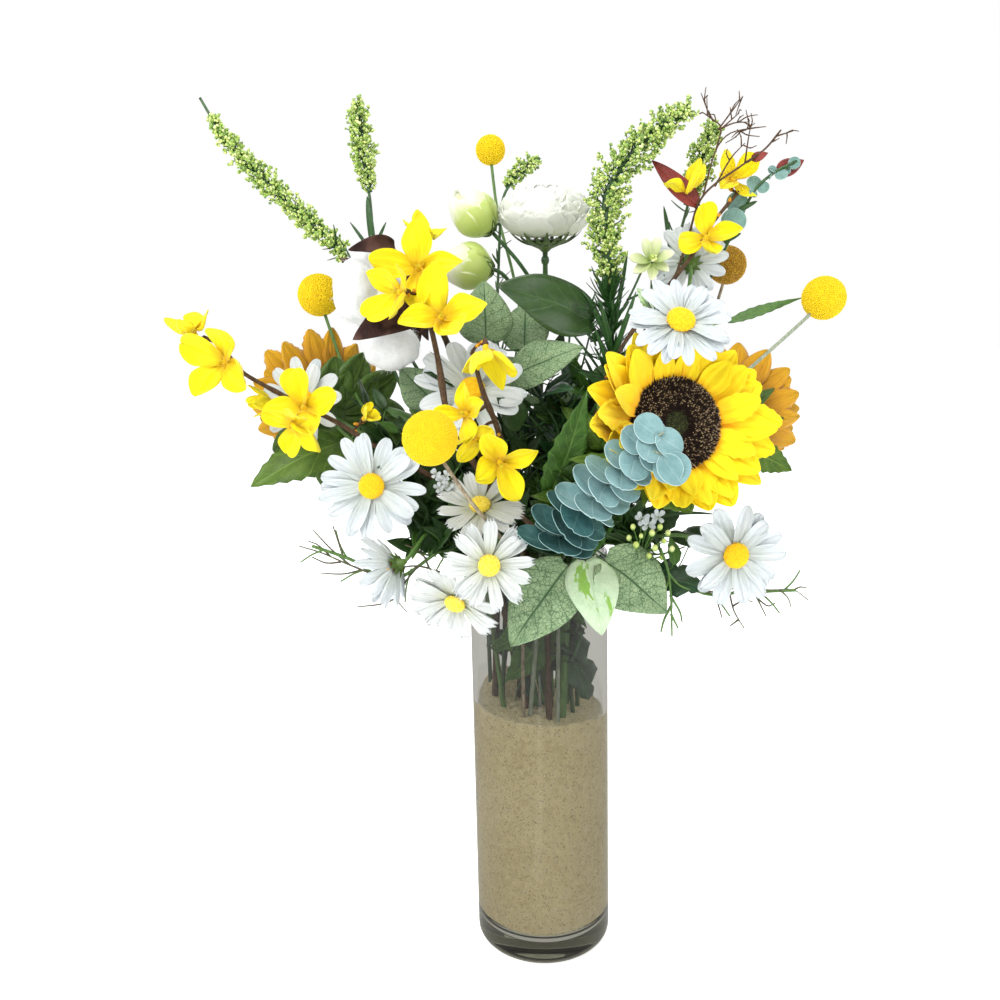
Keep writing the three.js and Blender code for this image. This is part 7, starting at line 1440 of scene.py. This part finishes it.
def stems_of(M, node, mat, sides=10, knots=0.0, seed=1):
    out = []
    for s in STEMS:
        if s[0] == node:
            out.append(main_tube(M, s[3], s[1], s[2], mat=mat, sides=sides, knots=knots, seed="%s%s" % (node, seed)))
    for s in STALKS:
        if s[0] == node:
            out.append(main_tube(M, s[3], s[1], s[2], mat=mat, sides=max(6, sides - 2), seed="%s%s" % (node, seed)))
    return out


for nm in ("sunflower_front", "sunflower_left", "sunflower_right"):
    h = HEAD[nm]
    sunflower(h)
    M = Mesh()
    stems_of(M, nm + "_stem", 0, 12)
    sun_calyx(M, h, 1)
    node_leaves(M, nm + "_stem", {"sunleaf": 2, "broad": 2, "serrate": 2, "ivy": 3, "veined": 2, "pale": 2, "blue": 2, "grass": 3, "round": 2, "maroon": 2, "husk": 2, "stalk": 0})
    filler(M, nm + "_stem", 26, {"serrate": 2, "broad": 4, "grass": 4, "stalk": 0}, long=(26, 46), wide=(12, 19), kinds=("serrate", "broad"))
    ob = M.make(nm + "_stem_and_leaves", [G["green_stem"], G["calyx"], G["sunleaf"], G["ivy"], G["deep"]])
    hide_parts(nm + "_stem")

# ---------------------------------------------------------------- daisies
OWNER = {}
for h in HEADS:
    if h[1] == "daisy":
        daisy(h)
        OWNER.setdefault(DAISY_STEM[h[0]], []).append(h)
for node in sorted({"daisy_spray_left_stem", "daisy_spray_centre_stem", "daisy_spray_right_stem", "daisy_spray_upper_stem", "daisy_8_stem"}):
    M = Mesh()
    stems_of(M, node, 0, 9)
    for h in OWNER.get(node, []):
        daisy_calyx(M, h, 1)
    node_leaves(M, node, {"sunleaf": 2, "broad": 2, "serrate": 2, "ivy": 2, "veined": 2, "pale": 2, "blue": 2, "grass": 2, "round": 2, "maroon": 2, "husk": 2, "stalk": 0})
    filler(M, node, 24, {"serrate": 3, "broad": 3, "grass": 3, "stalk": 0}, kinds=("serrate", "grass"))
    if node == "daisy_spray_right_stem":
        # green buds and small white bells below the sunflower
        rg = rng_for("bells")
        root = at(640, 560, -42)
        for (u_, v_, y_) in ((633, 527, -66), (641, 536, -70), (636, 545, -68), (652, 533, -72), (660, 527, -70), (664, 541, -74), (655, 548, -72), (646, 520, -66), (668, 533, -68), (672, 549, -66), (629, 538, -62), (649, 556, -64), (662, 557, -62)):
            p = at(u_, v_, y_)
            mid_ = (root + p) / 2 + V(rg.uniform(-2, 2), rg.uniform(-3, 1), rg.uniform(-2, 2))
            tube(M, smooth_line([root, mid_, p], 8), np.linspace(0.6, 0.4, 8), 6, 0)
            bead(M, p, rg.uniform(1.5, 2.2), V(0, -0.4, 1), 1.25, 4, rg.random(), fine=True)
        for (u_, v_) in ((642, 519), (658, 517), (648, 525)):
            p = at(u_, v_, -70)
            tube(M, smooth_line([root, (root + p) / 2 + V(0, 4, 0), p], 8), 0.45, 6, 0)
            for i in range(5):
                a = 2 * math.pi * i / 5 + rg.random()
                petal(M, p, unit(V(0.1, -0.9, 0.4)), unit(V(math.cos(a), 0, math.sin(a))), 0.5, 5.2, 3.2, 0, 1.5, tip="daisy", rows=6, cols=5, t=0.3, mat=5, rnd=rg.random())
    if node == "daisy_spray_centre_stem":
        rg = rng_for("small white")
        root = at(452, 520, -46)
        for (u_, v_) in ((436, 474), (441, 481), (446, 476), (439, 488), (449, 486)):
            p = at(u_, v_, -64)
            tube(M, smooth_line([root, (root + p) / 2 + V(2, 3, 0), p], 8), 0.45, 6, 0)
            for i in range(5):
                a = 2 * math.pi * i / 5 + rg.random()
                petal(M, p, unit(V(-0.2, -0.9, 0.4)), unit(V(math.cos(a), 0, math.sin(a))), 0.3, 3.6, 2.6, 0, 1.2, tip="daisy", rows=6, cols=5, t=0.3, mat=5, rnd=rg.random())
    ob = M.make(node + "_branches", [G["green_stem"], G["calyx"], G["serrate"], G["deep"], G["berry"], G["daisy_white"]])
    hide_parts(node)

# -------------------------------------------------------------- craspedia
for h in HEADS:
    if h[1] == "ball":
        nm = h[0]
        # craspedia_3 takes the darker ball colour, a painted shade
        mats = {"craspedia_3": (G["ball_brown"], G["tan_stem"]), "craspedia_4": (G["ball"], G["grey_stem"]), "craspedia_5": (G["ball"], G["tan_stem"])}.get(nm, (G["ball"], G["green_stem"]))
        craspedia(h, list(mats))

# -------------------------------------------------------------- forsythia
for node in ("forsythia_left", "forsythia_upper", "forsythia_centre", "forsythia_right"):
    M = Mesh()
    stems_of(M, node, 0, 8, knots=0.22)
    for b in BLOOMS:
        if b[0] == node:
            blossom(M, b, 1, 2)
    # small closed buds along the twigs
    rg = rng_for(node)
    for s in STEMS + STALKS:
        if s[0] != node:
            continue
        P = smooth_line(s[3], 40)
        if P[-1][2] < 330:
            continue
        for _ in range(5 if len(s[3]) > 4 else 2):
            i = rg.randrange(20, 39)
            if P[i][2] < 330:
                continue
            d = unit(nrand(rg, 3) + V(0, 0, 0.6))
            bead(M, P[i] + d * 1.6, 1.25, d, 1.9, 3, rg.random(), fine=True)
            bead(M, P[i] + d * 0.6, 1.0, d, 1.0, 2, rg.random(), fine=True)
    ob = M.make(node + "_branch", [G["brown_stem"], G["forsythia"], G["brown_stem"], G["fringe"]])
    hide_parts(node)

# ----------------------------------------------------------------- cotton
M = Mesh()
stems_of(M, "cotton_stem_husk", 0, 10, knots=0.1)
k = 0
for L in LEAVES:
    if L[0] == "cotton_stem_husk":
        if k > 1:
            leaf(M, "husk", L[2], L[3], L[4] * 1.25, L[5], 0.15, 0.5, L[8] if len(L) > 8 else None, 1, 0, 0.4)
        k += 1
# the two broad bracts in front: the middle one and the band at the top
for ends, wd, hint, bend in (((at(424, 309, -34), at(353, 337, -50)), 25.0, V(0.15, -1, 0.35), 0.26), ((at(394, 247, -14), at(350, 248, -32)), 13.0, V(0.0, -1, 0.2), 0.30)):
    leaf(M, "husk", ends[0], ends[1], wd, hint, 0.1, bend, V(-84.0, 6.0, 478.0), 1, 0, 0.4, rows=19, cols=13)
ob = M.make("cotton_branch_and_husk", [G["brown_stem"], G["husk"]])
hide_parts("cotton_stem_husk")
M = Mesh()
rg = rng_for("lint")
v0, f0 = ball_mesh(64, 40)
for k, (c, rad) in enumerate(COTTON_LOBES):
    c, rad = V(*c), V(*rad)
    ph = [rg.uniform(0, 6) for _ in range(12)]
    dirs_ = [unit(nrand(rg, 3)) for _ in range(12)]
    disp = np.zeros(len(v0))
    for j in range(12):
        fr = 2.2 + 1.1 * j
        disp += np.sin(fr * (v0 @ dirs_[j]) + ph[j] + 1.6 * np.sin(3 * (v0 @ dirs_[(j + 3) % 12]))) * (0.07 / (1 + 0.45 * j))
    tufts = [unit(nrand(rg, 3)) for _ in range(16)]
    for t_ in tufts:
        disp += 0.07 * np.exp(-((1 - v0 @ t_) / 0.05))
    p = c + v0 * rad * (0.97 + 0.5 * disp)[:, None]
    M.add(p, f0, None, None, rg.random(), 0)
    for _ in range(420):
        d = unit(nrand(rg, 3))
        i = int(np.argmax(v0 @ d))
        s0 = c + v0[i] * rad * (0.97 + 0.5 * disp[i]) * 0.985
        tdir = unit(d * 0.7 + nrand(rg, 3) * 0.9)
        s1 = s0 + tdir * rg.uniform(0.8, 2.4)
        s2 = s1 + unit(tdir + nrand(rg, 3) * 0.9 - d * 0.6) * rg.uniform(1.0, 3.4)
        tube(M, smooth_line([s0, s1, s2], 5), [0.09, 0.08, 0.07, 0.05, 0.03], 3, 1)
ob = M.make("cotton_lint_lobes", [G["cotton"], G["fibre"]])
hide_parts("cotton_lint")

# ------------------------------------------------------------- ranunculus
M = Mesh()
stems_of(M, "ranunculus_stem", 0, 11)
h = HEAD["ranunculus_bloom"]
c, n, u, w, R, spin = head_basis(h)
lathe(M, [(0, -18.6), (15, -18.9), (17, -20.2), (12, -22.6), (5, -25.5), (2.2, -28), (0, -28.2)], 28, c, n, mat=1)
for i in range(20):
    a = spin + 2 * math.pi * i / 20
    ln = 28.5 if i % 2 else 24.0
    petal(M, c, n, u * math.cos(a) + w * math.sin(a), 6, ln, 8.4, -22.6, -12.0 if i % 2 else -15.5, curl=0.02, cup=-0.1, tip="spear", rows=10, cols=5, t=0.5, mat=1, rnd=rg.random(), lean=2.2)
bead(M, c - n * 34, 3.2, n, 1.3, 0, 0.5, fine=True)
node_leaves(M, "ranunculus_stem", {"sunleaf": 2, "broad": 2, "serrate": 2, "ivy": 2, "veined": 2, "pale": 2, "blue": 2, "grass": 3, "round": 2, "maroon": 2, "husk": 2, "stalk": 0})
ob = M.make("ranunculus_branch", [G["dark_stem"], G["calyx"], G["serrate"], G["grass"]])
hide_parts("ranunculus_stem")
ranunculus_bloom(h)
for h in HEADS:
    if h[1] == "bud":
        ranunculus_bud(h)

# ----------------------------------------------------------- berry spikes
for node in ("berry_spike_left", "berry_spike_small", "berry_spike_tall", "berry_spike_right", "berry_spike_back"):
    M = Mesh()
    stems_of(M, node, 0, 8)
    rg = rng_for(node)
    for s in SPIKES:
        if s[0] == node:
            berries(M, node, s[1] * {"berry_spike_tall": 1.22, "berry_spike_right": 1.45, "berry_spike_small": 1.2, "berry_spike_left": 1.1}.get(node, 1.0), s[2], rg, 1, 0, 3)
    if node == "berry_spike_tall":
        blades(M, smooth_line([at(612, 420, 2), at(612, 350, 4), at(610, 318, 4), at(609, 285, 4)], 60), None, 190, 23, 3.5, rg, 3, 0.62, 0.85)
        blades(M, smooth_line([at(600, 360, -6), at(592, 330, -8), at(588, 300, -6)], 30), None, 26, 15, 2.0, rg, 3, 0.8, 0.6)
    if node == "berry_spike_left":
        blades(M, smooth_line([at(372, 300, 26), at(352, 262, 30), at(335, 243, 33)], 30), None, 12, 15, 2.2, rg, 3)
    if node == "berry_spike_right":
        rg2 = rng_for("green bloom")
        p = at(652, 262, -18)
        root = at(650, 312, 4)
        tube(M, smooth_line([root, (root + p) / 2 + V(1, 4, 0), p], 10), 0.9, 7, 0)
        for i in range(7):
            a = 2 * math.pi * i / 7 + rg2.random() * 0.5
            petal(M, p, unit(V(0.1, -0.8, 0.6)), unit(V(math.cos(a), 0.2, math.sin(a))), 1.0, rg2.uniform(13, 17), 8.0, 0, rg2.uniform(2, 8), curl=0.1, cup=rg2.uniform(0.2, 0.8), tip="point", twist=rg2.uniform(-0.6, 0.6), crease=1.2, rows=12, cols=7, t=0.4, mat=6, rnd=rg2.random(), wave=0.1)
        for k in range(16):
            bead(M, p + V(rg2.uniform(-2, 2), rg2.uniform(-5, -2), rg2.uniform(0, 4)), 0.9, V(0, -1, 0.5), 1.2, 1, rg2.random(), fine=True)
        for (u_, v_, y_) in ((637, 288, -8), (668, 285, -6), (648, 300, -10)):
            leaf(M, "serrate", at(650, 305, -2), at(u_, v_, y_), 11, V(0, -1, 0.5), 0.2, 0.1, None, 5, 0, rg2.random(), rows=11, cols=7)
    if node in ("berry_spike_right", "berry_spike_back"):
        rg2 = rng_for(node + " blades")
        for s in STEMS:
            if s[0] == node:
                P = smooth_line(s[3], 90)
                P = P[P[:, 2] > 430]
                blades(M, P[: max(12, len(P) * 2 // 3)], None, 26, 17, 2.2, rg2, 3)
    filler(M, node, 12, {"serrate": 4, "broad": 4, "grass": 3, "stalk": 0}, kinds=("serrate", "grass", "grass"))
    node_leaves(M, node, {"grass": 3, "serrate": 4, "broad": 4, "pale": 5, "veined": 4, "blue": 4, "ivy": 4, "sunleaf": 4, "round": 5, "maroon": 4, "husk": 4, "stalk": 0})
    ob = M.make(node + "_branch", [G["dark_stem"], G["berry"], G["berry_dark"], G["grass"], G["serrate"], G["pale"], G["bud"]])
    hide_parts(node)

# -------------------------------------------------------------- eucalyptus
def coin(M, b, d, n, size, mat, rnd, cup=0.14, fold=0.0):
    """A round leaf from its base b, out along d, facing n."""
    d = unit(d)
    n = unit(n - d * (n @ d))
    s_ = np.cross(d, n)
    rows, cols = 17, 13
    g = np.zeros((rows, cols, 3))
    for i in range(rows):
        q = 0.5 - 0.5 * math.cos(math.pi * i / (rows - 1))
        half = size / 2 * 1.04 * max(0.05, 1 - (2 * q - 1) ** 2) ** 0.5
        for j in range(cols):
            x = 2 * j / (cols - 1) - 1
            x_ = math.sin(x * math.pi / 2)
            lift = cup * size * ((2 * q - 1) ** 2 * 0.5 + x_ * x_ * (half / size * 2) ** 2 * 0.5 - 0.5) + fold * half * abs(x_) + 0.02 * size * math.sin(4 * x_ + 9 * rnd)
            lift -= 0.05 * size * math.exp(-((x_ / 0.12) ** 2)) * (1 - q)
            g[i, j] = b + d * size * q + s_ * half * x_ + n * lift
    sheet(M, g, 0.5, mat, rnd)


M = Mesh()
rg = rng_for("coins")
axis_px = [(553, 545, -104), (562, 530, -110), (578, 513, -120), (594, 496, -131), (609, 481, -137), (625, 466, -140), (641, 451, -142), (654, 439, -143), (664, 432, -144)]
A = smooth_line([at(*q) for q in axis_px], 60)
T_, N_, B_ = frames(A)
# the stem rises to the lowest leaf, then runs up through the stack of leaves
for s in STEMS:
    if s[0] == "eucalyptus_front":
        P = [V(*p) for p in s[3] if p[2] < A[0][2] - 6]
        main_tube(M, P + [A[0]], s[1], 1.3, mat=0, sides=8, seed="euc")
for s in STALKS:
    if s[0] == "eucalyptus_front" and max(p[2] for p in s[3]) < A[0][2] + 4:
        main_tube(M, s[3], s[1], s[2], mat=0, sides=6, seed="euc stalk")
tube(M, A, np.linspace(1.3, 0.6, len(A)), 7, 0)
pairs = 17
for k in range(pairs):
    q = k / (pairs - 1)
    i = int(round(2 + q * 55))
    size = (28.0 - 10.5 * q) * rg.uniform(0.92, 1.04)
    a0 = (math.pi / 2 if k % 2 else 0.0) + 0.35 + rg.uniform(-0.2, 0.2)
    view_dir = unit(CAM - A[i])
    across_ = unit(T_[i] - view_dir * (T_[i] @ view_dir))
    # each pair stands square to the sprig, seen at a slant, and is turned a quarter from the last
    nrm0 = unit(across_ + view_dir * (0.52 + 0.7 * q ** 3) + nrand(rg, 3) * 0.10)
    d0 = unit(np.cross(nrm0, view_dir))
    d1 = np.cross(nrm0, d0)
    for side in (0, math.pi):
        a_ = a0 + side
        d = unit(d0 * math.cos(a_) + d1 * math.sin(a_))
        nrm = unit(nrm0 + nrand(rg, 3) * 0.08)
        coin(M, A[i] - d * size * 0.10, unit(d - nrm * (d @ nrm) * 0.85), nrm, size, 2 if q < 0.34 else 1, rg.random(), cup=rg.uniform(0.08, 0.20))
# the small folded pair near the tip
p = at(662, 455, -146)
tube(M, smooth_line([A[50], (A[50] + p) / 2 + V(1, -2, 0), p], 7), 0.6, 6, 0)
coin(M, p, unit(at(677, 477, -150) - p), V(0.2, -1, 0.35), 20, 1, 0.3, cup=0.05, fold=0.45)
coin(M, p, unit(at(672, 474, -148) - p), V(-0.5, -1, 0.2), 17, 1, 0.8, cup=0.05, fold=0.35)
for L in LEAVES:
    if L[0] == "eucalyptus_front" and L[1] == "ivy":
        leaf(M, "ivy", L[2], L[3], L[4], L[5], L[6], L[7], L[8] if len(L) > 8 else None, 3, 0, 0.5)
ob = M.make("eucalyptus_front_sprig", [G["grey_stem"], G["euc"], G["euc_low"], G["ivy"]])
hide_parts("eucalyptus_front")

M = Mesh()
stems_of(M, "eucalyptus_back", 0, 8)
rg = rng_for("back coins")
k = 0
for L in LEAVES:
    if L[0] != "eucalyptus_back":
        continue
    nd, kind, b, t, w, hint, fold, bend = L[:8]
    p = V(*L[8]) if len(L) > 8 else V(*b)
    if kind == "round":
        b_, t_ = V(*b), V(*t)
        tube(M, smooth_line([p, b_], 4), 0.6, 6, 0)
        size_ = float(np.linalg.norm(t_ - b_)) * 0.78
        coin(M, b_, t_ - b_, V(*hint), size_, 1, rg.random(), cup=0.16)
        coin(M, b_, unit(b_ - t_ + nrand(rg, 3) * size_ * 0.4), V(*hint) + nrand(rg, 3) * 0.6, size_ * 0.62, 1, rg.random(), cup=0.2)
    else:
        leaf(M, kind, b, t, w * (1.2 if kind == "maroon" else 1), hint, fold, bend, p, 3 if kind == "maroon" else 2, 0, rg.random())
    k += 1
filler(M, "eucalyptus_back", 10, {"serrate": 2, "broad": 2, "grass": 2, "stalk": 0}, kinds=("serrate",))
ob = M.make("eucalyptus_back_sprig", [G["dark_stem"], G["euc_back"], G["grass"], G["maroon"]])
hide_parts("eucalyptus_back")

# ----------------------------------------------------- twig, leaf sprays
M = Mesh()
for s_ in STEMS + STALKS:
    if s_[0] == "twig_branch":
        main_tube(M, s_[3], s_[1] * 0.8, s_[2] * 0.55, mat=0, sides=8, knots=0.25, seed="twig%.1f" % s_[1])
node_leaves(M, "twig_branch", {k: 1 for k in ("sunleaf", "broad", "serrate", "ivy", "veined", "pale", "blue", "grass", "round", "maroon", "husk")} | {"stalk": 0})
# finer forks at the ends
rg = rng_for("forks")
for s in STALKS + STEMS:
    if s[0] != "twig_branch":
        continue
    P = smooth_line(s[3], 40)
    L_ = np.linalg.norm(np.diff(P, axis=0), axis=1).sum()
    for k in range(int(2 + L_ / 22) if s in STALKS else 3):
        i = rg.randrange(12 if s in STALKS else 30, 39)
        t_ = unit(P[min(39, i + 1)] - P[i - 1])
        d = unit(t_ * 0.8 + nrand(rg, 3) * V(0.7, 0.4, 0.7))
        e = P[i] + d * rg.uniform(6, 15)
        m_ = (P[i] + e) / 2 + nrand(rg, 3) * 0.9
        tube(M, smooth_line([P[i], m_, e], 7), np.linspace(0.55, 0.28, 7), 5, 0)
        bead(M, m_, 0.6, d, 1.2, 0, rg.random())
filler(M, "twig_branch", 8, {"serrate": 2, "broad": 2, "grass": 2, "stalk": 0}, kinds=("serrate",))
ob = M.make("twig_branch_bare", [G["brown_stem"], G["maroon"], G["deep"]])
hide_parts("twig_branch")
for node in ("leaf_spray_front", "leaf_spray_upper"):
    M = Mesh()
    stems_of(M, node, 0, 8)
    node_leaves(M, node, {"broad": 1, "veined": 2, "pale": 3, "blue": 4, "serrate": 5, "ivy": 6, "grass": 7, "sunleaf": 5, "round": 3, "maroon": 1, "husk": 1, "stalk": 0})
    filler(M, node, 22, {"serrate": 5, "broad": 6, "grass": 7, "stalk": 0}, long=(24, 40), wide=(10, 17))
    thicket(M, node, [(470, 330, 610, 470, 0, 60, 34, 1.1), (480, 615, 605, 690, -28, 28, 20, 0.8)] if node == "leaf_spray_upper" else [(480, 600, 605, 680, -32, 20, 22, 0.8)], {"serrate": 5, "broad": 6, "deep": 6, "grass": 7, "stalk": 0}, blade=0.4)
    filler(M, node, 9, {"serrate": 6, "broad": 6, "grass": 7, "stalk": 0}, zlo=205, zhi=285, xlo=-40, xhi=40, ylo=-40, yhi=40, long=(22, 38), wide=(9, 15), kinds=("serrate", "broad"))
    ob = M.make(node + "_sprig", [G["dark_stem"], G["broad"], G["veined"], G["pale"], G["blue"], G["serrate"], G["ivy"], G["grass"]])
    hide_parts(node)
for node in ("fern_left", "fern_right"):
    M = Mesh()
    stems_of(M, node, 0, 7)
    node_leaves(M, node, {"broad": 1, "veined": 1, "pale": 1, "blue": 1, "serrate": 1, "ivy": 2, "grass": 1, "sunleaf": 1, "round": 1, "maroon": 1, "husk": 1, "stalk": 0})
    filler(M, node, 26, {"serrate": 3, "broad": 3, "grass": 3, "stalk": 0}, ylo=-46, kinds=("serrate", "grass"))
    TM = {"serrate": 1, "broad": 3, "deep": 3, "grass": 3, "stalk": 0}
    if node == "fern_left":
        thicket(M, "left", [(385, 460, 470, 590, -58, -15, 26, 0.85), (430, 420, 545, 560, -30, 35, 46, 1.0), (340, 385, 430, 460, -20, 35, 16, 0.9), (440, 560, 530, 640, -40, 5, 26, 0.75), (395, 520, 470, 600, -55, -10, 22, 0.8)], TM)
        y = -56
        sprig(M, [
            [(372, 574, y), (345, 563, y), (322, 553, y - 2), (299, 546, y - 4)],
            [(350, 565, y), (331, 549, y - 2), (313, 530, y - 4)],
            [(331, 557, y), (318, 545, y - 3), (308, 541, y - 4)],
            [(345, 563, y), (340, 547, y - 2), (333, 526, y - 3)],
            [(362, 570, y), (343, 574, y - 1), (320, 573, y - 3)],
            [(341, 562, y), (326, 563, y - 1), (312, 557, y - 2)],
            [(440, 572, y - 6), (418, 566, y - 8), (398, 569, y - 8), (386, 580, y - 10), (372, 592, y - 12)],
            [(418, 566, y - 8), (404, 584, y - 10), (398, 600, y - 12), (407, 612, y - 13)],
            [(400, 595, y - 10), (386, 603, y - 12), (357, 607, y - 13)],
            [(398, 569, y - 8), (386, 560, y - 9), (376, 548, y - 9)],
            [(430, 570, y - 6), (421, 552, y - 8), (405, 545, y - 9)],
        ], 0.75, 0.40, 4)
    else:
        thicket(M, "right", [(600, 465, 705, 560, -45, 20, 44, 1.0), (560, 550, 650, 625, -40, 10, 24, 0.75), (560, 400, 640, 500, -20, 40, 18, 1.0), (640, 520, 700, 570, -60, -20, 12, 0.7)], TM)
        y = -52
        sprig(M, [
            [(690, 588, y), (713, 592, y - 2), (739, 588, y - 4), (770, 590, y - 6), (794, 590, y - 8), (808, 600, y - 9)],
            [(752, 589, y - 4), (759, 602, y - 6), (766, 616, y - 7)],
            [(729, 590, y - 3), (734, 611, y - 5), (744, 628, y - 6)],
            [(713, 592, y - 2), (718, 604, y - 4), (722, 618, y - 5)],
            [(733, 606, y - 5), (744, 600, y - 6), (753, 602, y - 7)],
            [(757, 598, y - 5), (768, 606, y - 6), (775, 603, y - 7)],
            [(780, 590, y - 7), (788, 598, y - 8), (791, 607, y - 8)],
            [(794, 590, y - 8), (800, 587, y - 9), (807, 588, y - 9)],
            [(738, 620, y - 5), (730, 626, y - 6)],
        ], 0.75, 0.38, 4)
        sprig(M, [
            [(660, 548, y - 10), (668, 570, y - 14), (671, 600, y - 16), (672, 636, y - 17)],
            [(669, 580, y - 14), (660, 600, y - 16), (654, 612, y - 17)],
            [(670, 595, y - 15), (680, 612, y - 16), (682, 622, y - 17)],
            [(671, 606, y - 16), (664, 620, y - 17), (661, 632, y - 17)],
            [(671, 614, y - 16), (678, 628, y - 17)],
            [(668, 572, y - 14), (678, 584, y - 15), (690, 590, y - 16)],
        ], 1.0, 0.55, 0)
    ob = M.make(node + "_sprig", [G["green_stem"], G["serrate"], G["ivy"], G["deep"], G["twig_green"]])
    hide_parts(node)

# ------------------------------------------------------- floor and light

floor_mat = Mat("floor", rough=0.9, spec=0.1)
floor_mat.color(floor_mat.mix(floor_mat.noise(floor_mat.obj(), 3, 2), (0.94, 0.94, 0.94), (0.96, 0.96, 0.96)))
floor_mat.b.inputs["Emission Color"].default_value = (1, 1, 1, 1)
floor_mat.b.inputs["Emission Strength"].default_value = 0.66
bpy.ops.mesh.primitive_plane_add(size=60.0, location=(0, 0, 0))
floor = bpy.context.object
floor.name = "floor"
floor.data.materials.append(floor_mat.m)
floor.visible_glossy = False
floor.visible_transmission = False

world = bpy.data.worlds.new("studio")
bpy.context.scene.world = world
world.use_nodes = True
wt = world.node_tree
bg = wt.nodes["Background"]
# the studio: a white band round the horizon, softer grey overhead and below
tc = wt.nodes.new("ShaderNodeTexCoord")
sp = wt.nodes.new("ShaderNodeSeparateXYZ")
wt.links.new(tc.outputs["Generated"], sp.inputs[0])


def wramp(sock, lo, hi, stops):
    mp = wt.nodes.new("ShaderNodeMapRange")
    mp.inputs["From Min"].default_value, mp.inputs["From Max"].default_value = lo, hi
    wt.links.new(sock, mp.inputs["Value"])
    rp = wt.nodes.new("ShaderNodeValToRGB")
    for e, (p, c) in zip(rp.color_ramp.elements, stops):
        e.position, e.color = p, (c, c, c, 1)
    wt.links.new(mp.outputs["Result"], rp.inputs[0])
    return rp.outputs[0]


side_tone = wramp(sp.outputs[2], 0.0, 1.0, [(0.38, 1.0), (0.60, 0.32)])
low_tone = wramp(sp.outputs[2], -1.0, 1.0, [(0.475, 0.0), (0.492, 1.0)])
mx = wt.nodes.new("ShaderNodeMixRGB")
mx.blend_type = "MULTIPLY"
mx.inputs[0].default_value = 1.0
wt.links.new(side_tone, mx.inputs[1])
wt.links.new(low_tone, mx.inputs[2])
lo = wt.nodes.new("ShaderNodeMixRGB")
lo.inputs[1].default_value = (0.54, 0.53, 0.50, 1)
wt.links.new(low_tone, lo.inputs[0])
wt.links.new(mx.outputs[0], lo.inputs[2])
wt.links.new(lo.outputs[0], bg.inputs["Color"])
bg.inputs["Strength"].default_value = 1.0


def area(name, loc, target, size, power, color=(1, 1, 1), size_y=None):
    ld = bpy.data.lights.new(name, "AREA")
    ld.energy = power
    ld.color = color
    ld.shape = "RECTANGLE"
    ld.size = size
    ld.size_y = size if size_y is None else size_y
    ob = bpy.data.objects.new(name, ld)
    bpy.context.scene.collection.objects.link(ob)
    ob.location = loc
    d = Vector(target) - Vector(loc)
    ob.rotation_euler = d.to_track_quat("-Z", "Y").to_euler()
    return ob


area("key", (-0.9, -1.4, 1.8), (0, 0, 0.40), 1.4, 41, (1.0, 0.99, 0.97))
area("fill", (1.6, -1.0, 1.0), (0, 0, 0.35), 1.4, 12, (0.97, 0.99, 1.0))
area("strip", (-0.03, -0.40, 0.006), (-0.03, -0.40, 1.0), 0.040, 0.055, size_y=0.50)
area("top", (0.0, 0.3, 2.2), (0, 0, 0.3), 1.2, 16)
area("back", (0.3, 1.7, 1.3), (0, 0, 0.4), 1.3, 6)

sc = bpy.context.scene
sc.view_settings.view_transform = "Standard"
sc.view_settings.look = "None"
sc.view_settings.exposure = 0.0
